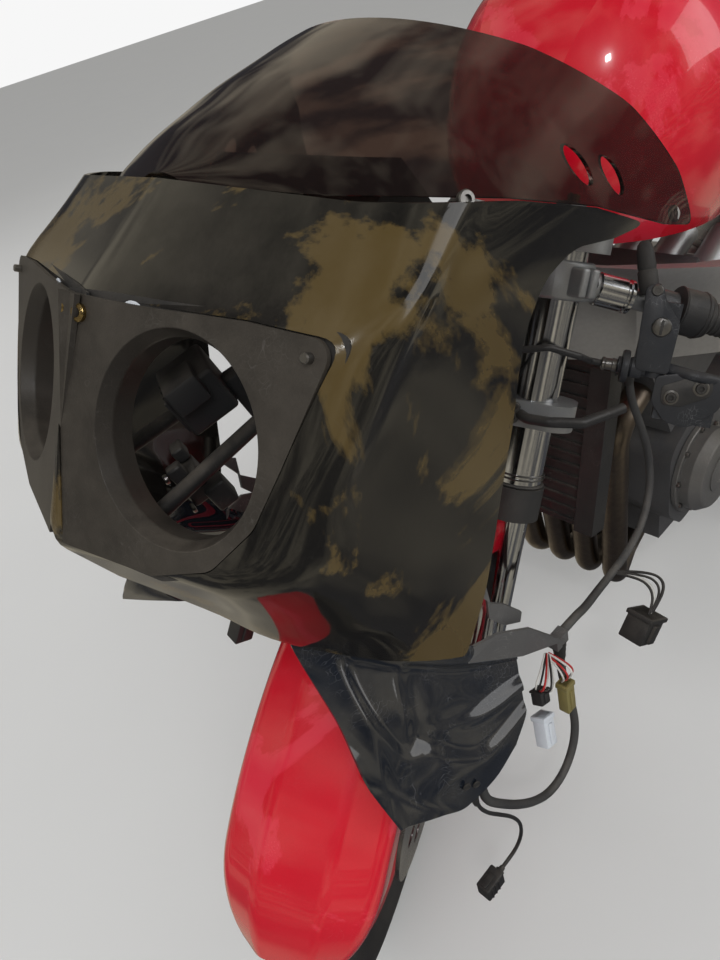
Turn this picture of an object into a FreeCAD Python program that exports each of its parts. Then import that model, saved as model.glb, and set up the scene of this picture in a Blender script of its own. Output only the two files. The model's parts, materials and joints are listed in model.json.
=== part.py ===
import FreeCAD, Part
import math
import os
import Sketcher

os.makedirs("parts", exist_ok=True)
doc = FreeCAD.newDocument("half_faired_motorcycle")

# Driving sizes, millimetres and degrees
SIZES = [
    ("wheelbase", 1470.0),
    ("front_axle_x", 752.5),
    ("front_tyre_radius", 300.0),
    ("front_tyre_width", 120.0),
    ("rear_tyre_radius", 315.0),
    ("rear_tyre_width", 178.0),
    ("rear_wheel_lift", 15.0),
    ("rake_angle", 27.0),
    ("fork_offset", 42.0),
    ("steer_angle", 27.5),
    ("fork_half_spread", 103.0),
    ("outer_tube_radius", 27.0),
    ("slider_radius", 21.5),
    ("outer_tube_bottom", 361.0),
    ("fork_top_rise", 7.0),
    ("running_gap", 0.05),
    ("fit_gap", 0.3),
    ("stem_radius", 15.0),
    ("lower_yoke_height", 446.0),
    ("lower_yoke_thickness", 28.0),
    ("yoke_spacing", 154.0),
    ("top_yoke_thickness", 20.0),
    ("clip_on_drop", 12.0),
    ("clip_on_depth", 34.0),
    ("bar_radius", 11.0),
    ("bar_length", 286.0),
    ("grip_radius", 16.0),
    ("grip_length", 122.0),
    ("switch_length", 27.0),
    ("lever_clamp_inset", 46.0),
    ("front_axle_radius", 10.0),
    ("rear_axle_radius", 12.0),
    ("front_rim_radius", 222.0),
    ("front_disc_radius", 155.0),
    ("disc_thickness", 5.0),
    ("front_disc_spread", 66.0),
    ("rear_rim_radius", 224.0),
    ("rear_disc_radius", 115.0),
    ("sprocket_radius", 96.0),
    ("pinion_radius", 36.0),
    ("chain_line", 98.0),
    ("chain_width", 14.0),
    ("mudguard_radius", 338.0),
    ("mudguard_half_width", 78.0),
    ("panel_thickness", 4.0),
    ("screen_thickness", 3.0),
    ("lamp_hole_radius", 70.0),
    ("lamp_bezel_radius", 79.0),
    ("lamp_panel_thickness", 4.0),
    ("lamp_lean", 30.2),
    ("lamp_vee", 15.1),
    ("lamp_centre_x", 889.0),
    ("lamp_centre_y", 110.0),
    ("lamp_centre_z", 898.0),
    ("head_tube_radius", 33.0),
    ("swingarm_pivot_x", -170.0),
    ("swingarm_pivot_z", 400.0),
    ("pivot_tube_radius", 20.0),
    ("frame_plate_thickness", 34.0),
    ("crankcase_half_width", 120.0),
    ("gearbox_half_width", 88.0),
    ("block_half_width", 120.0),
    ("header_radius", 19.0),
    ("silencer_radius", 56.0),
    ("tank_half_width", 160.0),
    ("tank_top", 1060.0),
    ("seat_half_width", 130.0),
    ("stand_pivot_x", -235.0),
    ("stand_pivot_z", 262.0),
    ("stand_tube_radius", 13.0),
    ("side_stand_length", 215.0),
    ("footrest_reach", 345.0),
    ("plate_middle", 125.0),
    ("rail_radius", 12.0),
    ("footrest_radius", 12.0),
    ("cylinder_pitch", 62.0),
    ("radiator_width", 190.0),
    ("radiator_height", 224.0),
    ("radiator_depth", 16.0),
    ("caliper_bracket_thickness", 10.0),
    ("lever_radius", 6.0),
    ("duct_wall", 3.0),
    ("bracket_wall", 3.0),
    ("master_cylinder_radius", 17.0),
    ("cable_radius", 3.5),
    ("hose_radius", 5.5),
]
sheet = doc.addObject("Spreadsheet::Sheet", "Sizes")
for row, (alias, value) in enumerate(SIZES, start=1):
    sheet.set("A%d" % row, alias)
    sheet.set("B%d" % row, str(value))
    sheet.setAlias("B%d" % row, alias)
doc.recompute()


def size(alias):
    """Read one driving size from the sheet."""
    return float(sheet.get(alias))


def vec(x, y, z):
    return FreeCAD.Vector(x, y, z)


def bind(feature, prop, expression):
    """Bind one property to an expression of sheet cells, given as words."""
    feature.setExpression(prop, expression)


def sheet_words(expression):
    """Put the sheet's name in front of every cell word of an expression."""
    words = expression.replace("*", " * ").replace("/", " / ").replace("+", " + ")
    words = words.replace("(", " ( ").replace(")", " ) ").split()
    known = {alias for alias, value in SIZES}
    return " ".join("Sizes." + word if word in known else word for word in words)


Z_UP = vec(0, 0, 1)
SIDES = ((1, "left"), (-1, "right"))


def aim(start, direction):
    """Placement whose own Z axis points along a direction."""
    return FreeCAD.Placement(start, FreeCAD.Rotation(Z_UP, direction))


def rod(name, start, end, radius):
    """Solid round bar between two points; radius is an expression of cells."""
    bar = doc.addObject("Part::Cylinder", name)
    bind(bar, "Radius", sheet_words(radius))
    bar.Height = (end - start).Length
    bar.Placement = aim(start, end - start)
    return bar


def block(name, centre, length, width, height, turn=None):
    """Box by its centre and three lengths along its own axes."""
    box = doc.addObject("Part::Box", name)
    box.Length = length
    box.Width = width
    box.Height = height
    turn = turn or FreeCAD.Rotation()
    corner = turn.multVec(vec(-length / 2, -width / 2, -height / 2))
    box.Placement = FreeCAD.Placement(centre + corner, turn)
    return box


def ring_tube(name, start, end, outer, inner):
    """Hollow tube between two points; both radii are expressions of cells."""
    wall = rod(name + "_outer", start, end, outer)
    direction = (end - start).normalize()
    hole = rod(name + "_hole", start - direction, end + direction, inner)
    tube = doc.addObject("Part::Cut", name)
    tube.Base = wall
    tube.Tool = hole
    return tube


def rounded_edges(corners):
    """Closed outline of straight runs and corner arcs; a corner is (x, y, radius)."""
    count = len(corners)
    entries = []
    for index in range(count):
        x, y, radius = corners[index]
        here = vec(x, y, 0)
        before = vec(*corners[index - 1][:2], 0) - here
        after = vec(*corners[(index + 1) % count][:2], 0) - here
        if radius <= 0:
            entries.append((here, None, here))
            continue
        before.normalize()
        after.normalize()
        half = before.getAngle(after) / 2
        reach = radius / math.tan(half)
        middle = (before + after).normalize()
        centre = here + middle * (radius / math.sin(half))
        entries.append((here + before * reach, centre - middle * radius, here + after * reach))
    edges = []
    for index in range(count):
        start, middle, end = entries[index]
        if middle is not None:
            edges.append(Part.Arc(start, middle, end))
        following = entries[(index + 1) % count][0]
        if (following - end).Length > 1e-6:
            edges.append(Part.LineSegment(end, following))
    return edges


def sketch_in(body, role):
    """Sketch on one of the body's own origin planes."""
    sketch = body.newObject("Sketcher::SketchObject", body.Name + "_sketch")
    plane = [item for item in body.Origin.OriginFeatures if item.Role == role][0]
    sketch.AttachmentSupport = [(plane, "")]
    sketch.MapMode = "FlatFace"
    return sketch


def plate(name, corners, thickness, placement, holes=(), midplane=False):
    """Padded body with rounded corners; thickness is an expression, holes are (x, y, r)."""
    body = doc.addObject("PartDesign::Body", name)
    sketch = sketch_in(body, "XY_Plane")
    sketch.addGeometry(rounded_edges(corners), False)
    for x, y, radius in holes:
        sketch.addGeometry(Part.Circle(vec(x, y, 0), Z_UP, radius), False)
    pad = body.newObject("PartDesign::Pad", name + "_pad")
    pad.Profile = sketch
    pad.Midplane = midplane
    bind(pad, "Length", sheet_words(thickness))
    body.Placement = placement
    return body


def turned(name, corners, placement, angle=360.0):
    """Body turned about its own Z axis from corners of (radius, height, corner radius)."""
    body = doc.addObject("PartDesign::Body", name)
    sketch = sketch_in(body, "XZ_Plane")
    sketch.addGeometry(rounded_edges(corners), False)
    spin = body.newObject("PartDesign::Revolution", name + "_turn")
    spin.Profile = sketch
    spin.ReferenceAxis = (sketch, ["V_Axis"])
    spin.Angle = angle
    body.Placement = placement
    return body


def run_wire(points, bend):
    """Path of straight runs joined by arcs of one bend radius."""
    edges = []
    start = points[0]
    for index in range(1, len(points) - 1):
        corner = points[index]
        before = (points[index - 1] - corner).normalize()
        after = (points[index + 1] - corner).normalize()
        half = before.getAngle(after) / 2
        reach = bend / math.tan(half)
        middle = (before + after).normalize()
        centre = corner + middle * (bend / math.sin(half))
        edges.append(Part.makeLine(start, corner + before * reach))
        arc = Part.Arc(corner + before * reach, centre - middle * bend, corner + after * reach)
        edges.append(arc.toShape())
        start = corner + after * reach
    edges.append(Part.makeLine(start, points[-1]))
    return Part.Wire(edges)


def bent_tube(name, points, radius, bend):
    """Round tube swept along straight runs and bends."""
    path = run_wire(points, bend)
    ring = Part.makeCircle(radius, points[0], points[1] - points[0])
    feature = doc.addObject("Part::Feature", name)
    feature.Shape = path.makePipeShell([Part.Wire([ring])], True, False)
    return feature


def lofted(name, wires, ruled=True):
    """Solid through closed wires, in order."""
    feature = doc.addObject("Part::Feature", name)
    feature.Shape = Part.makeLoft(wires, True, ruled)
    return feature


def box_section(x, y, z, width, height):
    """Upright rectangle across the machine, centred on a point."""
    corners = [
        vec(x, y - width / 2, z - height / 2),
        vec(x, y + width / 2, z - height / 2),
        vec(x, y + width / 2, z + height / 2),
        vec(x, y - width / 2, z + height / 2),
    ]
    return Part.makePolygon(corners + corners[:1])


def joined(name, pieces, placement=None):
    """One sub-part made of several pieces."""
    if len(pieces) == 1:
        node = pieces[0]
        node.Label = name
    else:
        node = doc.addObject("Part::MultiFuse", name)
        node.Shapes = pieces
        node.Label = name
    if placement is not None:
        node.Placement = placement.multiply(node.Placement)
    nodes.append(node)
    return node


nodes = []

# Places that several sub-parts share
front_axle = vec(size("front_axle_x"), 0, size("front_tyre_radius"))
rear_axle = vec(
    size("front_axle_x") - size("wheelbase"), 0, size("rear_tyre_radius") + size("rear_wheel_lift")
)
rake = size("rake_angle")
offset = size("fork_offset")
forward = vec(math.cos(math.radians(rake)), 0, math.sin(math.radians(rake)))
upward = vec(-math.sin(math.radians(rake)), 0, math.cos(math.radians(rake)))
axis_foot = front_axle - forward * offset
straight = FreeCAD.Placement(axis_foot, FreeCAD.Rotation(vec(0, 1, 0), -rake))
steer = straight.multiply(
    FreeCAD.Placement(vec(0, 0, 0), FreeCAD.Rotation(Z_UP, size("steer_angle")))
)
ACROSS = FreeCAD.Rotation(vec(1, 0, 0), 90)
half_spread = size("fork_half_spread")
lower_yoke_top = size("lower_yoke_height") + size("lower_yoke_thickness")
top_yoke_height = lower_yoke_top + size("yoke_spacing")
top_yoke_top = top_yoke_height + size("top_yoke_thickness")
fork_top = top_yoke_top + size("fork_top_rise")
clip_on_height = top_yoke_height - size("clip_on_drop") - size("clip_on_depth")


def fork_point(side, height, ahead=0.0, outward=0.0):
    """Point beside one fork leg in the steering's own frame."""
    return vec(offset + ahead, side * (half_spread + outward), height)


# Fork
pieces = []
for side, word in SIDES:
    pieces.append(
        rod("fork_outer_" + word, fork_point(side, size("outer_tube_bottom")),
            fork_point(side, fork_top), "outer_tube_radius")
    )
    pieces.append(
        rod("fork_cap_" + word, fork_point(side, fork_top - 1),
            fork_point(side, fork_top + 9), "outer_tube_radius - 5")
    )
joined("fork_outer_tubes", pieces, steer)

pieces = []
LUG_WIDTH = 36.0
BRACKET_FACE = 84.3
for side, word in SIDES:
    pieces.append(
        rod("slider_" + word, fork_point(side, 20), fork_point(side, size("outer_tube_bottom")),
            "slider_radius")
    )
    pieces.append(
        ring_tube("axle_lug_" + word, fork_point(side, 0, 0, -LUG_WIDTH / 2),
                  fork_point(side, 0, 0, LUG_WIDTH / 2), "slider_radius + 8",
                  "front_axle_radius + running_gap")
    )
    face = BRACKET_FACE if side > 0 else -BRACKET_FACE - size("caliper_bracket_thickness")
    pieces.append(
        plate("caliper_bracket_" + word,
              [(-6, 40, 6), (-6, 128, 8), (-92, 136, 12), (-138, 70, 12), (-96, 50, 10)],
              "caliper_bracket_thickness",
              FreeCAD.Placement(vec(offset, face + size("caliper_bracket_thickness"), 0), ACROSS))
    )
    lug_inner = size("mudguard_half_width") + size("fit_gap")
    lug_outer = half_spread - size("slider_radius") + 3
    pieces.append(
        block("guard_lug_" + word, fork_point(side, 290) - vec(0, side * (
            half_spread - (lug_inner + lug_outer) / 2), 0), 34, lug_outer - lug_inner, 44)
    )
joined("fork_sliders", pieces, steer)

pieces = []
for side, word in SIDES:
    pieces.append(
        ring_tube("seal_collar_" + word, fork_point(side, size("outer_tube_bottom") - 22),
                  fork_point(side, size("outer_tube_bottom") + 16), "outer_tube_radius + 4",
                  "outer_tube_radius + fit_gap")
    )
joined("fork_seal_collars", pieces, steer)

yoke_corners = []
YOKE_OUTLINE = [
    (-30, 34, 20), (10, 150, 26), (offset + 32, 150, 26), (offset + 30, 70, 16), (46, 34, 10),
]
for x, y, radius in YOKE_OUTLINE:
    yoke_corners.append((x, y, radius))
for x, y, radius in reversed(YOKE_OUTLINE):
    yoke_corners.append((x, -y, radius))
leg_holes = [(offset, side * half_spread, size("outer_tube_radius") + size("running_gap"))
             for side, word in SIDES]
lower = plate("lower_yoke_plate", yoke_corners, "lower_yoke_thickness",
              FreeCAD.Placement(vec(0, 0, size("lower_yoke_height")), FreeCAD.Rotation()),
              holes=leg_holes)
stem_top = top_yoke_top
stem = rod("steering_stem", vec(0, 0, size("lower_yoke_height") + 4), vec(0, 0, stem_top + 4),
           "stem_radius")
joined("lower_yoke", [lower, stem], steer)
top = plate("top_yoke_plate", yoke_corners, "top_yoke_thickness",
            FreeCAD.Placement(vec(0, 0, top_yoke_height), FreeCAD.Rotation()),
            holes=leg_holes + [(0, 0, size("stem_radius") + size("running_gap"))])
stem_nut = ring_tube("stem_nut", vec(0, 0, stem_top), vec(0, 0, stem_top + 8), "stem_radius + 5",
                     "stem_radius + running_gap")
key_switch = rod("key_switch", vec(48, 0, stem_top - 19), vec(46, 0, stem_top + 16),
                 "stem_radius + 4")
joined("top_yoke", [top, stem_nut, key_switch], steer)

# Handlebars
BAR_AIM = vec(-0.35, 0.93, -0.12).normalize()


def bar_point(side, distance):
    """Point on a handlebar's centre line at a distance from the fork tube's centre."""
    place = vec(offset, half_spread, clip_on_height + size("clip_on_depth") / 2)
    place = place + BAR_AIM * distance
    return vec(place.x, side * place.y, place.z)


BAR_START = 25.0
GRIP_START = size("bar_length") - size("grip_length")
bars = []
grips = []
for side, word in SIDES:
    base = clip_on_height
    clamp = ring_tube("clip_on_clamp_" + word, fork_point(side, base),
                      fork_point(side, base + size("clip_on_depth")), "outer_tube_radius + 9",
                      "outer_tube_radius + running_gap")
    bar = rod("bar_" + word, bar_point(side, BAR_START + 6), bar_point(side, size("bar_length")),
              "bar_radius")
    spigot = rod("spigot_" + word, bar_point(side, BAR_START + 4), bar_point(side, 78),
                 "bar_radius + 4")
    bars.extend([clamp, spigot, bar])
    grip = ring_tube("grip_sleeve_" + word, bar_point(side, GRIP_START),
                     bar_point(side, size("bar_length") - 2), "grip_radius",
                     "bar_radius + running_gap")
    weight = rod("bar_end_" + word, bar_point(side, size("bar_length") + 0.2),
                 bar_point(side, size("bar_length") + 14), "grip_radius - 2")
    grips.extend([grip, weight])
joined("clip_on_bars", bars, steer)
joined("grips", grips, steer)

# Front wheel: tyre, rim with three spokes, discs
front_hub = vec(offset, 0, 0)
wheel_place = FreeCAD.Placement(front_hub, ACROSS)


BEAD_DEPTH = 8.0
FLANGE = 5.0


def tyre_corners(outer, rim_radius, half_width, rim_half):
    """Section of a tyre: tread crown, shoulders, sidewalls and beads between the flanges."""
    bead = rim_half - FLANGE - size("fit_gap")
    seat_radius = rim_radius - BEAD_DEPTH + size("running_gap") * 4
    return [
        (outer, -half_width * 0.45, half_width * 0.7), (outer, half_width * 0.45, half_width * 0.7),
        (outer - half_width * 0.62, half_width, half_width * 0.3),
        (rim_radius + 3, bead, 4), (seat_radius, bead, 2), (seat_radius, -bead, 2),
        (rim_radius + 3, -bead, 4), (outer - half_width * 0.62, -half_width, half_width * 0.3),
    ]


def rim_corners(outer, half_width):
    """Section of a rim: flanges, bead seats, well and a closed underside."""
    seat_radius = outer - BEAD_DEPTH
    inner_flange = half_width - FLANGE
    return [
        (outer, -half_width, 1.5), (outer, -inner_flange - 0.5, 1.5),
        (seat_radius, -inner_flange, 1), (seat_radius, -half_width + 20, 3),
        (outer - 18, -half_width * 0.4, 4), (outer - 18, half_width * 0.4, 4),
        (seat_radius, half_width - 20, 3), (seat_radius, inner_flange, 1),
        (outer, inner_flange + 0.5, 1.5), (outer, half_width, 1.5),
        (outer - 16, half_width, 3), (outer - 28, half_width * 0.5, 4),
        (outer - 28, -half_width * 0.5, 4), (outer - 16, -half_width, 3),
    ]


SPOKE_COUNT = 3


def spoke(name, rim_inner, hub_radius, root_width, tip_width, thickness, turn, placement):
    """One cast spoke, tapered from hub to rim, with a lightening window."""
    corners = [
        (hub_radius - 8, -root_width / 2, 0), (rim_inner + 4, -tip_width / 2, 0),
        (rim_inner + 4, tip_width / 2, 0), (hub_radius - 8, root_width / 2, 0),
    ]
    body = doc.addObject("PartDesign::Body", name)
    sketch = sketch_in(body, "XY_Plane")
    sketch.addGeometry(rounded_edges(corners), False)
    window = [
        (hub_radius + 34, -root_width * 0.2, 5), (rim_inner - 26, -tip_width * 0.22, 5),
        (rim_inner - 26, tip_width * 0.22, 5), (hub_radius + 34, root_width * 0.2, 5),
    ]
    sketch.addGeometry(rounded_edges(window), False)
    pad = body.newObject("PartDesign::Pad", name + "_pad")
    pad.Profile = sketch
    pad.Midplane = True
    pad.Length = thickness
    spin = FreeCAD.Placement(vec(0, 0, 0), FreeCAD.Rotation(Z_UP, turn))
    body.Placement = placement.multiply(spin)
    return body


def wheel_nodes(prefix, radius, width, rim_radius, hub_radius, faces, bore, placement, final):
    """Tyre and rim of one wheel; the tyre sits on the rim's shoulders."""
    half = width / 2
    rim_half = half * 0.74
    tyre = turned(prefix + "_tyre_body", tyre_corners(radius, rim_radius, half, rim_half),
                  placement)
    joined(prefix + "_tyre", [tyre], final)
    rim = turned(prefix + "_rim_well", rim_corners(rim_radius, rim_half), placement)
    low_face, high_face = faces
    hub = turned(prefix + "_hub", [
        (bore, low_face, 0), (hub_radius - 6, low_face, 4), (hub_radius, low_face * 0.4, 4),
        (hub_radius, high_face * 0.4, 4), (hub_radius - 6, high_face, 4), (bore, high_face, 0),
    ], placement)
    parts = [rim, hub]
    for index in range(SPOKE_COUNT):
        parts.append(
            spoke("%s_spoke_%d" % (prefix, index + 1), rim_radius - 26, hub_radius, 62, 50,
                  half * 0.62, 30 + index * 360 / SPOKE_COUNT, placement)
        )
    joined(prefix + "_rim", parts, final)


front_face = size("front_disc_spread") - size("disc_thickness") / 2
wheel_nodes("front", size("front_tyre_radius"), size("front_tyre_width"),
            size("front_rim_radius"), 44, (-front_face, front_face),
            size("front_axle_radius") + size("running_gap"), wheel_place, steer)

DISC_HOLES = 10
pieces = []
for side, word in SIDES:
    holes = []
    for index in range(DISC_HOLES):
        angle = math.radians(index * 360 / DISC_HOLES)
        holes.append((105 * math.cos(angle), 105 * math.sin(angle), 14))
    disc = doc.addObject("PartDesign::Body", "front_disc_" + word)
    sketch = sketch_in(disc, "XY_Plane")
    sketch.addGeometry(Part.Circle(vec(0, 0, 0), Z_UP, size("front_disc_radius")), False)
    sketch.addGeometry(Part.Circle(vec(0, 0, 0), Z_UP, 34), False)
    for x, y, radius in holes:
        sketch.addGeometry(Part.Circle(vec(x, y, 0), Z_UP, radius), False)
    pad = disc.newObject("PartDesign::Pad", "front_disc_pad_" + word)
    pad.Profile = sketch
    pad.Midplane = True
    bind(pad, "Length", "Sizes.disc_thickness")
    disc.Placement = FreeCAD.Placement(
        front_hub + vec(0, side * size("front_disc_spread"), 0), ACROSS
    )
    pieces.append(disc)
joined("front_discs", pieces, steer)

axle = rod("front_axle_bar", vec(offset, -half_spread - 26, 0), vec(offset, half_spread + 26, 0),
           "front_axle_radius")
joined("front_axle", [axle], steer)

# Calipers straddle the discs behind the fork legs
pieces = []
caliper_aim = vec(-0.79, 0, 0.613)
caliper_turn = FreeCAD.Rotation(vec(0, 1, 0), -142.2)
for side, word in SIDES:
    width = BRACKET_FACE - size("fit_gap") - 45
    middle = 45 + width / 2
    place = front_hub + caliper_aim * 132 + vec(0, side * middle, 0)
    body = block("caliper_body_" + word, place, 76, width, 104, caliper_turn)
    gap = front_hub + caliper_aim * 122 + vec(0, side * size("front_disc_spread"), 0)
    slot = block("caliper_slot_" + word, gap, 76, size("disc_thickness") + 5, 112, caliper_turn)
    caliper = doc.addObject("Part::Cut", "caliper_" + word)
    caliper.Base = body
    caliper.Tool = slot
    pieces.append(caliper)
joined("front_calipers", pieces, steer)

# Front mudguard: arched shell over the tyre with side skirts
guard_outer = size("mudguard_radius")
guard_half = size("mudguard_half_width")
GUARD_WALL = 3.0
GUARD_FRONT_ANGLE = -5.0
GUARD_SPAN = 143.0
guard = turned("mudguard_shell", [
    (guard_outer - 62, guard_half, 0), (guard_outer - 20, guard_half, 16),
    (guard_outer, guard_half * 0.42, 22), (guard_outer, -guard_half * 0.42, 22),
    (guard_outer - 20, -guard_half, 16), (guard_outer - 62, -guard_half, 0),
    (guard_outer - 62, -guard_half + GUARD_WALL, 0),
    (guard_outer - 21, -guard_half + GUARD_WALL, 13),
    (guard_outer - GUARD_WALL, -guard_half * 0.42 + 1, 19),
    (guard_outer - GUARD_WALL, guard_half * 0.42 - 1, 19),
    (guard_outer - 21, guard_half - GUARD_WALL, 13),
    (guard_outer - 62, guard_half - GUARD_WALL, 0),
], wheel_place.multiply(
    FreeCAD.Placement(vec(0, 0, 0), FreeCAD.Rotation(Z_UP, GUARD_FRONT_ANGLE))
), GUARD_SPAN)
joined("front_mudguard", [guard], steer)

# Clutch lever, brake lever and switch housings
PERCH = GRIP_START - size("lever_clamp_inset")
PERCH_REACH = 25.0
housings = []
for side, word, control in ((1, "left", "clutch"), (-1, "right", "brake")):
    perch = bar_point(side, PERCH)
    clamp = ring_tube(control + "_perch_ring", bar_point(side, PERCH - 12),
                      bar_point(side, PERCH + 10), "bar_radius + 6", "bar_radius + running_gap")
    lever_root = perch + vec(22, side * 6, -60)
    mount = block(control + "_perch_plate", perch + vec(PERCH_REACH, 0, -28), 14, 34, 68)
    boss = rod(control + "_pivot_boss", lever_root + vec(0, 0, -11), lever_root + vec(0, 0, 11),
               "lever_radius + 5")
    lever = bent_tube(control + "_lever_blade", [
        lever_root + vec(1.5, side * 2, 1.2), lever_root + vec(14, side * 40, -2),
        lever_root + vec(-28, side * 172, -16),
    ], size("lever_radius"), 30)
    holder = [clamp, mount, boss, lever]
    if control == "clutch":
        holder.append(block("clutch_clamp_plate", lever_root + vec(2, 36, -30), 16, 58, 44))
        holder.append(rod("clutch_adjuster", lever_root + vec(0, -10, -4),
                          lever_root + vec(2, -38, -4), "lever_radius + 3"))
        holder.append(rod("clutch_ferrule", lever_root + vec(2, -37, -4),
                          lever_root + vec(3, -50, -5), "cable_radius + 2"))
    else:
        holder.append(rod("master_cylinder", lever_root + vec(6, -6, 4),
                          lever_root + vec(8, 44, 0), "master_cylinder_radius - 4"))
        holder.append(rod("fluid_pot", lever_root + vec(12, 22, 8), lever_root + vec(26, 24, 52),
                          "master_cylinder_radius - 2"))
    lever_node = joined(control + "_lever", holder, steer)
    lever_node.Refine = False
    housing = ring_tube("switch_body_" + word,
                        bar_point(side, GRIP_START - 3 - size("switch_length")),
                        bar_point(side, GRIP_START - 3), "bar_radius + 13",
                        "bar_radius + running_gap")
    housings.append(housing)
joined("switch_housings", housings, steer)

# Control cables and hose beside the left fork leg, each into its guide on the lower yoke
perch = bar_point(1, PERCH)
cable_root = perch + vec(22, 6, -60) + vec(3, -50.9, -5)
yoke_top = lower_yoke_top
CABLE_GUIDE = vec(57, 62, yoke_top)
cables = [
    bent_tube("clutch_cable", [
        cable_root, cable_root + vec(5, -16, 1), vec(70, 142, 528), vec(97, 112, 535),
        vec(98, 84, 528), vec(78, 66, 506), CABLE_GUIDE + vec(0, 0, 14), CABLE_GUIDE,
    ], size("cable_radius"), 9),
    bent_tube("fork_hose", [
        vec(76, 96, yoke_top - 14), vec(92, 104, yoke_top - 14), vec(98, 128, yoke_top - 12),
        vec(84, 158, yoke_top - 10), vec(56, 180, yoke_top - 2), vec(44, 196, yoke_top + 6),
    ], size("hose_radius"), 12),
]
joined("control_cables", cables, steer)

# Tank
TANK_WIDE = size("tank_half_width")
TANK_CREST = size("tank_top")
# Each row: x, half width, low edge, crest, shoulder depth
TANK_STATIONS = [
    (356, TANK_WIDE - 96, 806, TANK_CREST - 160, 54),
    (322, TANK_WIDE - 52, 796, TANK_CREST - 72, 84), (230, TANK_WIDE, 774, TANK_CREST, 100),
    (80, TANK_WIDE, 748, TANK_CREST - 22, 100), (-50, TANK_WIDE - 38, 738, TANK_CREST - 112, 80),
    (-120, TANK_WIDE - 68, 736, TANK_CREST - 208, 60),
]


def loaf_wire(x, half, low, high, shoulder):
    """Section across the tank: flat base, leaning sides, arched top."""
    side_top = high - shoulder
    bulge = half * 0.86
    left = [vec(x, half * 0.8, low), vec(x, half, (low + side_top) / 2), vec(x, half * 0.98, side_top)]
    edges = [Part.makeLine(vec(x, -half * 0.8, low), left[0])]
    edges.append(Part.Arc(left[0], left[1], left[2]).toShape())
    edges.append(Part.Arc(left[2], vec(x, bulge * 0.9, high - shoulder * 0.42),
                          vec(x, half * 0.5, high - 8)).toShape())
    edges.append(Part.Arc(vec(x, half * 0.5, high - 8), vec(x, 0, high),
                          vec(x, -half * 0.5, high - 8)).toShape())
    edges.append(Part.Arc(vec(x, -half * 0.5, high - 8), vec(x, -bulge * 0.9, high - shoulder * 0.42),
                          vec(x, -half * 0.98, side_top)).toShape())
    edges.append(Part.Arc(vec(x, -half * 0.98, side_top), vec(x, -half, (low + side_top) / 2),
                          vec(x, -half * 0.8, low)).toShape())
    return Part.Wire(edges)


tank = lofted("tank_shell", [loaf_wire(*station) for station in TANK_STATIONS], False)
joined("fuel_tank", [tank])
CAP_X = 170.0


def top_of(shape, x, y):
    """Highest point of a solid on one upright line."""
    line = Part.makeLine(vec(x, y, -500), vec(x, y, 2000))
    return line.common(shape).BoundBox.ZMax


def under_of(shape, x, y):
    """Lowest point of a solid on one upright line."""
    line = Part.makeLine(vec(x, y, -500), vec(x, y, 2000))
    return line.common(shape).BoundBox.ZMin


cap_ahead = top_of(tank.Shape, CAP_X + 20, 0)
cap_behind = top_of(tank.Shape, CAP_X - 20, 0)
cap_normal = vec(cap_behind - cap_ahead, 0, 40).normalize()
cap_foot = vec(CAP_X, 0, top_of(tank.Shape, CAP_X, 0) + size("fit_gap"))
cap = turned("cap_body", [(0, 0, 0), (44, 0, 0), (44, 6, 2), (36, 10, 2), (0, 10, 0)],
             aim(cap_foot, cap_normal))
joined("tank_cap", [cap])

# Headstock and twin beams
def axis_point(height):
    return axis_foot + upward * height


HEAD_LOW = lower_yoke_top + 2
HEAD_HIGH = top_yoke_height - 2
frame_pieces = []
head_middle = (HEAD_LOW + HEAD_HIGH) / 2
head_solid = rod("head_wall", axis_point(HEAD_LOW), axis_point(HEAD_HIGH), "head_tube_radius")
head_block = block("head_gusset", axis_point(head_middle) - forward * 56, 84, 92,
                   118, FreeCAD.Rotation(vec(0, 1, 0), -rake))
head_fuse = doc.addObject("Part::Fuse", "head_fuse")
head_fuse.Base = head_solid
head_fuse.Tool = head_block
head_bore = rod("head_bore", axis_point(HEAD_LOW - 5), axis_point(HEAD_HIGH + 5),
                "stem_radius + running_gap")
head = doc.addObject("Part::Cut", "head_tube")
head.Base = head_fuse
head.Tool = head_bore
frame_pieces.append(head)

BEAM_STATIONS = [
    (402, 42, 746, 40, 118), (340, 130, 726, 34, 114), (250, 186, 700, 34, 108),
    (120, 190, 655, 34, 104), (-40, 172, 575, 34, 104), (-150, 130, 500, 34, 112),
]
for side, word in SIDES:
    wires = [box_section(x, side * y, z, width, height) for x, y, z, width, height in BEAM_STATIONS]
    frame_pieces.append(lofted("beam_" + word, wires))

PLATE_OUTLINE = [
    (-214, 560, 14), (-108, 560, 14), (-96, 470, 30), (-106, 360, 40), (-112, 240, 16),
    (-262, 236, 16), (-236, 380, 30),
]
plate_mid = size("plate_middle")
plate_inner = plate_mid - size("frame_plate_thickness") / 2
plate_outer = plate_mid + size("frame_plate_thickness") / 2
for side, word in SIDES:
    place = FreeCAD.Placement(vec(0, side * plate_mid, 0), ACROSS)
    frame_pieces.append(
        plate("pivot_plate_" + word, PLATE_OUTLINE, "frame_plate_thickness", place,
              holes=[(size("swingarm_pivot_x"), size("swingarm_pivot_z"),
                      size("pivot_tube_radius") - 8 + size("running_gap")),
                     (size("stand_pivot_x"), size("stand_pivot_z"),
                      size("stand_tube_radius") - 4 + size("running_gap"))],
              midplane=True)
    )
    for name, x, z in (("rear_boss_low_", -124, 300), ("rear_boss_high_", -118, 470)):
        frame_pieces.append(
            rod(name + word, vec(x, side * (size("gearbox_half_width") + size("fit_gap")), z),
                vec(x, side * (plate_inner + 3), z), "footrest_radius")
        )
    frame_pieces.append(
        rod("head_boss_" + word, vec(150, side * (size("block_half_width") + size("fit_gap")), 640),
            vec(150, side * 178, 640), "footrest_radius")
    )
TANK_PAD_X = 334.0
TANK_BAR_X = -96.0
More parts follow.
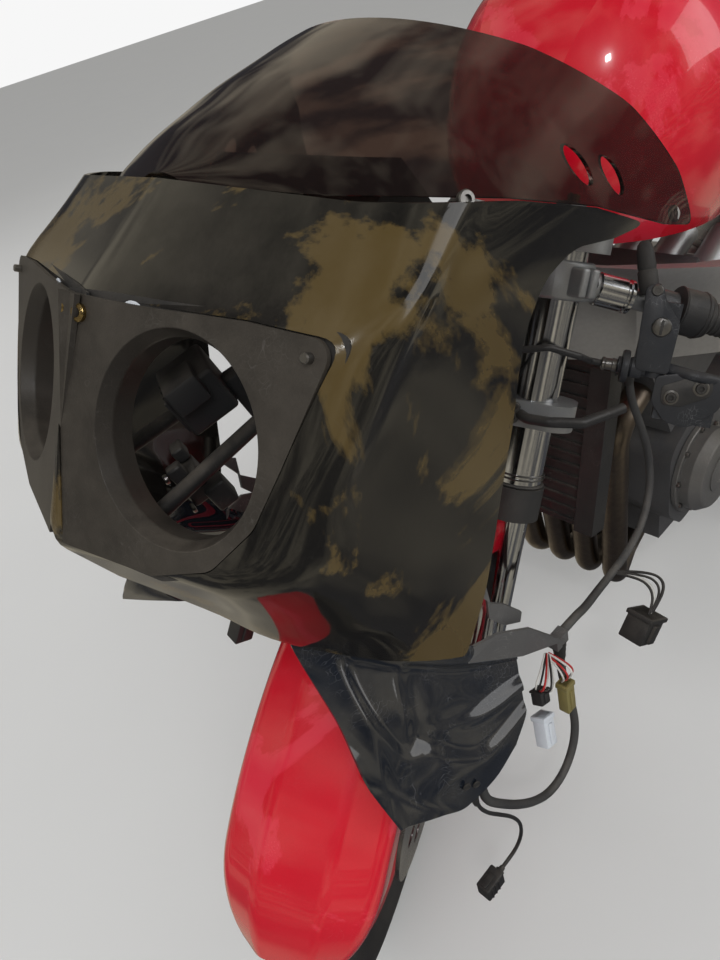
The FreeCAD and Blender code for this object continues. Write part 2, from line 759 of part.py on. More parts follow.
pad_top = under_of(tank.Shape, TANK_PAD_X, 0) - size("fit_gap")
frame_pieces.append(rod("tank_pad", vec(TANK_PAD_X + 22, 0, 720), vec(TANK_PAD_X, 0, pad_top),
                        "pivot_tube_radius - 4"))
bar_z = under_of(tank.Shape, TANK_BAR_X, 0) - size("fit_gap") - size("rail_radius")
frame_pieces.append(rod("tank_bar", vec(TANK_BAR_X, -64, bar_z), vec(TANK_BAR_X, 64, bar_z),
                        "rail_radius"))
for side, word in SIDES:
    frame_pieces.append(rod("tank_strut_" + word, vec(-140, side * 116, 540),
                            vec(TANK_BAR_X, side * 58, bar_z), "rail_radius - 3"))
for name, x, z in (("top_cross", -166, 546), ("low_cross", -196, 262)):
    frame_pieces.append(rod(name, vec(x, -plate_inner - 2, z), vec(x, plate_inner + 2, z),
                            "pivot_tube_radius - 4"))
HARNESS_TOP = vec(338, 136, 661)
frame_pieces.append(block("harness_clip", HARNESS_TOP + vec(0, 0, 5.5), 18, 16, 11))
side_pivot = vec(-74, 172, 222)
frame_pieces.append(block("side_stand_mount", side_pivot + vec(4, -28, 16), 56, 28, 60))
frame_pieces.append(rod("side_stand_bar", side_pivot + vec(4, -36, 30), vec(-160, 120, 268),
                        "stand_tube_radius - 2"))
joined("frame", frame_pieces)

RAIL_SLOPE = (770 - 672) / (262 - 880)


def rail_height(x):
    """Height of the seat rails' centre line at a station."""
    return 672 + (x + 262) * RAIL_SLOPE


pieces = []
rail_side = plate_inner - size("fit_gap") - size("rail_radius")
for side, word in SIDES:
    pieces.append(bent_tube("seat_rail_" + word, [
        vec(-196, side * rail_side, 500), vec(-262, side * (rail_side - 8), 672),
        vec(-880, side * 62, rail_height(-880)),
    ], size("rail_radius"), 60))
    pieces.append(bent_tube("seat_strut_" + word, [
        vec(-206, side * (rail_side + 2), 474), vec(-262, side * (rail_side + 2), 530),
        vec(-560, side * 74, rail_height(-560) - 4),
    ], 10, 40))
for name, x, reach in (("rail_cross_front", -420, 108.4), ("rail_cross_rear", -850, 69.9)):
    z = rail_height(x) + 18
    pieces.append(rod(name, vec(x, -reach, z), vec(x, reach, z), "stand_tube_radius - 4"))
joined("seat_subframe", pieces)

# Engine
CASE_OUTLINE = [
    (-134, 266, 20), (-138, 430, 40), (-70, 500, 20), (20, 480, 20), (20, 266, 20),
]
cases = plate("gearbox_body", CASE_OUTLINE, "gearbox_half_width * 2",
              FreeCAD.Placement(vec(0, 0, 0), ACROSS), midplane=True)
sump = block("sump_body", vec(40, 0, 222), 180, 150, 76)
front_cases = plate("front_case_body", [
    (-30, 270, 20), (-30, 476, 20), (90, 466, 20), (190, 420, 40), (190, 300, 40), (150, 256, 20),
], "crankcase_half_width * 2", FreeCAD.Placement(vec(0, 0, 0), ACROSS), midplane=True)
PINION = vec(-84, 0, 405)
pinion = rod("pinion_body", PINION + vec(0, size("chain_line") - 3.5, 0),
             PINION + vec(0, size("chain_line") + 3.5, 0), "pinion_radius")
output_shaft = rod("output_shaft", PINION + vec(0, size("gearbox_half_width") - 2, 0),
                   PINION + vec(0, size("chain_line") + 9, 0), "stand_tube_radius")
joined("crankcase", [cases, front_cases, sump, pinion, output_shaft])
covers = []
COVERS = [
    ("clutch_cover", -1, 30, 352, 84, 42), ("timing_cover", -1, 142, 350, 44, 30),
    ("generator_cover", 1, 112, 350, 68, 40),
]
for name, side, x, z, radius, depth in COVERS:
    start = vec(x, side * (size("crankcase_half_width") + size("fit_gap")), z)
    covers.append(turned(name, [(0, 0, 0), (radius, 0, 0), (radius, depth * 0.6, 4),
                                (radius * 0.84, depth, 6), (0, depth, 0)],
                         FreeCAD.Placement(start, FreeCAD.Rotation(Z_UP, vec(0, side, 0)))))
joined("engine_covers", covers)

CYL_LEAN = FreeCAD.Rotation(vec(0, 1, 0), 24)
cyl_root = vec(92, 0, 452)
cylinders = block("cylinder_body", cyl_root + CYL_LEAN.multVec(vec(0, 0, 78)), 150,
                  2 * size("block_half_width") - 20, 99, CYL_LEAN)
joined("cylinder_block", [cylinders])
head_body = block("head_body", cyl_root + CYL_LEAN.multVec(vec(0, 0, 165)), 176,
                  2 * size("block_half_width"), 74, CYL_LEAN)
cam_cover = block("cam_body", cyl_root + CYL_LEAN.multVec(vec(0, 0, 219)), 150,
                  2 * size("block_half_width") - 14, 32, CYL_LEAN)
joined("cylinder_head", [head_body, cam_cover])

ports = [(index - 1.5) * size("cylinder_pitch") for index in range(4)]
pieces = []
intake = cyl_root + CYL_LEAN.multVec(vec(-89, 0, 168))
for index, y in enumerate(ports, start=1):
    start = vec(intake.x - 0.1, y, intake.z)
    pieces.append(rod("throttle_body_%d" % index, start, start + vec(-84, 0, 34),
                      "header_radius + 3"))
rail_half = ports[-1] + 20
pieces.append(rod("throttle_rail", vec(intake.x - 60, -rail_half, intake.z - 2),
                  vec(intake.x - 60, rail_half, intake.z - 2), "bar_radius"))
for index, y in enumerate(ports, start=1):
    pieces.append(rod("float_bowl_%d" % index, vec(intake.x - 40, y, intake.z + 10),
                      vec(intake.x - 44, y, intake.z - 44), "header_radius + 1"))
joined("carburettors", pieces)

pieces = []
port_aim = CYL_LEAN.multVec(vec(1, 0, 0))
outlet = cyl_root + CYL_LEAN.multVec(vec(88.2, 0, 150))
collector = vec(-10, -40, 154)
for index, y in enumerate(ports, start=1):
    gather = collector + vec(0, (index - 2.5) * 22, 0)
    start = vec(outlet.x, y, outlet.z)
    pieces.append(bent_tube("header_%d" % index, [
        start, start + port_aim * 70, vec(outlet.x + 40, y * 0.8, 220),
        vec(150, gather.y + (y - gather.y) * 0.3, 154), gather,
    ], size("header_radius"), 44))
pieces.append(block("collector_box", vec(-34, -40, 154), 70, 112, 44))
silencer_start = vec(-440, -204, 350)
silencer_aim = vec(-420, -14, 92).normalize()
pieces.append(bent_tube("link_pipe", [
    vec(-60, -60, 154), vec(-120, -80, 154), vec(-190, -178, 168), vec(-330, -190, 262),
    silencer_start - silencer_aim * 50, silencer_start + silencer_aim * 20,
], 23.6, 44))
joined("exhaust_pipes", pieces)
silencer_turn = FreeCAD.Rotation(Z_UP, silencer_aim)
can = turned("silencer_can", [
    (24.2, 0, 0), (34, 0, 3), (size("silencer_radius"), 70, 10), (size("silencer_radius"), 400, 8),
    (34, 440, 6), (24.2, 440, 0),
], FreeCAD.Placement(silencer_start, silencer_turn))
joined("silencer", [can])

# Radiator with side tanks and a run of fins
RADIATOR_LEAN = FreeCAD.Rotation(vec(0, 1, 0), -14)
radiator_centre = vec(364, 0, 538)
core_width = size("radiator_width")
core_height = size("radiator_height")
core_depth = size("radiator_depth")
RADIATOR_TANK = 28.0
tank_middle = core_width / 2 + RADIATOR_TANK / 2 - 2
pieces = [block("radiator_core", radiator_centre, core_depth, core_width, core_height,
                RADIATOR_LEAN)]
for side, word in SIDES:
    pieces.append(block("radiator_tank_" + word, radiator_centre + vec(0, side * tank_middle, 0),
                        core_depth + 14, RADIATOR_TANK, core_height + 8, RADIATOR_LEAN))
    pieces.append(rod("radiator_hanger_" + word, vec(338, side * (tank_middle + 9), 645),
                      vec(341, side * (tank_middle + 9), 666), "footrest_radius - 5"))
FIN_COUNT = 14
for index in range(FIN_COUNT):
    height = (index - 6.5) * core_height / FIN_COUNT
    pieces.append(block("radiator_fin_%d" % (index + 1),
                        radiator_centre + RADIATOR_LEAN.multVec(vec(0, 0, height)),
                        core_depth + 8, core_width + 2, 3, RADIATOR_LEAN))
joined("radiator", pieces)

# Swingarm, chain drive, rear wheel and brake
pivot = vec(size("swingarm_pivot_x"), 0, size("swingarm_pivot_z"))
ARM_MID = 128.0
pieces = [ring_tube("swingarm_tube", pivot + vec(0, -104, 0), pivot + vec(0, 104, 0),
                    "pivot_tube_radius + 6", "pivot_tube_radius - 8 + running_gap")]
for side, word in SIDES:
    wires = [
        box_section(-152, side * 91, 400, 24, 50), box_section(-276, side * 91, 388, 24, 62),
        box_section(-376, side * 127, 372, 32, 66),
        box_section(rear_axle.x + 60, side * ARM_MID, 336, 30, 56),
        box_section(rear_axle.x - 50, side * ARM_MID, rear_axle.z - 2, 26, 46),
    ]
    arm = lofted("arm_" + word, wires)
    bore = rod("arm_bore_" + word, vec(rear_axle.x, side * 90, rear_axle.z),
               vec(rear_axle.x, side * 170, rear_axle.z), "rear_axle_radius + running_gap")
    drilled = doc.addObject("Part::Cut", "drilled_arm_" + word)
    drilled.Base = arm
    drilled.Tool = bore
    pieces.append(drilled)
pieces.append(block("arm_bridge", vec(-252, 0, 391), 50, 170, 44))
pieces.append(block("caliper_lug", vec(rear_axle.x + 62, -120, 388), 56, 14, 74))
swingarm_solid = doc.addObject("Part::MultiFuse", "swingarm_solid")
swingarm_solid.Shapes = pieces
pivot_bore = rod("swingarm_bore", pivot + vec(0, -110, 0), pivot + vec(0, 110, 0),
                 "pivot_tube_radius - 8 + running_gap")
swingarm = doc.addObject("Part::Cut", "swingarm_cut")
swingarm.Base = swingarm_solid
swingarm.Tool = pivot_bore
joined("swingarm", [swingarm])
spindle = rod("rear_spindle", rear_axle + vec(0, -152, 0), rear_axle + vec(0, 152, 0),
              "rear_axle_radius")
pivot_bolt = rod("pivot_bolt_bar", pivot + vec(0, -plate_outer, 0), pivot + vec(0, plate_outer, 0),
                 "pivot_tube_radius - 8")

rear_place = FreeCAD.Placement(rear_axle, ACROSS)
REAR_DISC_LINE = 94.0
SPROCKET_WIDTH = 7.0
rear_left_face = REAR_DISC_LINE - size("disc_thickness") / 2
rear_right_face = size("chain_line") - SPROCKET_WIDTH / 2
wheel_nodes("rear", size("rear_tyre_radius"), size("rear_tyre_width"), size("rear_rim_radius"),
            52, (-rear_right_face, rear_left_face), size("rear_axle_radius") + size("running_gap"),
            rear_place, None)


def round_plate(name, radius, bore, thickness, centre, hole_count, hole_ring, hole_radius):
    """Flat disc across the machine with a ring of holes."""
    body = doc.addObject("PartDesign::Body", name)
    sketch = sketch_in(body, "XY_Plane")
    sketch.addGeometry(Part.Circle(vec(0, 0, 0), Z_UP, radius), False)
    sketch.addGeometry(Part.Circle(vec(0, 0, 0), Z_UP, bore), False)
    for index in range(hole_count):
        angle = 2 * math.pi * index / hole_count
        sketch.addGeometry(
            Part.Circle(vec(hole_ring * math.cos(angle), hole_ring * math.sin(angle), 0), Z_UP,
                        hole_radius), False)
    pad = body.newObject("PartDesign::Pad", name + "_pad")
    pad.Profile = sketch
    pad.Midplane = True
    pad.Length = thickness
    body.Placement = FreeCAD.Placement(centre, ACROSS)
    return body


rear_disc = round_plate("rear_disc_body", size("rear_disc_radius"), 32, size("disc_thickness"),
                        rear_axle + vec(0, -REAR_DISC_LINE, 0), 8, 80, 12)
joined("rear_disc", [rear_disc])
sprocket = round_plate("sprocket_body", size("sprocket_radius"), 34, SPROCKET_WIDTH,
                       rear_axle + vec(0, size("chain_line"), 0), 6, 62, 13)
joined("rear_sprocket", [sprocket])


def belt_outline(small, large, gap):
    """Closed run around two round wheels: tangent lines and arcs, in the side plane."""
    a = vec(PINION.x, PINION.z, 0)
    b = vec(rear_axle.x, rear_axle.z, 0)
    span = b - a
    tilt = math.asin((large - small) / span.Length)
    base = math.atan2(span.y, span.x)
    upper = base - math.pi / 2 - tilt
    lower = base + math.pi / 2 + tilt

    def on(centre, radius, angle):
        return centre + vec(math.cos(angle), math.sin(angle), 0) * radius

    small += gap
    large += gap
    edges = [
        Part.LineSegment(on(a, small, upper), on(b, large, upper)),
        Part.Arc(on(b, large, upper), on(b, large, base), on(b, large, lower)),
        Part.LineSegment(on(b, large, lower), on(a, small, lower)),
        Part.Arc(on(a, small, lower), on(a, small, base + math.pi), on(a, small, upper)),
    ]
    return edges


chain_body = doc.addObject("PartDesign::Body", "chain_loop")
sketch = sketch_in(chain_body, "XY_Plane")
sketch.addGeometry(belt_outline(size("pinion_radius"), size("sprocket_radius"), 11), False)
sketch.addGeometry(belt_outline(size("pinion_radius"), size("sprocket_radius"), 0.4), False)
pad = chain_body.newObject("PartDesign::Pad", "chain_loop_pad")
pad.Profile = sketch
pad.Midplane = True
bind(pad, "Length", "Sizes.chain_width")
chain_body.Placement = FreeCAD.Placement(vec(0, size("chain_line"), 0), ACROSS)
joined("drive_chain", [chain_body])

REAR_CALIPER_AIM = vec(0.64, 0, 0.768)
rear_caliper_turn = FreeCAD.Rotation(vec(0, 1, 0), -50.2)
rear_caliper_body = block("rear_caliper_block",
                          rear_axle + REAR_CALIPER_AIM * 98 + vec(0, -94.2, 0), 60, 37, 84,
                          rear_caliper_turn)
rear_caliper_slot = block("rear_caliper_gap",
                          rear_axle + REAR_CALIPER_AIM * 88 + vec(0, -REAR_DISC_LINE, 0), 62,
                          size("disc_thickness") + 5, 96, rear_caliper_turn)
rear_caliper = doc.addObject("Part::Cut", "rear_caliper_cut")
rear_caliper.Base = rear_caliper_body
rear_caliper.Tool = rear_caliper_slot
joined("rear_caliper", [rear_caliper])

shock_low = vec(-250, 0, 423)
shock_high = vec(-182, 0, 529)
shock_aim = (shock_high - shock_low).normalize()
pieces = [rod("damper_body", shock_low, shock_high, "stand_tube_radius + 5")]
COIL_COUNT = 6
COIL_WIRE = 6.0
for index in range(COIL_COUNT):
    coil = doc.addObject("Part::Torus", "shock_coil_%d" % (index + 1))
    coil.Radius1 = size("stand_tube_radius") + 5 + COIL_WIRE + 0.2
    coil.Radius2 = COIL_WIRE
    coil.Placement = aim(shock_low + shock_aim * (22 + index * 17), shock_aim)
    pieces.append(coil)
joined("rear_shock", pieces)

# Stands
stand_pivot = vec(size("stand_pivot_x"), 0, size("stand_pivot_z"))
pieces = [ring_tube("stand_tube", stand_pivot + vec(0, -88, 0), stand_pivot + vec(0, 88, 0),
                    "stand_tube_radius + 5", "stand_tube_radius - 4 + running_gap")]
for side, word in SIDES:
    pieces.append(rod("stand_leg_" + word, stand_pivot + vec(5, side * 66, -15),
                      vec(stand_pivot.x + 26, side * 140, 14), "stand_tube_radius"))
    pieces.append(block("stand_foot_" + word, vec(stand_pivot.x + 26, side * 140, 6), 60, 34, 12))
pieces.append(rod("stand_cross", stand_pivot + vec(12, -84, -80), stand_pivot + vec(12, 84, -80),
                  "stand_tube_radius - 4"))
joined("centre_stand", pieces)
stand_pin = rod("stand_pin_bar", stand_pivot + vec(0, -plate_outer, 0),
                stand_pivot + vec(0, plate_outer, 0), "stand_tube_radius - 4")
spacers = [
    ring_tube("spacer_left", rear_axle + vec(0, rear_right_face + 0.2, 0),
              rear_axle + vec(0, 112.8, 0), "rear_axle_radius + 6", "rear_axle_radius - 1"),
    ring_tube("spacer_right", rear_axle + vec(0, -rear_left_face - 0.2, 0),
              rear_axle + vec(0, -112.8, 0), "rear_axle_radius + 6", "rear_axle_radius - 1"),
]
side_pin = rod("side_stand_pin", side_pivot - vec(0, 0.904, 0.4275) * 12.6,
               side_pivot + vec(0, 0.904, 0.4275) * 12, "stand_tube_radius - 7")
joined("axle_and_pivots", [spindle, pivot_bolt, stand_pin, side_pin] + spacers)

length = size("side_stand_length")
side_axis = vec(0, 0.904, 0.4275)
pieces = [
    rod("side_stand_leg", side_pivot + vec(-9, 0, 0), side_pivot + vec(-length, 0, 0),
        "stand_tube_radius - 2"),
    rod("side_stand_eye", side_pivot - side_axis * 7, side_pivot + side_axis * 7,
        "stand_tube_radius"),
    block("side_stand_foot", side_pivot + vec(-length, 6, -2), 46, 40, 12),
]
side_stand_solid = doc.addObject("Part::MultiFuse", "side_stand_solid")
side_stand_solid.Shapes = pieces
side_stand_bore = rod("side_stand_bore", side_pivot - side_axis * 20, side_pivot + side_axis * 20,
                      "stand_tube_radius - 7 + running_gap")
side_stand_cut = doc.addObject("Part::Cut", "side_stand_cut")
side_stand_cut.Base = side_stand_solid
side_stand_cut.Tool = side_stand_bore
joined("side_stand", [side_stand_cut])

# Footrests on their hanger plates
footrests = []
hanger_mid = plate_outer + size("fit_gap") + size("panel_thickness")
for side, word in SIDES:
    hanger = plate("hanger_" + word, [
        (-126, 440, 16), (-116, 380, 16), (-236, 330, 18), (-300, 400, 16), (-200, 430, 16),
    ], "panel_thickness * 2", FreeCAD.Placement(vec(0, side * hanger_mid, 0), ACROSS),
        midplane=True)
    peg = rod("peg_" + word, vec(-228, side * hanger_mid, 360),
              vec(-228, side * size("footrest_reach"), 360), "footrest_radius")
    pedal = bent_tube("pedal_" + word, [
        vec(-216, side * (hanger_mid + 2), 352), vec(-190, side * 190, 336),
        vec(-78, side * 212, 318), vec(-72, side * 256, 320),
    ], 6, 14)
    footrests.extend([hanger, peg, pedal])
joined("footrests", footrests)

# Seat and tail
RAIL_TOP = size("rail_radius") + size("fit_gap")
TAIL_STATIONS = [
    (-200, 96, rail_height(-262) + RAIL_TOP, 764), (-400, 116, rail_height(-400) + RAIL_TOP, 776),
    (-700, 98, rail_height(-700) + RAIL_TOP, 806), (-900, 70, rail_height(-900) + RAIL_TOP, 872),
    (-985, 50, 826, 866),
]


def tail_top(x):
    """Height of the tail's upper face at a station."""
    for front, back in zip(TAIL_STATIONS[:-1], TAIL_STATIONS[1:]):
        if back[0] <= x <= front[0]:
            share = (x - front[0]) / (back[0] - front[0])
            return front[3] + (back[3] - front[3]) * share
    return TAIL_STATIONS[0][3]


SEAT_GAP = size("fit_gap")
SEAT_STATIONS = [
    (-120 - SEAT_GAP, 84, tail_top(-120) + SEAT_GAP, 838),
    (-200, 110, tail_top(-200) + SEAT_GAP, 822), (-320, 130, tail_top(-320) + SEAT_GAP, 820),
    (-400, 118, tail_top(-400) + SEAT_GAP, 838), (-550, 104, tail_top(-550) + SEAT_GAP, 872),
    (-700, 84, tail_top(-700) + SEAT_GAP, 884),
]


def cushion_wire(x, half, low, high):
    corners = [
        (-half, low, 4), (half, low, 4), (half, high - 12, 16), (half * 0.6, high, 30),
        (-half * 0.6, high, 30), (-half, high - 12, 16),
    ]
    edges = [edge.toShape() for edge in rounded_edges(corners)]
    wire = Part.Wire(Part.__sortEdges__(edges))
    wire.Placement = FreeCAD.Placement(vec(x, 0, 0), FreeCAD.Rotation(vec(0.57735, 0.57735, 0.57735), 120))
    return wire


seat = lofted("seat_pad", [cushion_wire(*station) for station in SEAT_STATIONS], True)
joined("seat", [seat])

tail = lofted("tail_body", [cushion_wire(*station) for station in TAIL_STATIONS], True)
tail_core = lofted("tail_core", [
    cushion_wire(x if index else x + 8, half - 6, low - 12, high - 6)
    for index, (x, half, low, high) in enumerate(TAIL_STATIONS[:-1])
], True)
tail_shell = doc.addObject("Part::Cut", "tail_shell")
tail_shell.Base = tail
tail_shell.Tool = tail_core
joined("tail_cowl", [tail_shell])
lamp = block("rear_lamp_body", vec(-994, 0, 846), 18, 88, 34)
joined("rear_lamp", [lamp])
rail_under = size("rail_radius") + size("fit_gap")
guard_plate = plate("rear_guard_body", [
    (-700, rail_height(-700) - rail_under, 0), (-872, rail_height(-872) - rail_under, 20),
    (-1008, 560, 6), (-1000, 556, 2), (-868, rail_height(-868) - rail_under - 12, 18),
    (-700, rail_height(-700) - rail_under - 12, 0),
], "rear_tyre_width", FreeCAD.Placement(vec(0, 0, 0), ACROSS), midplane=True)
joined("rear_mudguard", [guard_plate])

# Cowl: outer skin and inner skin through level sections, then cut to the side profile
COWL_SECTIONS = [
    (600, 850, 838, 80, 752, 203, 216), (650, 880, 862, 86, 742, 206, 217),
    (705, 915, 893, 92, 770, 210, 219), (750, 936, 905, 108, 790, 213, 221),
    (815, 967, 926, 150, 850, 214, 225), (887, 925, 873, 193, 815, 224, 230),
    (960, 881, 828, 204, 735, 238, 246), (990, 830, 786, 160, 690, 232, 246),
    (1034, 756, 730, 116, 610, 214, 236),
]
REAR_CUT = 420.0


def cowl_wire(z, nose, facet_x, facet_y, side_x, side_y, rear_y, inset):
    """Level section: vee-shaped nose, rounded corners, long sides, closed behind."""
    nose -= inset
    facet_x -= inset * 0.9
    facet_y -= inset * 0.5
    side_y -= inset
    rear_y -= inset
    rear_x = REAR_CUT - inset
    corner = vec((facet_x + side_x) / 2 + (side_y - facet_y) * 0.22,
                 (facet_y + side_y) / 2 + (facet_x - side_x) * 0.22, z)
    half = [
        Part.LineSegment(vec(nose, 0, z), vec(facet_x, facet_y, z)),
        Part.Arc(vec(facet_x, facet_y, z), corner, vec(side_x, side_y, z)),
        Part.LineSegment(vec(side_x, side_y, z), vec(rear_x, rear_y, z)),
    ]
    edges = [edge.toShape() for edge in half]
    edges.append(Part.makeLine(vec(rear_x, rear_y, z), vec(rear_x, -rear_y, z)))
    other = [
        Part.LineSegment(vec(rear_x, -rear_y, z), vec(side_x, -side_y, z)),
        Part.Arc(vec(side_x, -side_y, z), vec(corner.x, -corner.y, z), vec(facet_x, -facet_y, z)),
        Part.LineSegment(vec(facet_x, -facet_y, z), vec(nose, 0, z)),
    ]
    edges.extend(edge.toShape() for edge in other)
    return Part.Wire(edges)


wall = size("panel_thickness")
skin = Part.makeLoft([cowl_wire(*row, 0) for row in COWL_SECTIONS], True, True)
core_rows = [(600 - 3,) + COWL_SECTIONS[0][1:]] + COWL_SECTIONS[1:-1] + [(1037,) + COWL_SECTIONS[-1][1:]]
core = Part.makeLoft([cowl_wire(*row, wall) for row in core_rows], True, True)
COWL_PROFILE = [
    (990, 790), (990, 1034.5), (782, 1034.5), (767, 1025), (744, 1011), (702, 998), (640, 976),
    (562, 942), (480, 897), (530, 905), (590, 922), (625, 912), (646, 880), (661, 808), (685, 735),
    (711, 650), (745, 590), (819, 644), (884, 705), (936, 749),
]
profile = Part.makePolygon([vec(x, -300, z) for x, z in COWL_PROFILE + COWL_PROFILE[:1]])
prism = Part.Face(profile).extrude(vec(0, 600, 0))

# Lamp panel: two flat facets meeting at the nose, each with a round opening and a rolled lip
lean = math.radians(size("lamp_lean"))
vee = math.radians(size("lamp_vee"))
lamp_centre = vec(size("lamp_centre_x"), size("lamp_centre_y"), size("lamp_centre_z"))
facet_normal = vec(math.cos(lean) * math.cos(vee), math.cos(lean) * math.sin(vee), math.sin(lean))
facet_side = vec(-math.sin(vee), math.cos(vee), 0)
facet_rise = facet_normal.cross(facet_side)
PANEL_OUTLINE = [
    (-113.9, 98, 0), (-64, 92, 8), (-17, 88, 10), (61, 83, 10), (130, 74, 12), (94, -6, 40),
    (74, -48, 30), (38, -84, 30), (-17, -99, 20), (-113.9, -94, 0),
]


PANEL_GAP = 0.8


def facet_frame(side, depth):
    """Placement of one facet: X outward, Y up the slope, Z out of the face."""
    across = vec(facet_side.x, side * facet_side.y, facet_side.z)
    rise = vec(facet_rise.x, side * facet_rise.y, facet_rise.z)
    normal = vec(facet_normal.x, side * facet_normal.y, facet_normal.z)
    centre = vec(lamp_centre.x, side * lamp_centre.y, lamp_centre.z)
    if side < 0:
        turn = FreeCAD.Rotation(across * -1, rise, normal, "ZXY")
    else:
        turn = FreeCAD.Rotation(across, rise, normal, "ZXY")
    return FreeCAD.Placement(centre - normal * depth, turn)


pieces = []
opening = []
for side, word in SIDES:
    outline = [(side * x, y, radius) for x, y, radius in PANEL_OUTLINE]
    thickness = size("lamp_panel_thickness")
    pieces.append(plate("lamp_facet_" + word, outline, "lamp_panel_thickness",
                        facet_frame(side, 6), holes=[(0, 0, size("lamp_bezel_radius") - 2)]))
    pieces.append(turned("lamp_lip_" + word, [
        (size("lamp_bezel_radius"), -1, 0), (size("lamp_bezel_radius"), 4, 0),
        (size("lamp_bezel_radius") - 3, 4, 1), (size("lamp_hole_radius"), -8, 6),
        (size("lamp_hole_radius"), -26, 0), (size("lamp_hole_radius") + 4, -26, 0),
        (size("lamp_hole_radius") + 4, -8, 4), (size("lamp_bezel_radius") - 4, -1, 0),
    ], facet_frame(side, 6)))
    wire = Part.Wire(Part.__sortEdges__([edge.toShape() for edge in rounded_edges(outline)]))
    hole = Part.Face(wire).makeOffset2D(PANEL_GAP).extrude(vec(0, 0, 70))
    hole.Placement = facet_frame(side, 40)
    opening.append(hole)
joined("lamp_panel", pieces)

cowl = doc.addObject("Part::Feature", "cowl_skin")
cowl.Shape = skin.cut(core).common(prism).cut(opening[0].fuse(opening[1]))
joined("fairing_cowl", [cowl])

# Windscreen: thin arched sections, cut to its swept rear edge
SCREEN_STATIONS = [
    (764, 34, 1023.0, 1030.0), (744, 120, 1012, 1034), (702, 180, 999, 1049),
    (640, 220, 977, 1066), (562, 240, 943, 1080), (480, 250, 898, 1087), (425, 252, 868, 1090),
]


def arch_wire(x, half, low, high, thickness):
    inner_low = vec(x, half - thickness, low)
    edges = [
        Part.Arc(vec(x, -half, low), vec(x, 0, high), vec(x, half, low)).toShape(),
        Part.makeLine(vec(x, half, low), inner_low),
        Part.Arc(inner_low, vec(x, 0, high - thickness), vec(x, thickness - half, low)).toShape(),
        Part.makeLine(vec(x, thickness - half, low), vec(x, -half, low)),
    ]
    return Part.Wire(edges)


screen_solid = Part.makeLoft(
    [arch_wire(x, half, low, high, size("screen_thickness"))
     for x, half, low, high in SCREEN_STATIONS], True, True)
SCREEN_PROFILE = [
    (800, 1100), (575, 1100), (560, 1085), (506, 1040), (460, 984), (438, 926), (436, 880),
    (480, 897.5), (562, 942.5), (640, 976.5), (702, 998.5), (744, 1011.5), (780, 1020),
]
cut_wire = Part.makePolygon([vec(x, -300, z) for x, z in SCREEN_PROFILE + SCREEN_PROFILE[:1]])
screen = doc.addObject("Part::Feature", "screen_sheet")
screen.Shape = screen_solid.common(Part.Face(cut_wire).extrude(vec(0, 600, 0)))
joined("windscreen", [screen])

# Lower duct panels below the cowl, their top edge tucked inside its skin
DUCT_TOP = [(864, 696), (830, 670), (790, 641), (752, 613)]
# Rows from the cowl's edge down, each from the front edge back
DUCT_ROWS = [
    [(870, 128, 682), (843, 150, 660), (798, 180, 620), (748, 197, 577), (687, 212, 534)],
    [(878, 172, 622), (848, 196, 590), (806, 214, 560), (760, 222, 530), (700, 226, 512)],
    [(890, 212, 569), (856, 226, 530), (815, 236, 505), (768, 238, 487), (712, 236, 493)],
    [(890, 240, 539), (848, 240, 497), (815, 240, 468), (775, 240, 460), (738, 240, 472)],
]
# Grey strip above the panel's rear corner, from the cowl back to its point
DUCT_STRIP = [
    (742, 199, 573), (736, 198, 587), (704, 208, 584), (668, 216, 562), (621, 222, 501),
    (680, 213, 530),
]
# Grey bracket at the cowl's rear edge
COWL_BRACKET = [
    (699, 196, 646), (712, 198, 640), (700, 200, 618), (681, 200, 599), (658, 200, 567),
    (662, 200, 556), (686, 200, 574), (704, 199, 600),
]


def inner_half_width(x, z):
    """Half width of the cowl's inner skin at a point of its side profile."""
    line = Part.makeLine(vec(x, 0, z), vec(x, 400, z))
    return line.common(core).BoundBox.YMax


def draped(name, side, triangles, wall):
    """Thin sheet of triangles that share their edges, thickened inward."""
    slabs = []
    for corners in triangles:
        points = [vec(x, side * y, z) for x, y, z in corners]
        face = Part.Face(Part.makePolygon(points + points[:1]))
        slabs.append(face.extrude(vec(-wall / 3, -wall * side, 0)))
    feature = doc.addObject("Part::Feature", name)
    feature.Shape = slabs[0].multiFuse(slabs[1:]).removeSplitter()
    return feature


def strip_triangles(upper, lower):
    """Triangles between two runs of as many points."""
    triangles = []
    for index in range(len(upper) - 1):
        triangles.append((upper[index], upper[index + 1], lower[index]))
        triangles.append((upper[index + 1], lower[index + 1], lower[index]))
    return triangles


tucked = [(x, inner_half_width(x, z) - size("fit_gap"), z) for x, z in DUCT_TOP]
ducts = []
strips = []
for side, word in SIDES:
    triangles = strip_triangles(tucked, DUCT_ROWS[0][:4])
    for upper_row, lower_row in zip(DUCT_ROWS[:-1], DUCT_ROWS[1:]):
        triangles.extend(strip_triangles(upper_row, lower_row))
    ducts.append(draped("duct_panel_" + word, side, triangles, size("duct_wall")))
    fan = [(DUCT_STRIP[0], DUCT_STRIP[index], DUCT_STRIP[index + 1]) for index in (1, 2)]
    fan.append((DUCT_STRIP[0], DUCT_STRIP[3], DUCT_STRIP[5]))
    fan.append((DUCT_STRIP[3], DUCT_STRIP[4], DUCT_STRIP[5]))
    strips.append(draped("duct_strip_" + word, side, fan, size("duct_wall")))
LEAD_CLIP = vec(791, 231.5, 468)
ducts.append(block("lead_clip", LEAD_CLIP, 26, 14, 12))
joined("lower_ducts", ducts)
STRIP_CLIP = vec(622, 214, 500)
strips.append(block("strip_clip", STRIP_CLIP, 20, 12, 16))

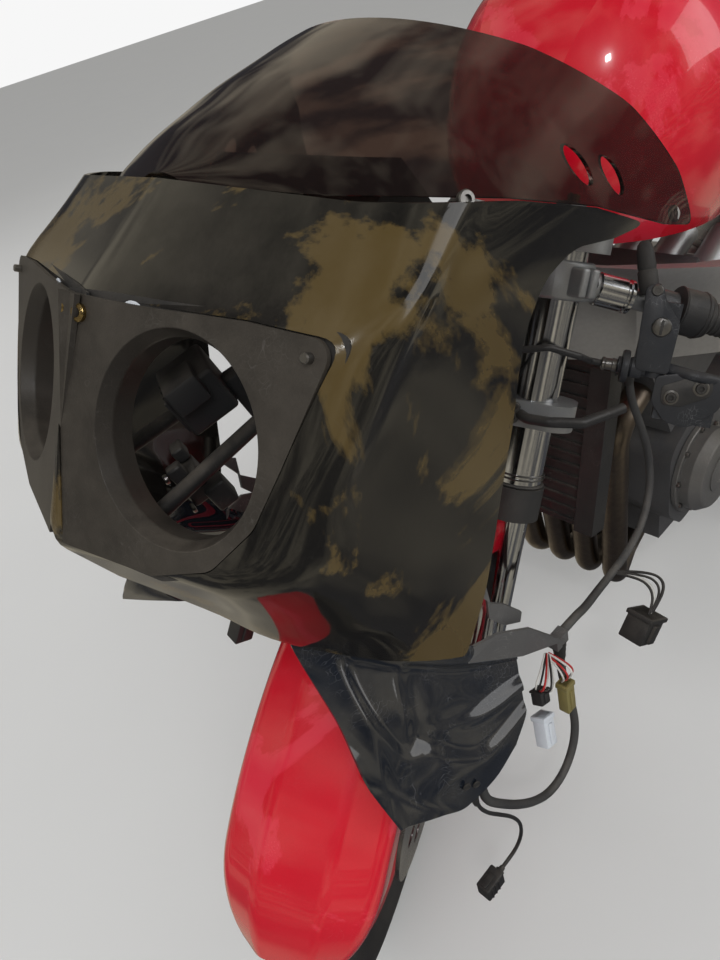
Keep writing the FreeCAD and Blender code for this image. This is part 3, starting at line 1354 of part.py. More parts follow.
# Loose wiring: two stretches of taped harness and a thin lead with its plug
HARNESS_RADIUS = 5.0
LEAD_RADIUS = 2.2
HARNESS_UPPER = [
    HARNESS_TOP, vec(338, 136, 622), vec(324, 143, 572), vec(313, 150, 520),
    vec(322, 158, 470), vec(356, 166, 438), vec(404, 173, 430), vec(454, 180, 438),
    vec(502, 188, 452), vec(548, 199, 470), vec(582, 210, 496), vec(612, 210, 496),
]
HARNESS_LOWER = [
    vec(620, 213, 492), vec(620, 213, 458), vec(616, 211.5, 422), vec(608, 211, 386),
    vec(601, 211, 348), vec(600, 212, 312), vec(610, 213, 278), vec(635, 214, 254),
    vec(668, 216, 258), vec(701, 219, 288), vec(731, 222, 328), vec(758, 225, 372),
    vec(778, 227, 408), vec(784, 228, 434), vec(784, 228, 462),
]
THIN_LEAD = [
    vec(798, 231, 462), vec(798, 231, 434), vec(786, 230, 400), vec(766, 229, 366),
    vec(748, 228, 334), vec(736, 226, 300), vec(735, 223, 268), vec(743, 219, 244),
    vec(758, 216, 234), vec(776, 216, 234),
]


def free_cord(name, points, radius):
    """Hanging cord: straight runs joined by arcs as large as the runs allow."""
    edges = []
    radii = []
    start = points[0]
    for index in range(1, len(points) - 1):
        corner = points[index]
        before = points[index - 1] - corner
        after = points[index + 1] - corner
        reach = 0.45 * min(before.Length, after.Length)
        before.normalize()
        after.normalize()
        half = before.getAngle(after) / 2
        bend = reach * math.tan(half)
        middle = (before + after).normalize()
        centre = corner + middle * (bend / math.sin(half))
        edges.append(Part.makeLine(start, corner + before * reach))
        arc = Part.Arc(corner + before * reach, centre - middle * bend, corner + after * reach)
        edges.append(arc.toShape())
        start = corner + after * reach
        radii.append(round(bend))
    edges.append(Part.makeLine(start, points[-1]))
    path = Part.Wire(edges)
    ring = Part.makeCircle(radius, points[0], points[1] - points[0])
    feature = doc.addObject("Part::Feature", name + "_tube")
    feature.Shape = path.makePipeShell([Part.Wire([ring])], True, False)
    share = feature.Shape.Volume / (math.pi * radius * radius * path.Length)
    print("%s: length %.0f, volume share %.4f, radii %s" % (name, path.Length, share, radii))
    joined(name, [feature])


free_cord("harness_upper", HARNESS_UPPER, HARNESS_RADIUS)
free_cord("harness_lower", HARNESS_LOWER, HARNESS_RADIUS)
free_cord("thin_lead", THIN_LEAD, LEAD_RADIUS)
joined("lead_plug", [block("lead_plug_body", THIN_LEAD[-1] + vec(15, 0, 0), 30, 18, 22)])

# Grey brackets at the cowl's rear edge
BRACKET_EAR = (724, 197, 662)
STUD_X = 714.0
STUD_Z = 652.0
brackets = []
for side, word in SIDES:
    fan = [(COWL_BRACKET[0], COWL_BRACKET[1], COWL_BRACKET[2]),
           (COWL_BRACKET[0], COWL_BRACKET[2], COWL_BRACKET[7]),
           (COWL_BRACKET[7], COWL_BRACKET[2], COWL_BRACKET[3]),
           (COWL_BRACKET[7], COWL_BRACKET[3], COWL_BRACKET[6]),
           (COWL_BRACKET[3], COWL_BRACKET[4], COWL_BRACKET[6]),
           (COWL_BRACKET[4], COWL_BRACKET[5], COWL_BRACKET[6]),
           (COWL_BRACKET[0], BRACKET_EAR, COWL_BRACKET[1])]
    sheet_metal = draped("cowl_bracket_" + word, side, fan, size("bracket_wall"))
    stud_end = inner_half_width(STUD_X, STUD_Z) - size("fit_gap") - 0.3
    stud = rod("bracket_stud_" + word, vec(STUD_X, side * 195, STUD_Z),
               vec(STUD_X, side * stud_end, STUD_Z), "bracket_wall")
    solid = doc.addObject("Part::MultiFuse", "bracket_solid_" + word)
    solid.Shapes = [sheet_metal, stud]
    brackets.append(solid)
joined("cowl_brackets", brackets + strips)

# Stay behind the lamp panel, carried by the head tube, with the instruments on it
STAY_ROOT = 28.0


def stay_point(ahead, across, height):
    """Point of the fixed stay in the straight steering frame."""
    return straight.multVec(vec(ahead, across, height))


def facet_point(side, outward, rise, depth):
    """Point on a lamp facet, behind its face by a depth."""
    return facet_frame(side, depth).multVec(vec(side * outward, rise, 0))


pieces = []
for side, word in SIDES:
    root = stay_point(size("head_tube_radius") - 4, side * 14, 556)
    neck = stay_point(138, side * STAY_ROOT, 566)
    for name, outward, rise in (("upper", 104, 50), ("lower", -60, -80)):
        end = facet_point(side, outward, rise, 30)
        seat_point = facet_point(side, outward, rise, 6 + size("fit_gap"))
        pieces.append(rod("stay_" + name + "_pad_" + word, seat_point, end, "footrest_radius - 4"))
        pieces.append(rod("stay_" + name + "_arm_" + word, neck, end, "footrest_radius - 5"))
    pieces.append(rod("stay_neck_" + word, root, neck, "footrest_radius - 3"))
pieces.append(rod("stay_knot", stay_point(138, -40, 566), stay_point(138, 40, 566),
                  "footrest_radius - 2"))
cluster_turn = FreeCAD.Rotation(vec(0, 1, 0), -58)
cluster_centre = vec(655, 0, 950)
cluster_back = cluster_centre + cluster_turn.multVec(vec(-30 - size("fit_gap") - 0.5, 0, 0))
pieces.append(rod("cluster_post", stay_point(138, 0, 566), cluster_back, "footrest_radius - 4"))
stay = doc.addObject("Part::MultiFuse", "stay_solid")
stay.Shapes = pieces
stay_room = rod("stay_room", axis_point(HEAD_LOW), axis_point(HEAD_HIGH),
                "head_tube_radius + fit_gap")
stay_cut = doc.addObject("Part::Cut", "stay_cut")
stay_cut.Base = stay
stay_cut.Tool = stay_room
joined("cowl_stay", [stay_cut])
cluster = block("cluster_body", cluster_centre, 60, 240, 84, cluster_turn)
joined("instruments", [cluster])

doc.recompute()

# Checks and export
problems = []
for item in doc.Objects:
    if any(state in ("Invalid", "Error") for state in item.State):
        problems.append("%s is %s" % (item.Name, item.State))
for node in nodes:
    shape = node.Shape
    if shape.isNull() or not shape.isValid() or not shape.Solids:
        problems.append("%s has no valid solid" % node.Label)
if problems:
    for problem in problems:
        print(problem)
    raise SystemExit(1)
for node in nodes:
    node.Shape.exportStep("parts/%s.step" % node.Label)
    bounds = node.Shape.BoundBox
    print("%-22s x %7.1f %7.1f  y %7.1f %7.1f  z %7.1f %7.1f  solids %d" % (
        node.Label, bounds.XMin, bounds.XMax, bounds.YMin, bounds.YMax, bounds.ZMin, bounds.ZMax,
        len(node.Shape.Solids)))
print("%d sub-parts" % len(nodes))
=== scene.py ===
"""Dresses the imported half-faired sport motorcycle: finishes, leads, soft seat and fine fittings.

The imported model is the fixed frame. Every piece made here is in metres, in that frame, and rides on
one of its bodies.
"""

from __future__ import annotations

import json
import logging
import math
from dataclasses import dataclass
from enum import Enum
from typing import Callable, Sequence

import bpy
from mathutils import Matrix, Vector

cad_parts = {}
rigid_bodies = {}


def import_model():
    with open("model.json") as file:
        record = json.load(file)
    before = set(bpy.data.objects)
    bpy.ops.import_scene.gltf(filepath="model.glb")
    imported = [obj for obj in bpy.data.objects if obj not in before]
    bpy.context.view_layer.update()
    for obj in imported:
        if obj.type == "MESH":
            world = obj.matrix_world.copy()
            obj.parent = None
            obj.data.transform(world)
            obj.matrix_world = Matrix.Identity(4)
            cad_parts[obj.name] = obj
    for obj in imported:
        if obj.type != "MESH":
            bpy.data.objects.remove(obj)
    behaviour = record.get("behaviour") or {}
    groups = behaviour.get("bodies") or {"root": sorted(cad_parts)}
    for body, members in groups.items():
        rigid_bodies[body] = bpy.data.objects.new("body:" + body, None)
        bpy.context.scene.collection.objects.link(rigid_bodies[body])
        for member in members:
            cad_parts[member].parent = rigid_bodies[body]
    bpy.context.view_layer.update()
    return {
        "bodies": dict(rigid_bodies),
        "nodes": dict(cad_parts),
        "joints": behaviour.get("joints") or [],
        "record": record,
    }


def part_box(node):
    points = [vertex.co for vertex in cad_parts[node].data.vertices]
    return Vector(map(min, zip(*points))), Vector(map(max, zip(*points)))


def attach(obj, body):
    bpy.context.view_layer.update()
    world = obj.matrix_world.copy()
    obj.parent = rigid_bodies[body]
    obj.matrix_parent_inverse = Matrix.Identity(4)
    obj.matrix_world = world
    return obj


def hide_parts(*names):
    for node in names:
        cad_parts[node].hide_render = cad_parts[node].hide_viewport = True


LOG = logging.getLogger("motorcycle")
Point = tuple[float, float, float]
Colour = tuple[float, float, float]
Flat = tuple[float, float]
Piece = bpy.types.Object
Socket = bpy.types.NodeSocket


class Body(str, Enum):
    """Bodies of the machine that pieces ride on."""

    CHASSIS = "chassis"
    STEERING = "steering"
    FRONT_WHEEL = "front_wheel"
    REAR_WHEEL = "rear_wheel"


class Side(Enum):
    """Left and right of the rider, as the sign of the Y axis."""

    LEFT = 1
    RIGHT = -1

    @property
    def word(self) -> str:
        """The side's name, as pieces' names end with it."""
        return self.name.lower()


@dataclass(frozen=True)
class SteeringFrame:
    """The steering's own axes at rest: x ahead of the stem, y to the left fork leg, z up the stem."""

    axle_x: float = 0.7525
    axle_z: float = 0.3
    rake: float = math.radians(27.0)
    offset: float = 0.042
    turn: float = math.radians(27.5)

    def matrix(self) -> Matrix:
        """Matrix from the steering's axes to the row frame.

        Returns:
            The matrix.
        """
        ahead = Vector((math.cos(self.rake), 0, math.sin(self.rake)))
        along = Vector((-math.sin(self.rake), 0, math.cos(self.rake)))
        foot = Vector((self.axle_x, 0, self.axle_z)) - ahead * self.offset
        c, s = math.cos(self.turn), math.sin(self.turn)
        left = Vector((0, 1, 0))
        axes = (ahead * c + left * s, left * c - ahead * s, along)
        return Matrix([[*(axis[row] for axis in axes), foot[row]] for row in range(3)] + [[0, 0, 0, 1]])

    def at(self, x: float, y: float, z: float) -> Vector:
        """Row-frame point of a point given along the steering's axes."""
        return self.matrix() @ Vector((x, y, z))

    def way(self, x: float, y: float, z: float) -> Vector:
        """Row-frame direction of one given along the steering's axes."""
        return self.matrix().to_3x3() @ Vector((x, y, z))


STEERING = SteeringFrame()


@dataclass(frozen=True)
class LampFacet:
    """One flat face of the lamp panel: x outward, y up its slope, z out of it."""

    side: Side
    centre: Point = (0.889, 0.11, 0.898)
    lean: float = math.radians(30.2)
    vee: float = math.radians(15.1)

    def matrix(self) -> Matrix:
        """Matrix from the facet's axes to the row frame.

        Returns:
            The matrix.
        """
        sign = self.side.value
        normal = Vector((math.cos(self.lean) * math.cos(self.vee),
                         sign * math.cos(self.lean) * math.sin(self.vee), math.sin(self.lean)))
        outward = Vector((-math.sin(self.vee), sign * math.cos(self.vee), 0))
        rise = normal.cross(outward) * sign
        centre = Vector((self.centre[0], sign * self.centre[1], self.centre[2]))
        axes = (outward, rise, normal)
        return Matrix([[*(axis[row] for axis in axes), centre[row]] for row in range(3)] + [[0, 0, 0, 1]])

    def mirrored(self) -> Matrix:
        """Matrix of the facet's plane with its x to the machine's left on both sides."""
        return self.matrix() @ Matrix.Diagonal((self.side.value, 1, 1, 1))

    def at(self, outward: float, rise: float, proud: float) -> Vector:
        """Row-frame point of a point given along the facet's axes."""
        return self.matrix() @ Vector((outward, rise, proud))


class Wiring:
    """Adds nodes to one node tree and joins them."""

    def __init__(self, tree: bpy.types.NodeTree) -> None:
        """Keep the tree that nodes go into.

        Args:
            tree: A material's or a group's node tree.
        """
        self.tree = tree

    def add(self, kind: str, inputs: dict[str | int, object] | None = None,
            **settings: object) -> bpy.types.Node:
        """Add one node and fill its settings and sockets.

        Args:
            kind: Blender's node type.
            inputs: Socket values, or sockets of other nodes to join to it.
            settings: Properties of the node.

        Returns:
            The new node.
        """
        node = self.tree.nodes.new(kind)
        for name, value in settings.items():
            setattr(node, name, value)
        for key, value in (inputs or {}).items():
            socket = node.inputs[key]
            if isinstance(value, Socket):
                self.tree.links.new(value, socket)
            else:
                socket.default_value = value
        return node

    def noise(self, vector: object, scale: float, detail: float = 4.0, rough: float = 0.55) -> Socket:
        """Noise value at a point, as a socket.

        Args:
            vector: Socket with the place.
            scale: Cells per metre.
            detail: Layers of finer noise.
            rough: Strength of the finer layers.

        Returns:
            The value's socket.
        """
        values = {"Vector": vector, "Scale": scale, "Detail": detail, "Roughness": rough}
        return self.add("ShaderNodeTexNoise", values).outputs[0]

    def spread(self, value: object, low: float, high: float, out_low: float = 0.0,
               out_high: float = 1.0) -> Socket:
        """Map a value from one range to another, held inside it."""
        return self.add("ShaderNodeMapRange",
                        {0: value, 1: low, 2: high, 3: out_low, 4: out_high}).outputs[0]

    def maths(self, operation: str, *values: object) -> Socket:
        """One sum of a Math node."""
        return self.add("ShaderNodeMath", dict(enumerate(values)), operation=operation).outputs[0]

    def blend(self, share: object, first: object, second: object) -> Socket:
        """Mix two colours by a share.

        Args:
            share: How much of the second colour shows.
            first: Colour or socket.
            second: Colour or socket.

        Returns:
            The mixed colour's socket.
        """
        node = self.add("ShaderNodeMix", data_type="RGBA")
        for index, value in ((0, share), (6, first), (7, second)):
            if isinstance(value, Socket):
                self.tree.links.new(value, node.inputs[index])
            elif index == 0:
                node.inputs[index].default_value = value
            else:
                node.inputs[index].default_value = (*value[:3], 1.0)
        return node.outputs[2]


class EffectBook:
    """Shader node groups that several finishes share."""

    def __init__(self) -> None:
        """Build every effect once."""
        self.mottle = self._group("mottle", {"Vector": "Vector", "Scale": "Float"}, self._fill_mottle)
        self.scratches = self._group("scratches", {"Vector": "Vector", "Scale": "Float"},
                                     self._fill_scratches)
        self.dust = self._group("settled_dust", {"Vector": "Vector", "Scale": "Float"}, self._fill_dust)
        # Ragged patches of painted reflection, tinted by each gloss finish.
        self.patch = self._group("ragged_patch", {"Vector": "Vector", "Scale": "Float"}, self._fill_patch)

    @staticmethod
    def _group(name: str, inputs: dict[str, str],
               fill: Callable[[Wiring, bpy.types.Node], tuple]) -> bpy.types.NodeTree:
        """Make one group with a mask and a height.

        Args:
            name: The group's name.
            inputs: Its input sockets and their kinds.
            fill: Adds the nodes and returns the mask and height sockets.

        Returns:
            The node group.
        """
        tree = bpy.data.node_groups.new(name, "ShaderNodeTree")
        for socket, kind in inputs.items():
            tree.interface.new_socket(name=socket, in_out="INPUT", socket_type="NodeSocket" + kind)
        tree.interface.new_socket(name="Mask", in_out="OUTPUT", socket_type="NodeSocketFloat")
        tree.interface.new_socket(name="Height", in_out="OUTPUT", socket_type="NodeSocketFloat")
        wiring = Wiring(tree)
        given = wiring.add("NodeGroupInput")
        mask, height = fill(wiring, given)
        wiring.add("NodeGroupOutput", {"Mask": mask, "Height": height})
        return tree

    @staticmethod
    def _fill_mottle(wiring: Wiring, given: bpy.types.Node) -> tuple:
        """Broad cloudy colour change, with a fine grain as height.

        Args:
            wiring: The group's wiring.
            given: The group's input node.

        Returns:
            The mask's and the height's sockets.
        """
        broad = wiring.add("ShaderNodeTexNoise",
                           {"Vector": given.outputs["Vector"], "Scale": 9.0, "Detail": 5.0})
        fine = wiring.add("ShaderNodeTexNoise", {"Vector": given.outputs["Vector"],
                                                 "Scale": given.outputs["Scale"], "Detail": 3.0})
        mask = wiring.spread(wiring.maths("ADD", wiring.maths("MULTIPLY", broad.outputs[0], 0.7),
                                          wiring.maths("MULTIPLY", fine.outputs[0], 0.3)), 0.36, 0.64)
        return mask, fine.outputs[0]

    @staticmethod
    def _fill_scratches(wiring: Wiring, given: bpy.types.Node) -> tuple:
        """Thin broken lines, as handling leaves on paint and metal.

        Args:
            wiring: The group's wiring.
            given: The group's input node.

        Returns:
            The mask's and the height's sockets.
        """
        bend = wiring.add("ShaderNodeTexNoise",
                          {"Vector": given.outputs["Vector"], "Scale": 14.0, "Detail": 2.0})
        moved = wiring.add("ShaderNodeVectorMath", {0: given.outputs["Vector"], 1: bend.outputs[1]},
                           operation="ADD")
        lines = wiring.add("ShaderNodeTexVoronoi",
                           {"Vector": moved.outputs[0], "Scale": given.outputs["Scale"]},
                           feature="DISTANCE_TO_EDGE")
        thin = wiring.spread(lines.outputs[0], 0.0, 0.022, 1.0, 0.0)
        breaks = wiring.spread(wiring.noise(given.outputs["Vector"], 31.0), 0.5, 0.62)
        mask = wiring.maths("MULTIPLY", thin, breaks)
        return mask, mask

    @staticmethod
    def _fill_dust(wiring: Wiring, given: bpy.types.Node) -> tuple:
        """Dust that has settled on what faces up, in uneven drifts.

        Args:
            wiring: The group's wiring.
            given: The group's input node.

        Returns:
            The mask's and the height's sockets.
        """
        facing = wiring.add("ShaderNodeSeparateXYZ",
                            {0: wiring.add("ShaderNodeNewGeometry").outputs["Normal"]})
        upward = wiring.spread(facing.outputs[2], 0.15, 0.95)
        drift = wiring.add("ShaderNodeTexNoise", {"Vector": given.outputs["Vector"],
                                                  "Scale": given.outputs["Scale"], "Detail": 8.0,
                                                  "Roughness": 0.7})
        uneven = wiring.spread(drift.outputs[0], 0.38, 0.72)
        mask = wiring.maths("MULTIPLY", upward, uneven)
        return mask, mask

    @staticmethod
    def _fill_patch(wiring: Wiring, given: bpy.types.Node) -> tuple:
        """Ragged areas with torn outlines: patches of painted reflection on gloss paint.

        Args:
            wiring: The group's wiring.
            given: The group's input node.

        Returns:
            The mask's and the height's sockets.
        """
        torn = wiring.add("ShaderNodeTexNoise", {"Vector": given.outputs["Vector"],
                                                 "Scale": given.outputs["Scale"], "Detail": 9.0,
                                                 "Roughness": 0.62, "Distortion": 0.8})
        mask = wiring.spread(torn.outputs[0], 0.535, 0.56)
        return mask, mask


@dataclass(frozen=True)
class Finish:
    """One finish: its colours, gloss, grain, scratches, dust and patches of painted reflection."""

    name: str
    base: Colour
    second: Colour
    rough: tuple[float, float] = (0.3, 0.5)
    metallic: float = 0.0
    coat: float = 0.0
    coat_rough: float = 0.03
    grain: float = 120.0
    bump: float = 0.05
    stretch: Point = (1.0, 1.0, 1.0)
    scratch: float = 0.0
    scratch_colour: Colour = (0.45, 0.45, 0.45)
    dust: float = 0.0
    # Amount, size and tint of the patches of painted reflection.
    dust_colour: Colour = (0.36, 0.31, 0.25)
    patch: float = 0.0
    patch_scale: float = 5.0
    patch_colour: Colour = (0.1, 0.08, 0.05)
    transmission: float = 0.0
    ior: float = 1.5

    def build(self, effects: EffectBook) -> bpy.types.Material:
        """Make the material of this finish.

        Args:
            effects: The shared node groups.

        Returns:
            The new material.
        """
        material = bpy.data.materials.new(self.name)
        material.use_nodes = True
        wiring = Wiring(material.node_tree)
        shader = material.node_tree.nodes["Principled BSDF"]
        place = wiring.add("ShaderNodeTexCoord").outputs["Object"]
        if self.stretch != (1.0, 1.0, 1.0):
            place = wiring.add("ShaderNodeMapping", {"Vector": place, "Scale": self.stretch}).outputs[0]
        mottle = wiring.add("ShaderNodeGroup", node_tree=effects.mottle)
        wiring.tree.links.new(place, mottle.inputs["Vector"])
        mottle.inputs["Scale"].default_value = self.grain
        colour = wiring.blend(mottle.outputs["Mask"], self.base, self.second)
        rough = wiring.spread(mottle.outputs["Mask"], 0.0, 1.0, *self.rough)
        # The first row paints patches of reflection into the colour; scratches and dust are the finish's own
        # marks.
        for amount, group, scale, tint, gloss in (
            (self.patch, effects.patch, self.patch_scale, self.patch_colour, 0.12),
            (self.scratch, effects.scratches, 26.0, self.scratch_colour, 0.15),
            (self.dust, effects.dust, 16.0, self.dust_colour, 0.45),
        ):
            if amount <= 0:
                continue
            effect = wiring.add("ShaderNodeGroup", node_tree=group)
            wiring.tree.links.new(place, effect.inputs["Vector"])
            effect.inputs["Scale"].default_value = scale
            share = wiring.maths("MULTIPLY", effect.outputs["Mask"], amount)
            colour = wiring.blend(share, colour, tint)
            rough = wiring.maths("ADD", rough, wiring.maths("MULTIPLY", share, gloss))
        bump = wiring.add("ShaderNodeBump", {"Strength": min(1.0, self.bump), "Distance": 0.001,
                                             "Height": mottle.outputs["Height"]})
        wiring.tree.links.new(colour, shader.inputs["Base Color"])
        wiring.tree.links.new(rough, shader.inputs["Roughness"])
        if self.bump > 0:
            wiring.tree.links.new(bump.outputs[0], shader.inputs["Normal"])
        shader.inputs["Metallic"].default_value = self.metallic
        shader.inputs["Coat Weight"].default_value = self.coat
        shader.inputs["Coat Roughness"].default_value = self.coat_rough
        shader.inputs["Transmission Weight"].default_value = self.transmission
        shader.inputs["IOR"].default_value = self.ior
        return material


FINISHES = (
    # The gold-brown patches on the black gloss are a painted reflection.
    Finish("black_gloss", (0.006, 0.0055, 0.005), (0.011, 0.01, 0.008), (0.05, 0.1), coat=0.25,
           grain=300.0, bump=0.0, scratch=0.1, scratch_colour=(0.1, 0.09, 0.08), dust=0.05,
           patch=0.9, patch_scale=3.4, patch_colour=(0.082, 0.055, 0.018)),
    Finish("duct_gloss", (0.006, 0.008, 0.012), (0.01, 0.013, 0.019), (0.05, 0.11), coat=0.5,
           grain=300.0, bump=0.0, scratch=0.35, scratch_colour=(0.2, 0.2, 0.21), dust=0.1),
    Finish("panel_satin", (0.022, 0.019, 0.016), (0.034, 0.029, 0.024), (0.32, 0.44), grain=700.0,
           bump=0.16, scratch=0.2, scratch_colour=(0.16, 0.15, 0.14), dust=0.16),
    Finish("smoked_screen", (0.13, 0.085, 0.075), (0.11, 0.07, 0.062), (0.02, 0.05), grain=200.0, bump=0.0,
           transmission=0.94, ior=1.49, scratch=0.06),
    # The lighter red patches on the red paint are a painted sheen.
    Finish("red_paint", (0.52, 0.004, 0.016), (0.58, 0.006, 0.02), (0.16, 0.22), coat=0.9,
           grain=500.0, bump=0.0, scratch=0.05, dust=0.03, patch=0.45, patch_scale=7.0,
           patch_colour=(0.72, 0.035, 0.07)),
    Finish("red_rim", (0.42, 0.01, 0.024), (0.5, 0.016, 0.032), (0.25, 0.35), coat=0.5, grain=400.0,
           bump=0.05, scratch=0.25, scratch_colour=(0.3, 0.22, 0.2), dust=0.25),
    Finish("polished_tube", (0.62, 0.63, 0.65), (0.52, 0.53, 0.55), (0.1, 0.2), metallic=1.0,
           grain=160.0, bump=0.04, stretch=(1.0, 1.0, 0.2), scratch=0.25, scratch_colour=(0.3, 0.3, 0.3)),
    Finish("chrome_slider", (0.66, 0.68, 0.7), (0.58, 0.6, 0.62), (0.06, 0.14), metallic=1.0,
           grain=200.0, bump=0.02, scratch=0.1),
    Finish("cast_alloy", (0.48, 0.49, 0.5), (0.38, 0.39, 0.4), (0.34, 0.5), metallic=0.85,
           grain=900.0, bump=0.22, scratch=0.15, dust=0.18),
    Finish("frame_alloy", (0.56, 0.56, 0.57), (0.46, 0.46, 0.47), (0.3, 0.42), metallic=0.9,
           grain=260.0, bump=0.12, stretch=(0.25, 1.0, 1.0), scratch=0.25, dust=0.22),
    Finish("engine_alloy", (0.17, 0.17, 0.175), (0.12, 0.12, 0.125), (0.42, 0.6), metallic=0.7,
           grain=700.0, bump=0.3, scratch=0.2, dust=0.35),
    Finish("cover_grey", (0.17, 0.165, 0.16), (0.13, 0.127, 0.12), (0.32, 0.46), metallic=0.55,
           grain=500.0, bump=0.15, scratch=0.35, dust=0.25),
    Finish("brake_grey", (0.13, 0.13, 0.135), (0.1, 0.1, 0.105), (0.38, 0.52), metallic=0.4,
           grain=900.0, bump=0.25, scratch=0.3, dust=0.25),
    Finish("black_rubber", (0.018, 0.018, 0.019), (0.028, 0.027, 0.026), (0.5, 0.68), grain=600.0,
           bump=0.3, dust=0.22),
    Finish("black_alloy", (0.022, 0.024, 0.028), (0.034, 0.036, 0.041), (0.26, 0.38), metallic=0.3,
           grain=700.0, bump=0.12, scratch=0.45, scratch_colour=(0.42, 0.42, 0.43), dust=0.12),
    Finish("black_steel", (0.014, 0.014, 0.015), (0.024, 0.023, 0.022), (0.32, 0.5), grain=500.0,
           bump=0.2, scratch=0.3, scratch_colour=(0.2, 0.18, 0.16), dust=0.25),
    Finish("black_plastic", (0.014, 0.014, 0.015), (0.022, 0.022, 0.023), (0.42, 0.55), grain=1100.0,
           bump=0.3, scratch=0.2, scratch_colour=(0.12, 0.12, 0.12), dust=0.22),
    Finish("grey_bracket", (0.085, 0.085, 0.088), (0.12, 0.118, 0.115), (0.38, 0.5), metallic=0.3,
           grain=800.0, bump=0.2, scratch=0.4, dust=0.3),
    Finish("plain_steel", (0.36, 0.355, 0.35), (0.26, 0.255, 0.25), (0.25, 0.42), metallic=1.0,
           grain=420.0, bump=0.1, scratch=0.2, dust=0.15),
    Finish("disc_steel", (0.46, 0.46, 0.465), (0.38, 0.38, 0.385), (0.2, 0.34), metallic=1.0,
           grain=1500.0, bump=0.12, scratch=0.35, scratch_colour=(0.25, 0.25, 0.25)),
    Finish("header_steel", (0.22, 0.18, 0.14), (0.13, 0.11, 0.1), (0.3, 0.5), metallic=1.0,
           grain=120.0, bump=0.15, scratch=0.2, dust=0.2),
    Finish("brushed_can", (0.47, 0.47, 0.48), (0.4, 0.4, 0.41), (0.24, 0.34), metallic=1.0,
           grain=420.0, bump=0.16, stretch=(6.0, 0.25, 0.25), scratch=0.2, dust=0.1),
    Finish("brass", (0.4, 0.29, 0.12), (0.3, 0.21, 0.09), (0.25, 0.4), metallic=1.0, grain=900.0,
           bump=0.1),
    Finish("tyre", (0.018, 0.018, 0.019), (0.032, 0.03, 0.028), (0.62, 0.8), grain=500.0, bump=0.4,
           dust=0.35),
    # Near-black finish for the tread strips: painted shade of the grooves.
    Finish("groove_black", (0.004, 0.004, 0.004), (0.007, 0.007, 0.006), (0.75, 0.9), grain=400.0, bump=0.2),
    Finish("seat_vinyl", (0.016, 0.016, 0.017), (0.024, 0.023, 0.023), (0.42, 0.55), grain=1300.0,
           bump=0.5, dust=0.15),
    Finish("lamp_red", (0.42, 0.006, 0.012), (0.36, 0.005, 0.01), (0.08, 0.14), coat=0.5, grain=300.0,
           bump=0.02, scratch=0.1),
    Finish("cable_sheath", (0.012, 0.012, 0.013), (0.022, 0.022, 0.023), (0.3, 0.42), grain=900.0,
           bump=0.1, dust=0.12),
    Finish("loom_tape", (0.03, 0.03, 0.032), (0.055, 0.054, 0.053), (0.5, 0.66), grain=700.0, bump=0.4,
           dust=0.3),
    Finish("grey_hose", (0.075, 0.073, 0.071), (0.1, 0.098, 0.095), (0.45, 0.6), grain=800.0,
           bump=0.3, dust=0.3),
    Finish("wire_white", (0.62, 0.61, 0.58), (0.55, 0.54, 0.51), (0.35, 0.45), grain=900.0, bump=0.05,
           dust=0.2),
    Finish("wire_red", (0.42, 0.02, 0.02), (0.36, 0.02, 0.02), (0.35, 0.45), grain=900.0, bump=0.05),
    Finish("wire_blue", (0.05, 0.16, 0.36), (0.05, 0.13, 0.3), (0.35, 0.45), grain=900.0, bump=0.05),
    Finish("wire_olive", (0.2, 0.17, 0.06), (0.17, 0.14, 0.05), (0.35, 0.45), grain=900.0, bump=0.05),
    Finish("plug_white", (0.55, 0.58, 0.62), (0.48, 0.51, 0.55), (0.35, 0.45), grain=900.0, bump=0.08,
           dust=0.25),
    Finish("dial_face", (0.015, 0.015, 0.016), (0.02, 0.02, 0.021), (0.4, 0.5), grain=900.0, bump=0.05),
    Finish("clear_lens", (0.9, 0.9, 0.9), (0.86, 0.86, 0.86), (0.02, 0.05), grain=300.0, bump=0.0,
           transmission=1.0, ior=1.45),
)

NODE_FINISHES = {
    "polished_tube": ("fork_outer_tubes",),
    "chrome_slider": ("fork_sliders",),
    "black_rubber": ("fork_seal_collars", "grips"),
    "cast_alloy": ("lower_yoke", "top_yoke", "clip_on_bars", "carburettors"),
    "brake_grey": ("front_calipers", "rear_caliper"),
    "red_paint": ("front_mudguard", "fuel_tank", "tail_cowl"),
    "plain_steel": ("front_axle", "rear_sprocket", "drive_chain", "axle_and_pivots"),
    "black_alloy": ("clutch_lever", "brake_lever", "footrests", "tank_cap"),
    "black_plastic": ("switch_housings", "rear_mudguard", "instruments", "lead_plug"),
    "tyre": ("front_tyre", "rear_tyre"),
    "red_rim": ("front_rim", "rear_rim"),
    "disc_steel": ("front_discs", "rear_disc"),
    "frame_alloy": ("frame", "swingarm"),
    "black_steel": ("seat_subframe", "radiator", "rear_shock", "centre_stand", "side_stand",
                    "cowl_stay"),
    "engine_alloy": ("crankcase", "cylinder_block", "cylinder_head"),
    "cover_grey": ("engine_covers",),
    "header_steel": ("exhaust_pipes",),
    "brushed_can": ("silencer",),
    "seat_vinyl": ("seat",),
    "lamp_red": ("rear_lamp",),
    "panel_satin": ("lamp_panel",),
    "black_gloss": ("fairing_cowl",),
    "smoked_screen": ("windscreen",),
    "duct_gloss": ("lower_ducts",),
    "cable_sheath": ("control_cables", "thin_lead"),
    "loom_tape": ("harness_upper", "harness_lower"),
    "grey_bracket": ("cowl_brackets",),
}


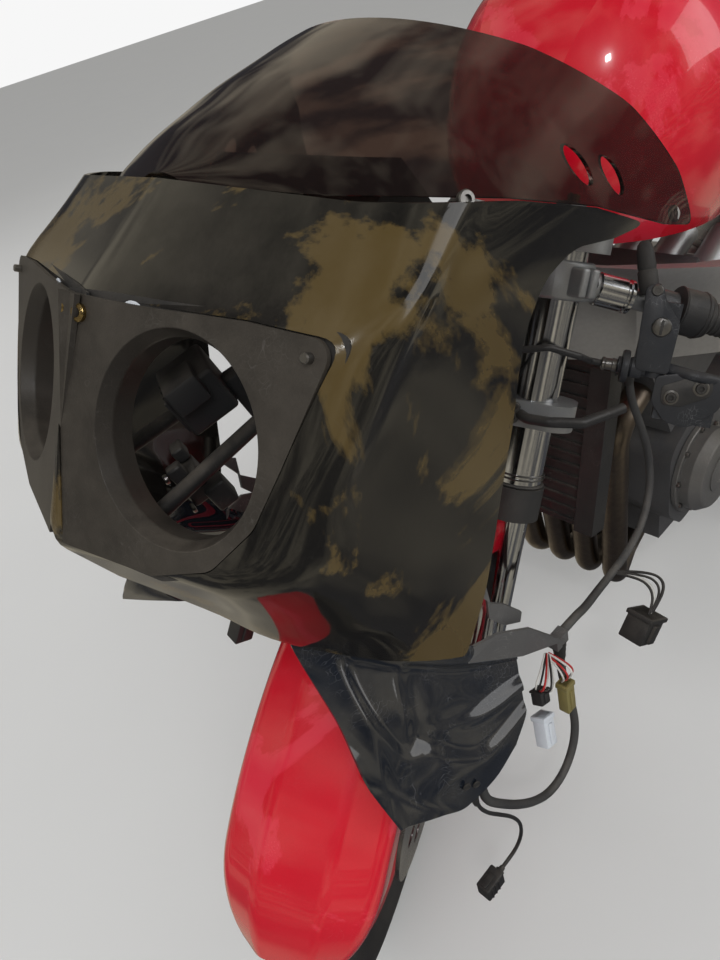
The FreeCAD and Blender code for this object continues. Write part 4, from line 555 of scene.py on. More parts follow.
class FinishBook:
    """Every finish by name, and the way to put one on a piece."""

    def __init__(self) -> None:
        """Build the shared effects and each finish."""
        effects = EffectBook()
        self.materials = {finish.name: finish.build(effects) for finish in FINISHES}

    def put(self, piece: Piece, finish: str) -> None:
        """Give a piece one finish.

        Args:
            piece: The mesh or curve object.
            finish: The finish's name.
        """
        piece.data.materials.clear()
        piece.data.materials.append(self.materials[finish])

    def dress_nodes(self, nodes: dict[str, Piece]) -> None:
        """Give every CAD node its finish.

        Args:
            nodes: The frame's nodes by name.
        """
        for finish, names in NODE_FINISHES.items():
            for name in names:
                self.put(nodes[name], finish)


MM = 0.001


def rounded_outline(corners: Sequence[Point], steps: int = 6) -> list[Flat]:
    """Closed outline whose corners are arcs.

    Args:
        corners: Each corner's x, y and radius.
        steps: Points on each arc, less one.

    Returns:
        The outline's points, in order.
    """
    points = []
    for index, (x, y, radius) in enumerate(corners):
        here = Vector((x, y))
        before = Vector(corners[index - 1][:2]) - here
        after = Vector(corners[(index + 1) % len(corners)][:2]) - here
        if radius <= 0:
            points.append((x, y))
            continue
        half = before.angle(after) / 2
        reach = min(radius / math.tan(half), 0.48 * before.length, 0.48 * after.length)
        first = here + before.normalized() * reach
        last = here + after.normalized() * reach
        for step in range(steps + 1):
            share = step / steps
            points.append(tuple(first * (1 - share) ** 2 + here * 2 * share * (1 - share) + last
                                * share ** 2))
    return points


def along(values: Sequence[tuple[float, ...]], place: float) -> tuple[float, ...]:
    """Smooth values between the rows of a table, with no overshoot.

    Args:
        values: Rows whose first column is the place, rising or falling.
        place: Where the values are wanted.

    Returns:
        The other columns at that place.
    """
    rows = sorted(values)
    place = min(max(place, rows[0][0]), rows[-1][0])
    index = max(i for i in range(len(rows) - 1) if rows[i][0] <= place or i == 0)
    low, high = rows[index], rows[index + 1]
    span = high[0] - low[0]
    share = (place - low[0]) / span
    found = []
    for column in range(1, len(low)):
        slope = (high[column] - low[column]) / span
        ends = []
        for other in (index - 1, index + 1):
            if 0 <= other and other + 1 < len(rows):
                first, second = rows[other], rows[other + 1]
                beside = (second[column] - first[column]) / (second[0] - first[0])
                same = slope * beside > 0
                ends.append(2 * slope * beside / (slope + beside) if same else 0.0)
            else:
                ends.append(slope)
        a, b = ends
        h00 = 2 * share ** 3 - 3 * share ** 2 + 1
        h10 = share ** 3 - 2 * share ** 2 + share
        h01 = 3 * share ** 2 - 2 * share ** 3
        h11 = share ** 3 - share ** 2
        found.append(h00 * low[column] + h10 * span * a + h01 * high[column] + h11 * span * b)
    return tuple(found)


def axes_of(direction: Vector, at: Vector, across: Vector | None = None) -> Matrix:
    """Matrix whose own Z axis points along a direction from a place.

    Args:
        direction: The way that Z points.
        at: The matrix's origin.
        across: A direction square to its X axis, the row frame's Y or X if not given.

    Returns:
        The matrix.
    """
    up = direction.normalized()
    side = across or (Vector((0, 1, 0)) if abs(up.y) < 0.9 else Vector((1, 0, 0)))
    first = side.cross(up).normalized()
    second = up.cross(first)
    return Matrix([[first[row], second[row], up[row], at[row]] for row in range(3)] + [[0, 0, 0, 1]])


@dataclass
class Assembly:
    """Sub-assembly that models, dresses and registers its own pieces, as by hand."""

    finishes: FinishBook
    body = Body.CHASSIS

    @staticmethod
    def _fresh() -> None:
        """Deselect every object before a primitive is added."""
        for other in bpy.context.selected_objects:
            other.select_set(False)

    def _only(self, piece: Piece) -> None:
        """Select one object and nothing else.

        Args:
            piece: The object that becomes the active one.
        """
        self._fresh()
        piece.select_set(True)
        bpy.context.view_layer.objects.active = piece

    def settle(self, name: str, piece: Piece, finish: str, place: Matrix | None = None,
               smooth: float = 35.0, body: Body | None = None) -> Piece:
        """Place a piece, apply its transform, shade, dress and register it.

        Args:
            name: The piece's name.
            piece: The modelled object, about its own origin.
            finish: Name of its finish.
            place: Matrix to its place in the row frame.
            smooth: Angle in degrees up to which edges are shaded smooth.
            body: The body it rides on, the assembly's own if not given.

        Returns:
            The same object.
        """
        piece.name = name
        piece.data.name = name
        self._only(piece)
        if place is not None:
            piece.matrix_world = place @ piece.matrix_world
        bpy.ops.object.transform_apply(location=True, rotation=True, scale=True)
        bpy.ops.object.shade_smooth_by_angle(angle=math.radians(smooth))
        self.finishes.put(piece, finish)
        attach(piece, (body or self.body).value)
        LOG.info("%s: %d faces in %s", name, len(piece.data.polygons), finish)
        return piece

    def block(self, name: str, centre: Point, size: Point, finish: str, place: Matrix | None = None,
              bevel: float = 0.0015, segments: int = 2) -> Piece:
        """Box with rounded edges.

        Args:
            name: The piece's name.
            centre: Its centre, along the axes of place.
            size: Its three lengths.
            finish: Name of its finish.
            place: Axes of the box, the row frame's if not given.
            bevel: Radius of its edges.
            segments: Facets on each rounded edge.

        Returns:
            The box.
        """
        self._fresh()
        bpy.ops.mesh.primitive_cube_add(size=1.0, location=(0, 0, 0))
        piece = bpy.context.object
        bpy.ops.object.mode_set(mode="EDIT")
        bpy.ops.mesh.select_all(action="SELECT")
        bpy.ops.transform.resize(value=size, center_override=(0, 0, 0))
        bpy.ops.mesh.bevel(offset=min(bevel, 0.45 * min(size)), segments=segments, affect="EDGES")
        bpy.ops.object.mode_set(mode="OBJECT")
        return self.settle(name, piece, finish, (place or Matrix()) @ Matrix.Translation(Vector(centre)))

    def turned(self, name: str, profile: Sequence[Flat], finish: str, place: Matrix, sides: int = 32,
               closed: bool = False, body: Body | None = None) -> Piece:
        """Round piece drawn up from a circle, ring by ring.

        Args:
            name: The piece's name.
            profile: Radius and height of each ring, from the foot up.
            finish: Name of its finish.
            place: Its foot and axes.
            sides: Points round the piece.
            closed: Whether the last ring joins the first, as on a hollow ring.
            body: The body it rides on, the assembly's own if not given.

        Returns:
            The turned piece.
        """
        self._fresh()
        radius, height = profile[0]
        bpy.ops.mesh.primitive_circle_add(vertices=sides, radius=radius, location=(0, 0, height),
                                          fill_type="NOTHING" if closed else "NGON")
        piece = bpy.context.object
        bpy.ops.object.transform_apply(location=True, rotation=False, scale=False)
        bpy.ops.object.mode_set(mode="EDIT")
        bpy.ops.mesh.select_all(action="SELECT")
        extrude = bpy.ops.mesh.extrude_edges_move if closed else bpy.ops.mesh.extrude_region_move
        for (before, under), (wide, high) in zip(profile, profile[1:]):
            extrude(TRANSFORM_OT_translate={"value": (0, 0, high - under)})
            bpy.ops.transform.resize(value=(wide / before, wide / before, 1), center_override=(0, 0, high))
        bpy.ops.mesh.select_all(action="SELECT")
        if closed:
            bpy.ops.mesh.remove_doubles(threshold=0.00002)
        bpy.ops.mesh.normals_make_consistent(inside=False)
        bpy.ops.object.mode_set(mode="OBJECT")
        return self.settle(name, piece, finish, place, body=body)

    def screw(self, name: str, head: Vector, facing: Vector, radius: float, finish: str, high: float = 0.003,
              socket: float = 0.5, body: Body | None = None) -> Piece:
        """Round screw head with a sunk socket, seated at a point.

        Args:
            name: The piece's name.
            head: Where its underside sits.
            facing: The way that the head looks.
            radius: Radius of the head.
            finish: Name of its finish.
            high: Height of the head.
            socket: Radius of the socket as a share of the head's.
            body: The body it rides on, the assembly's own if not given.

        Returns:
            The screw head.
        """
        well = radius * socket
        profile = [(radius, -0.0006), (radius, high * 0.7), (radius * 0.86, high), (well, high),
                   (well * 0.9, high * 0.35)]
        return self.turned(name, profile, finish, axes_of(facing, Vector(head)), 20, body=body)

    def tube(self, name: str, points: Sequence[Point], radius: float, finish: str,
             mesh: bool = True) -> Piece:
        """Round cable on one smooth curve through loose control points.

        Args:
            name: The piece's name.
            points: The curve's control points.
            radius: Half its thickness.
            finish: Name of its finish.
            mesh: Whether the curve is made into a mesh.

        Returns:
            The cable.
        """
        data = bpy.data.curves.new(name, "CURVE")
        data.dimensions = "3D"
        spline = data.splines.new("NURBS")
        spline.points.add(len(points) - 1)
        for index, point in enumerate(points):
            spline.points[index].co = (*point, 1.0)
        spline.order_u = 3
        spline.use_endpoint_u = True
        spline.resolution_u = 8
        data.bevel_depth = radius
        data.bevel_resolution = 4
        data.use_fill_caps = True
        piece = bpy.data.objects.new(name, data)
        bpy.context.scene.collection.objects.link(piece)
        if mesh:
            self._only(piece)
            bpy.ops.object.convert(target="MESH")
            return self.settle(name, bpy.context.object, finish, smooth=60.0)
        self.finishes.put(piece, finish)
        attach(piece, self.body.value)
        LOG.info("%s: curve in %s", name, finish)
        return piece

    def grid(self, name: str, rows: Sequence[Sequence[Point]]) -> Piece:
        """Sheet through rows of points, from a plain grid whose points are moved to their places.

        Args:
            name: The sheet's name.
            rows: Rows of as many points each, in the row frame.

        Returns:
            The sheet, not yet dressed.
        """
        self._fresh()
        bpy.ops.mesh.primitive_grid_add(x_subdivisions=len(rows[0]) - 1, y_subdivisions=len(rows) - 1,
                                        size=1.0)
        sheet = bpy.context.object
        sheet.name = name
        flat = [coordinate for row in rows for point in row for coordinate in point]
        sheet.data.vertices.foreach_set("co", flat)
        sheet.data.update()
        return sheet

    def facing(self, sheet: Piece, outward: Callable[[Vector], Vector]) -> None:
        """Turn a sheet's faces over if most look inward.

        Args:
            sheet: The sheet, before it has a wall.
            outward: The way out at a point of the sheet.
        """
        votes = sum(1 if face.normal.dot(outward(face.center)) > 0 else -1 for face in sheet.data.polygons)
        if votes < 0:
            self._only(sheet)
            bpy.ops.object.mode_set(mode="EDIT")
            bpy.ops.mesh.select_all(action="SELECT")
            bpy.ops.mesh.flip_normals()
            bpy.ops.object.mode_set(mode="OBJECT")

    def modify(self, piece: Piece, kind: str, **settings: object) -> None:
        """Add one modifier, set it and apply it.

        Args:
            piece: The mesh object.
            kind: Blender's modifier type.
            settings: Properties of the modifier.
        """
        self._only(piece)
        modifier = piece.modifiers.new(kind.lower(), kind)
        for name, value in settings.items():
            setattr(modifier, name, value)
        bpy.ops.object.modifier_apply(modifier=modifier.name)

    def soften(self, piece: Piece, width: float, crease: float) -> None:
        """Bevel a piece's sharp edges.

        Args:
            piece: The mesh object.
            width: Width of the bevel.
            crease: Angle in degrees from which an edge is sharp.
        """
        self.modify(piece, "BEVEL", width=width, segments=2, limit_method="ANGLE",
                    angle_limit=math.radians(crease), use_clamp_overlap=True)

    def shell(self, name: str, sheet: Piece, finish: str, edge: float, crease: float,
              smooth: float) -> None:
        """Soften a walled sheet's edges, settle it and even out its shading.

        Args:
            name: The piece's name.
            sheet: The sheet with its wall and cuts.
            finish: Name of its finish.
            edge: Width of the bevel on its edges.
            crease: Angle in degrees from which an edge is bevelled.
            smooth: Angle in degrees up to which edges are shaded smooth.
        """
        self.soften(sheet, edge, crease)
        self.settle(name, sheet, finish, smooth=smooth)
        self.modify(sheet, "WEIGHTED_NORMAL", keep_sharp=True)

    def prism(self, outline: Sequence[Flat], low: float, high: float, place: Matrix) -> Piece:
        """Block pulled along its own Z axis from a closed outline.

        Args:
            outline: Points in the plane of place.
            low: Height of its foot.
            high: Height of its top.
            place: The outline's plane.

        Returns:
            The block, as a plate's start or a cutter.
        """
        self._fresh()
        bpy.ops.mesh.primitive_circle_add(vertices=len(outline), radius=1.0, fill_type="NGON")
        block = bpy.context.object
        for vertex, (x, y) in zip(block.data.vertices, outline):
            vertex.co = (x, y, low)
        bpy.ops.object.mode_set(mode="EDIT")
        bpy.ops.mesh.select_all(action="SELECT")
        bpy.ops.mesh.extrude_region_move(TRANSFORM_OT_translate={"value": (0, 0, high - low)})
        bpy.ops.mesh.select_all(action="SELECT")
        bpy.ops.mesh.normals_make_consistent(inside=False)
        bpy.ops.object.mode_set(mode="OBJECT")
        block.matrix_world = place
        return block

    def cut(self, piece: Piece, cutter: Piece, operation: str = "DIFFERENCE") -> None:
        """Cut a piece with a cutter, and remove the cutter.

        Args:
            piece: The piece that is cut.
            cutter: The block that cuts it.
            operation: Blender's boolean operation.
        """
        bpy.context.view_layer.update()
        self.modify(piece, "BOOLEAN", object=cutter, operation=operation, solver="EXACT")
        bpy.data.objects.remove(cutter, do_unlink=True)

    def plate(self, name: str, corners: Sequence[Point], low: float, high: float, finish: str, place: Matrix,
              bevel: float = 0.0008) -> Piece:
        """Flat plate with rounded corners and softened edges.

        Args:
            name: The piece's name.
            corners: Corners and their radii in millimetres, in the plane of place.
            low: Height of its back face in millimetres.
            high: Height of its front face in millimetres.
            finish: Name of its finish.
            place: The plate's plane.
            bevel: Width of the bevel on its edges, in metres.

        Returns:
            The plate.
        """
        piece = self.prism(rounded_outline(metres(corners), 5), low * MM, high * MM, Matrix())
        self.soften(piece, bevel, 50)
        return self.settle(name, piece, finish, place)

    @staticmethod
    def copied(piece: Piece, shift: Matrix) -> Piece:
        """Copy of a piece, with its own mesh, moved by a matrix.

        Args:
            piece: The piece to copy.
            shift: How the copy is moved.

        Returns:
            The copy, not yet registered.
        """
        copy = piece.copy()
        copy.data = piece.data.copy()
        bpy.context.scene.collection.objects.link(copy)
        copy.data.transform(shift)
        return copy

    def joined(self, pieces: Sequence[Piece], name: str) -> Piece:
        """Join pieces into the first one.

        Args:
            pieces: The pieces to join.
            name: Name of the joined piece.

        Returns:
            The first piece, with all the others in it.
        """
        self._fresh()
        for piece in pieces:
            piece.select_set(True)
        bpy.context.view_layer.objects.active = pieces[0]
        bpy.ops.object.join()
        pieces[0].name = name
        return pieces[0]


def metres(rows: Sequence[tuple[float, ...]]) -> list[tuple[float, ...]]:
    """Rows of lengths in metres, from the same in millimetres."""
    return [tuple(length * MM for length in row) for row in rows]


def mm(x: float, y: float, z: float) -> Vector:
    """Point given in millimetres, in metres."""
    return Vector((x, y, z)) * MM


@dataclass
class Studio:
    """Camera at the photograph's place, pale floor, soft lamps and a pale surround."""

    camera_at: Point = (1.0563, 0.5402, 1.1537)
    yaw: float = 0.9407
    pitch: float = 0.6348
    roll: float = -0.2667
    lens: float = 28.41
    floor_colour: Colour = (0.72, 0.72, 0.71)
    floor_half: float = 14.0

    def build(self) -> None:
        """Make the camera, the floor, the lamps and the surround."""
        bpy.context.scene.view_settings.view_transform = "Standard"
        self._camera()
        self._floor()
        self._surround()
        self._lamp("key_softbox", (2.6, 2.4, 3.6), (0.3, 0.0, 0.8), 3.0, 88.0, mirrored=False)
        self._lamp("small_lamp", (1.9, 1.5, 2.9), (0.8, 0.1, 0.8), 0.16, 6.0)
        self._lamp("fill_softbox", (-1.8, 3.4, 2.4), (0.0, 0.0, 0.6), 2.6, 34.0)
        self._lamp("far_softbox", (1.2, -3.6, 2.8), (0.2, 0.0, 0.7), 2.6, 34.0, mirrored=False)

    def _camera(self) -> None:
        """Place the camera from its solved position and angles."""
        away = Vector((-math.cos(self.pitch) * math.cos(self.yaw),
                       -math.cos(self.pitch) * math.sin(self.yaw), -math.sin(self.pitch)))
        level = away.cross(Vector((0, 0, 1))).normalized()
        up = level.cross(away)
        c, s = math.cos(self.roll), math.sin(self.roll)
        right = level * c + up * s
        top = up * c - level * s
        data = bpy.data.cameras.new("photo_camera")
        data.sensor_width = 36.0
        data.lens = self.lens
        data.clip_start = 0.02
        camera = bpy.data.objects.new("photo_camera", data)
        axes = (right, top, -away)
        camera.matrix_world = Matrix([[*(axis[row] for axis in axes), self.camera_at[row]]
                                      for row in range(3)] + [[0, 0, 0, 1]])
        bpy.context.scene.collection.objects.link(camera)
        bpy.context.scene.camera = camera

    def _floor(self) -> None:
        """Lay the pale floor, which polished pieces mirror as a dim, warm room."""
        bpy.ops.mesh.primitive_plane_add(size=2 * self.floor_half, location=(0, 0, 0))
        floor = bpy.context.object
        floor.name = "studio_floor"
        material = bpy.data.materials.new("studio_floor")
        material.use_nodes = True
        wiring = Wiring(material.node_tree)
        shader = material.node_tree.nodes["Principled BSDF"]
        grain = wiring.noise(wiring.add("ShaderNodeTexCoord").outputs["Object"], 3.0)
        pale = tuple(channel * 0.97 for channel in self.floor_colour)
        wiring.tree.links.new(wiring.blend(grain, self.floor_colour, pale), shader.inputs["Base Color"])
        shader.inputs["Roughness"].default_value = 0.8
        patch = wiring.noise(wiring.add("ShaderNodeTexCoord").outputs["Object"], 1.1, 3.0)
        warm = wiring.blend(wiring.spread(patch, 0.45, 0.6), (0.07, 0.07, 0.075), (0.4, 0.36, 0.28))
        mirrored = wiring.add("ShaderNodeEmission", {"Color": warm, "Strength": 1.0})
        rays = wiring.add("ShaderNodeLightPath")
        mix = wiring.add("ShaderNodeMixShader", {0: rays.outputs["Is Glossy Ray"], 1: shader.outputs[0],
                                                 2: mirrored.outputs[0]})
        wiring.tree.links.new(mix.outputs[0], material.node_tree.nodes["Material Output"].inputs["Surface"])
        floor.data.materials.append(material)

    def _surround(self) -> None:
        """Light from all round, shown paler to the camera and glass, and to gloss as a dim, warm, cloudy
        room.
        """
        world = bpy.data.worlds.new("studio_surround")
        bpy.context.scene.world = world
        world.use_nodes = True
        wiring = Wiring(world.node_tree)
        for node in list(world.node_tree.nodes):
            world.node_tree.nodes.remove(node)
        rays = wiring.add("ShaderNodeLightPath")
        seen = wiring.maths("MAXIMUM", rays.outputs["Is Camera Ray"], rays.outputs["Is Transmission Ray"])
        lit = wiring.add("ShaderNodeBackground", {"Color": (1, 1, 1, 1), "Strength": 0.5})
        shown = wiring.add("ShaderNodeBackground", {"Color": (0.93, 0.93, 0.93, 1), "Strength": 1.0})
        cloud = wiring.noise(wiring.add("ShaderNodeTexCoord").outputs["Generated"], 2.6, 3.0)
        warm = wiring.blend(wiring.spread(cloud, 0.44, 0.62), (0.05, 0.05, 0.055), (0.62, 0.56, 0.44))
        room = wiring.add("ShaderNodeBackground", {"Color": warm, "Strength": 0.8})
        mix = wiring.add("ShaderNodeMixShader", {0: seen, 1: lit.outputs[0], 2: shown.outputs[0]})
        gloss = wiring.add("ShaderNodeMixShader", {0: rays.outputs["Is Glossy Ray"], 1: mix.outputs[0],
                                                   2: room.outputs[0]})
        wiring.add("ShaderNodeOutputWorld", {0: gloss.outputs[0]})

    @staticmethod
    def _lamp(name: str, place: Point, target: Point, size: float, power: float,
              mirrored: bool = True) -> None:
        """Hang one square softbox, turn it to its target and say whether gloss mirrors it.

        Args:
            name: The lamp's name.
            place: Where it hangs.
            target: What it faces.
            size: Length of its sides.
            power: Its power in watts.
            mirrored: Whether gloss mirrors it.
        """
        data = bpy.data.lights.new(name, "AREA")
        data.shape = "SQUARE"
        data.size = size
        data.energy = power
        lamp = bpy.data.objects.new(name, data)
        lamp.location = place
        lamp.rotation_euler = (Vector(target) - Vector(place)).to_track_quat("-Z", "Y").to_euler()
        lamp.visible_glossy = mirrored
        bpy.context.scene.collection.objects.link(lamp)


def softened(rows: Sequence[tuple[float, ...]], place: float, reach: float) -> list[float]:
    """Values on straight runs between rows, with every corner rounded over a reach.

    Args:
        rows: Rows whose first column is the place, rising or falling.
        place: Where the values are wanted.
        reach: How far each side of a corner the rounding starts.

    Returns:
        The other columns at that place.
    """
    ordered = sorted(rows)
    found = [0.0] * (len(ordered[0]) - 1)
    samples = 9
    for step in range(samples):
        at = place + reach * (2 * step / (samples - 1) - 1)
        index = max([i for i in range(len(ordered) - 1) if ordered[i][0] <= at] or [0])
        low, high = ordered[index], ordered[index + 1]
        share = (at - low[0]) / (high[0] - low[0])
        for column in range(len(found)):
            found[column] += (low[column + 1] * (1 - share) + high[column + 1] * share) / samples
    return found


def arc_through(first: Vector, middle: Vector, last: Vector, steps: int) -> list[Vector]:
    """Points on the circle's arc through three points in a plane.

    Args:
        first: The arc's start.
        middle: A point on the arc.
        last: The arc's end.
        steps: Intervals along the arc.

    Returns:
        One point more than the intervals.
    """
    a, b = middle - first, last - first
    cross = 2 * (a.x * b.y - a.y * b.x)
    centre = first + Vector(((b.y * a.length_squared - a.y * b.length_squared) / cross,
                             (a.x * b.length_squared - b.x * a.length_squared) / cross))
    spoke = first - centre
    turn = (middle - centre).angle_signed(spoke) + (last - centre).angle_signed(middle - centre)
    points = []
    for step in range(steps + 1):
        angle = turn * step / steps
        c, s = math.cos(angle), math.sin(angle)
        points.append(centre + Vector((spoke.x * c - spoke.y * s, spoke.x * s + spoke.y * c)))
    return points


def facet_outline(side: Side, corners: Sequence[Point]) -> list[Flat]:
    """Rounded outline on a lamp facet's mirrored plane.

    Args:
        side: The facet's side.
        corners: Corners and radii in millimetres, x outward and y up the slope.

    Returns:
        The outline's points in metres, in the same turning sense on both sides.
    """
    outline = rounded_outline(metres([(x * side.value, y, r) for x, y, r in corners]))
    return outline if side is Side.LEFT else outline[::-1]


SIDE_VIEW = Matrix(((1, 0, 0, 0), (0, 0, -1, 0), (0, 1, 0, 0), (0, 0, 0, 1)))


@dataclass
class FairingCowl(Assembly):
    """Smooth nose cowl with its two lamp openings."""

    sections: tuple = (
        (600, 850, 838, 80, 752, 203, 216), (650, 880, 862, 86, 742, 206, 217),
        (705, 915, 893, 92, 770, 210, 219),
        (750, 936, 905, 108, 790, 213, 221), (815, 967, 926, 150, 850, 214, 225),
        (887, 925, 873, 193, 815, 224, 230),
        (960, 881, 828, 204, 735, 238, 246), (990, 830, 786, 160, 690, 232, 246),
        (1034, 756, 730, 116, 610, 214, 236))
    profile: tuple = (
        (990, 790, 4), (990, 1034.5, 4), (782, 1034.5, 4), (767, 1025, 30), (744, 1011, 60), (702, 998, 90),
        (640, 976, 120), (562, 942, 90), (480, 897, 10), (530, 905, 60), (590, 922, 60), (625, 912, 34),
        (646, 880, 80), (661, 808, 200), (685, 735, 240), (711, 650, 200), (745, 590, 7), (819, 644, 120),
        (884, 705, 120), (936, 749, 90))
    opening: tuple = (
        (-113.9, 98.8, 0), (-64, 92.8, 9), (-17, 88.8, 10), (61, 83.8, 10), (131.2, 74.8, 12),
        (94.8, -6.4, 40),
        (74.8, -48.6, 30), (38.2, -84.8, 30), (-17, -99.8, 20), (-113.9, -94.8, 0))
    rear: float = 412.0
    low: float = 592.0
    high: float = 1038.0
    wall: float = 0.004

    def build(self) -> None:
        """Model the shell, cut its outline and openings and put it in place of the plain one."""
        heights = [self.low + (self.high - self.low) * step / 62 for step in range(63)]
        rows = [metres([(x, y, z) for x, y in self._section(z)]) for z in heights]
        sheet = self.grid("cowl_shell", rows)
        self.facing(sheet, lambda at: Vector((at.x - 0.5, at.y, 0)))
        self.modify(sheet, "SOLIDIFY", thickness=self.wall, offset=-1.0, use_even_offset=True)
        outline = rounded_outline(metres(self.profile))
        self.cut(sheet, self.prism(outline, -0.3, 0.3, SIDE_VIEW), "INTERSECT")
        for side in Side:
            self.cut(sheet, self._opening(side))
        self.shell("cowl_shell", sheet, "black_gloss", 0.0009, 58, 28)
        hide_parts("fairing_cowl")

    def _section(self, height: float) -> list[Flat]:
        """Outline at one height, from the right rear corner round the nose to the left.

        Args:
            height: Height of the outline in millimetres.

        Returns:
            Each point's x and y in millimetres.
        """
        nose, facet_x, facet_y = softened(self.sections, height, 12.0)[:3]
        side_x, side_y, rear_y = softened(self.sections, height, 52.0)[3:]
        facet, side = Vector((facet_x, facet_y)), Vector((side_x, side_y))
        lift = Vector(((facet.x + side.x) / 2 + (side.y - facet.y) * 0.22,
                       (facet.y + side.y) / 2 + (facet.x - side.x) * 0.22))
        share = (side_x - self.rear) / (side_x - 420)
        back = side.lerp(Vector((420, rear_y)), share)
        half = [Vector((nose, 0)).lerp(facet, step / 8) for step in range(8)]
        half += arc_through(facet, lift, side, 14)[:-1]
        half += [side.lerp(back, step / 16) for step in range(17)]
        for _ in range(2):
            inner = [(before + here * 2 + after) / 4 for before, here,
                     after in zip(half, half[1:], half[2:])]
            half = [half[0], *inner, half[-1]]
        left = [(point.x, point.y) for point in half]
        right = [(x, -y) for x, y in reversed(left[1:])]
        return right + left

    def _opening(self, side: Side) -> Piece:
        """Cutter for one lamp panel's opening, square to its facet."""
        return self.prism(facet_outline(side, self.opening), -0.04, 0.03, LampFacet(side).mirrored())


@dataclass
class Windscreen(Assembly):
    """Thin arched screen with its mirror slots and screws."""

    stations: tuple = ((764, 34, 1023, 1030), (744, 120, 1012, 1034), (702, 180, 999, 1049),
                       (640, 220, 977, 1066),
                       (562, 240, 943, 1080), (480, 250, 898, 1087), (425, 252, 868, 1090))
    profile: tuple = (
        (800, 1100, 4), (575, 1100, 4), (560, 1085, 12), (506, 1040, 60), (460, 984, 60), (438, 926, 30),
        (436, 880, 8), (480, 897.5, 10), (562, 942.5, 60), (640, 976.5, 60), (702, 998.5, 60),
        (744, 1011.5, 60),
        (780, 1020, 4))
    slots: tuple = ((557, 970, 9.5, 14), (526, 952, 9.5, 14))
    screws: tuple = ((668, 985), (460, 898))
    rear: float = 424.0
    front: float = 766.0
    thickness: float = 0.003

    def build(self) -> None:
        """Model the sheet, cut its edge and slots and fit its screws."""
        rows = []
        for step in range(56):
            x = self.rear + (self.front - self.rear) * step / 55
            half, low, high = softened(self.stations, x, 16.0)
            arch = arc_through(Vector((-half, low)), Vector((0, high)), Vector((half, low)), 60)
            rows.append(metres([(x, y, z) for y, z in arch]))
        sheet = self.grid("screen_sheet", rows)
        self.facing(sheet, lambda at: Vector((0.2, at.y, at.z - 0.85)))
        self.modify(sheet, "SOLIDIFY", thickness=self.thickness, offset=-1.0)
        outline = rounded_outline(metres(self.profile))
        self.cut(sheet, self.prism(outline, -0.3, 0.3, SIDE_VIEW), "INTERSECT")
        for x, z, narrow, wide in self.slots:
            ring = [(x * MM + narrow * MM * math.cos(step * math.pi / 12),
                     z * MM + wide * MM * math.sin(step * math.pi / 12)) for step in range(24)]
            self.cut(sheet, self.prism(ring, -0.3, 0.3, SIDE_VIEW))
        self.shell("screen_sheet", sheet, "smoked_screen", 0.0006, 60, 28)
        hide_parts("windscreen")
        for side in Side:
            for number, (x, z) in enumerate(self.screws):
                half, low, high = softened(self.stations, x, 16.0)
                lean = (z - low) / (high - low)
                y = half * math.sqrt(max(0.0, 1 - lean)) * side.value
                self.screw(f"screen_screw_{side.word}_{number}", Vector((x, y, z)) * MM,
                           Vector((0.15, 0.93 * side.value, 0.35)), 0.0068, "plain_steel", 0.0034)


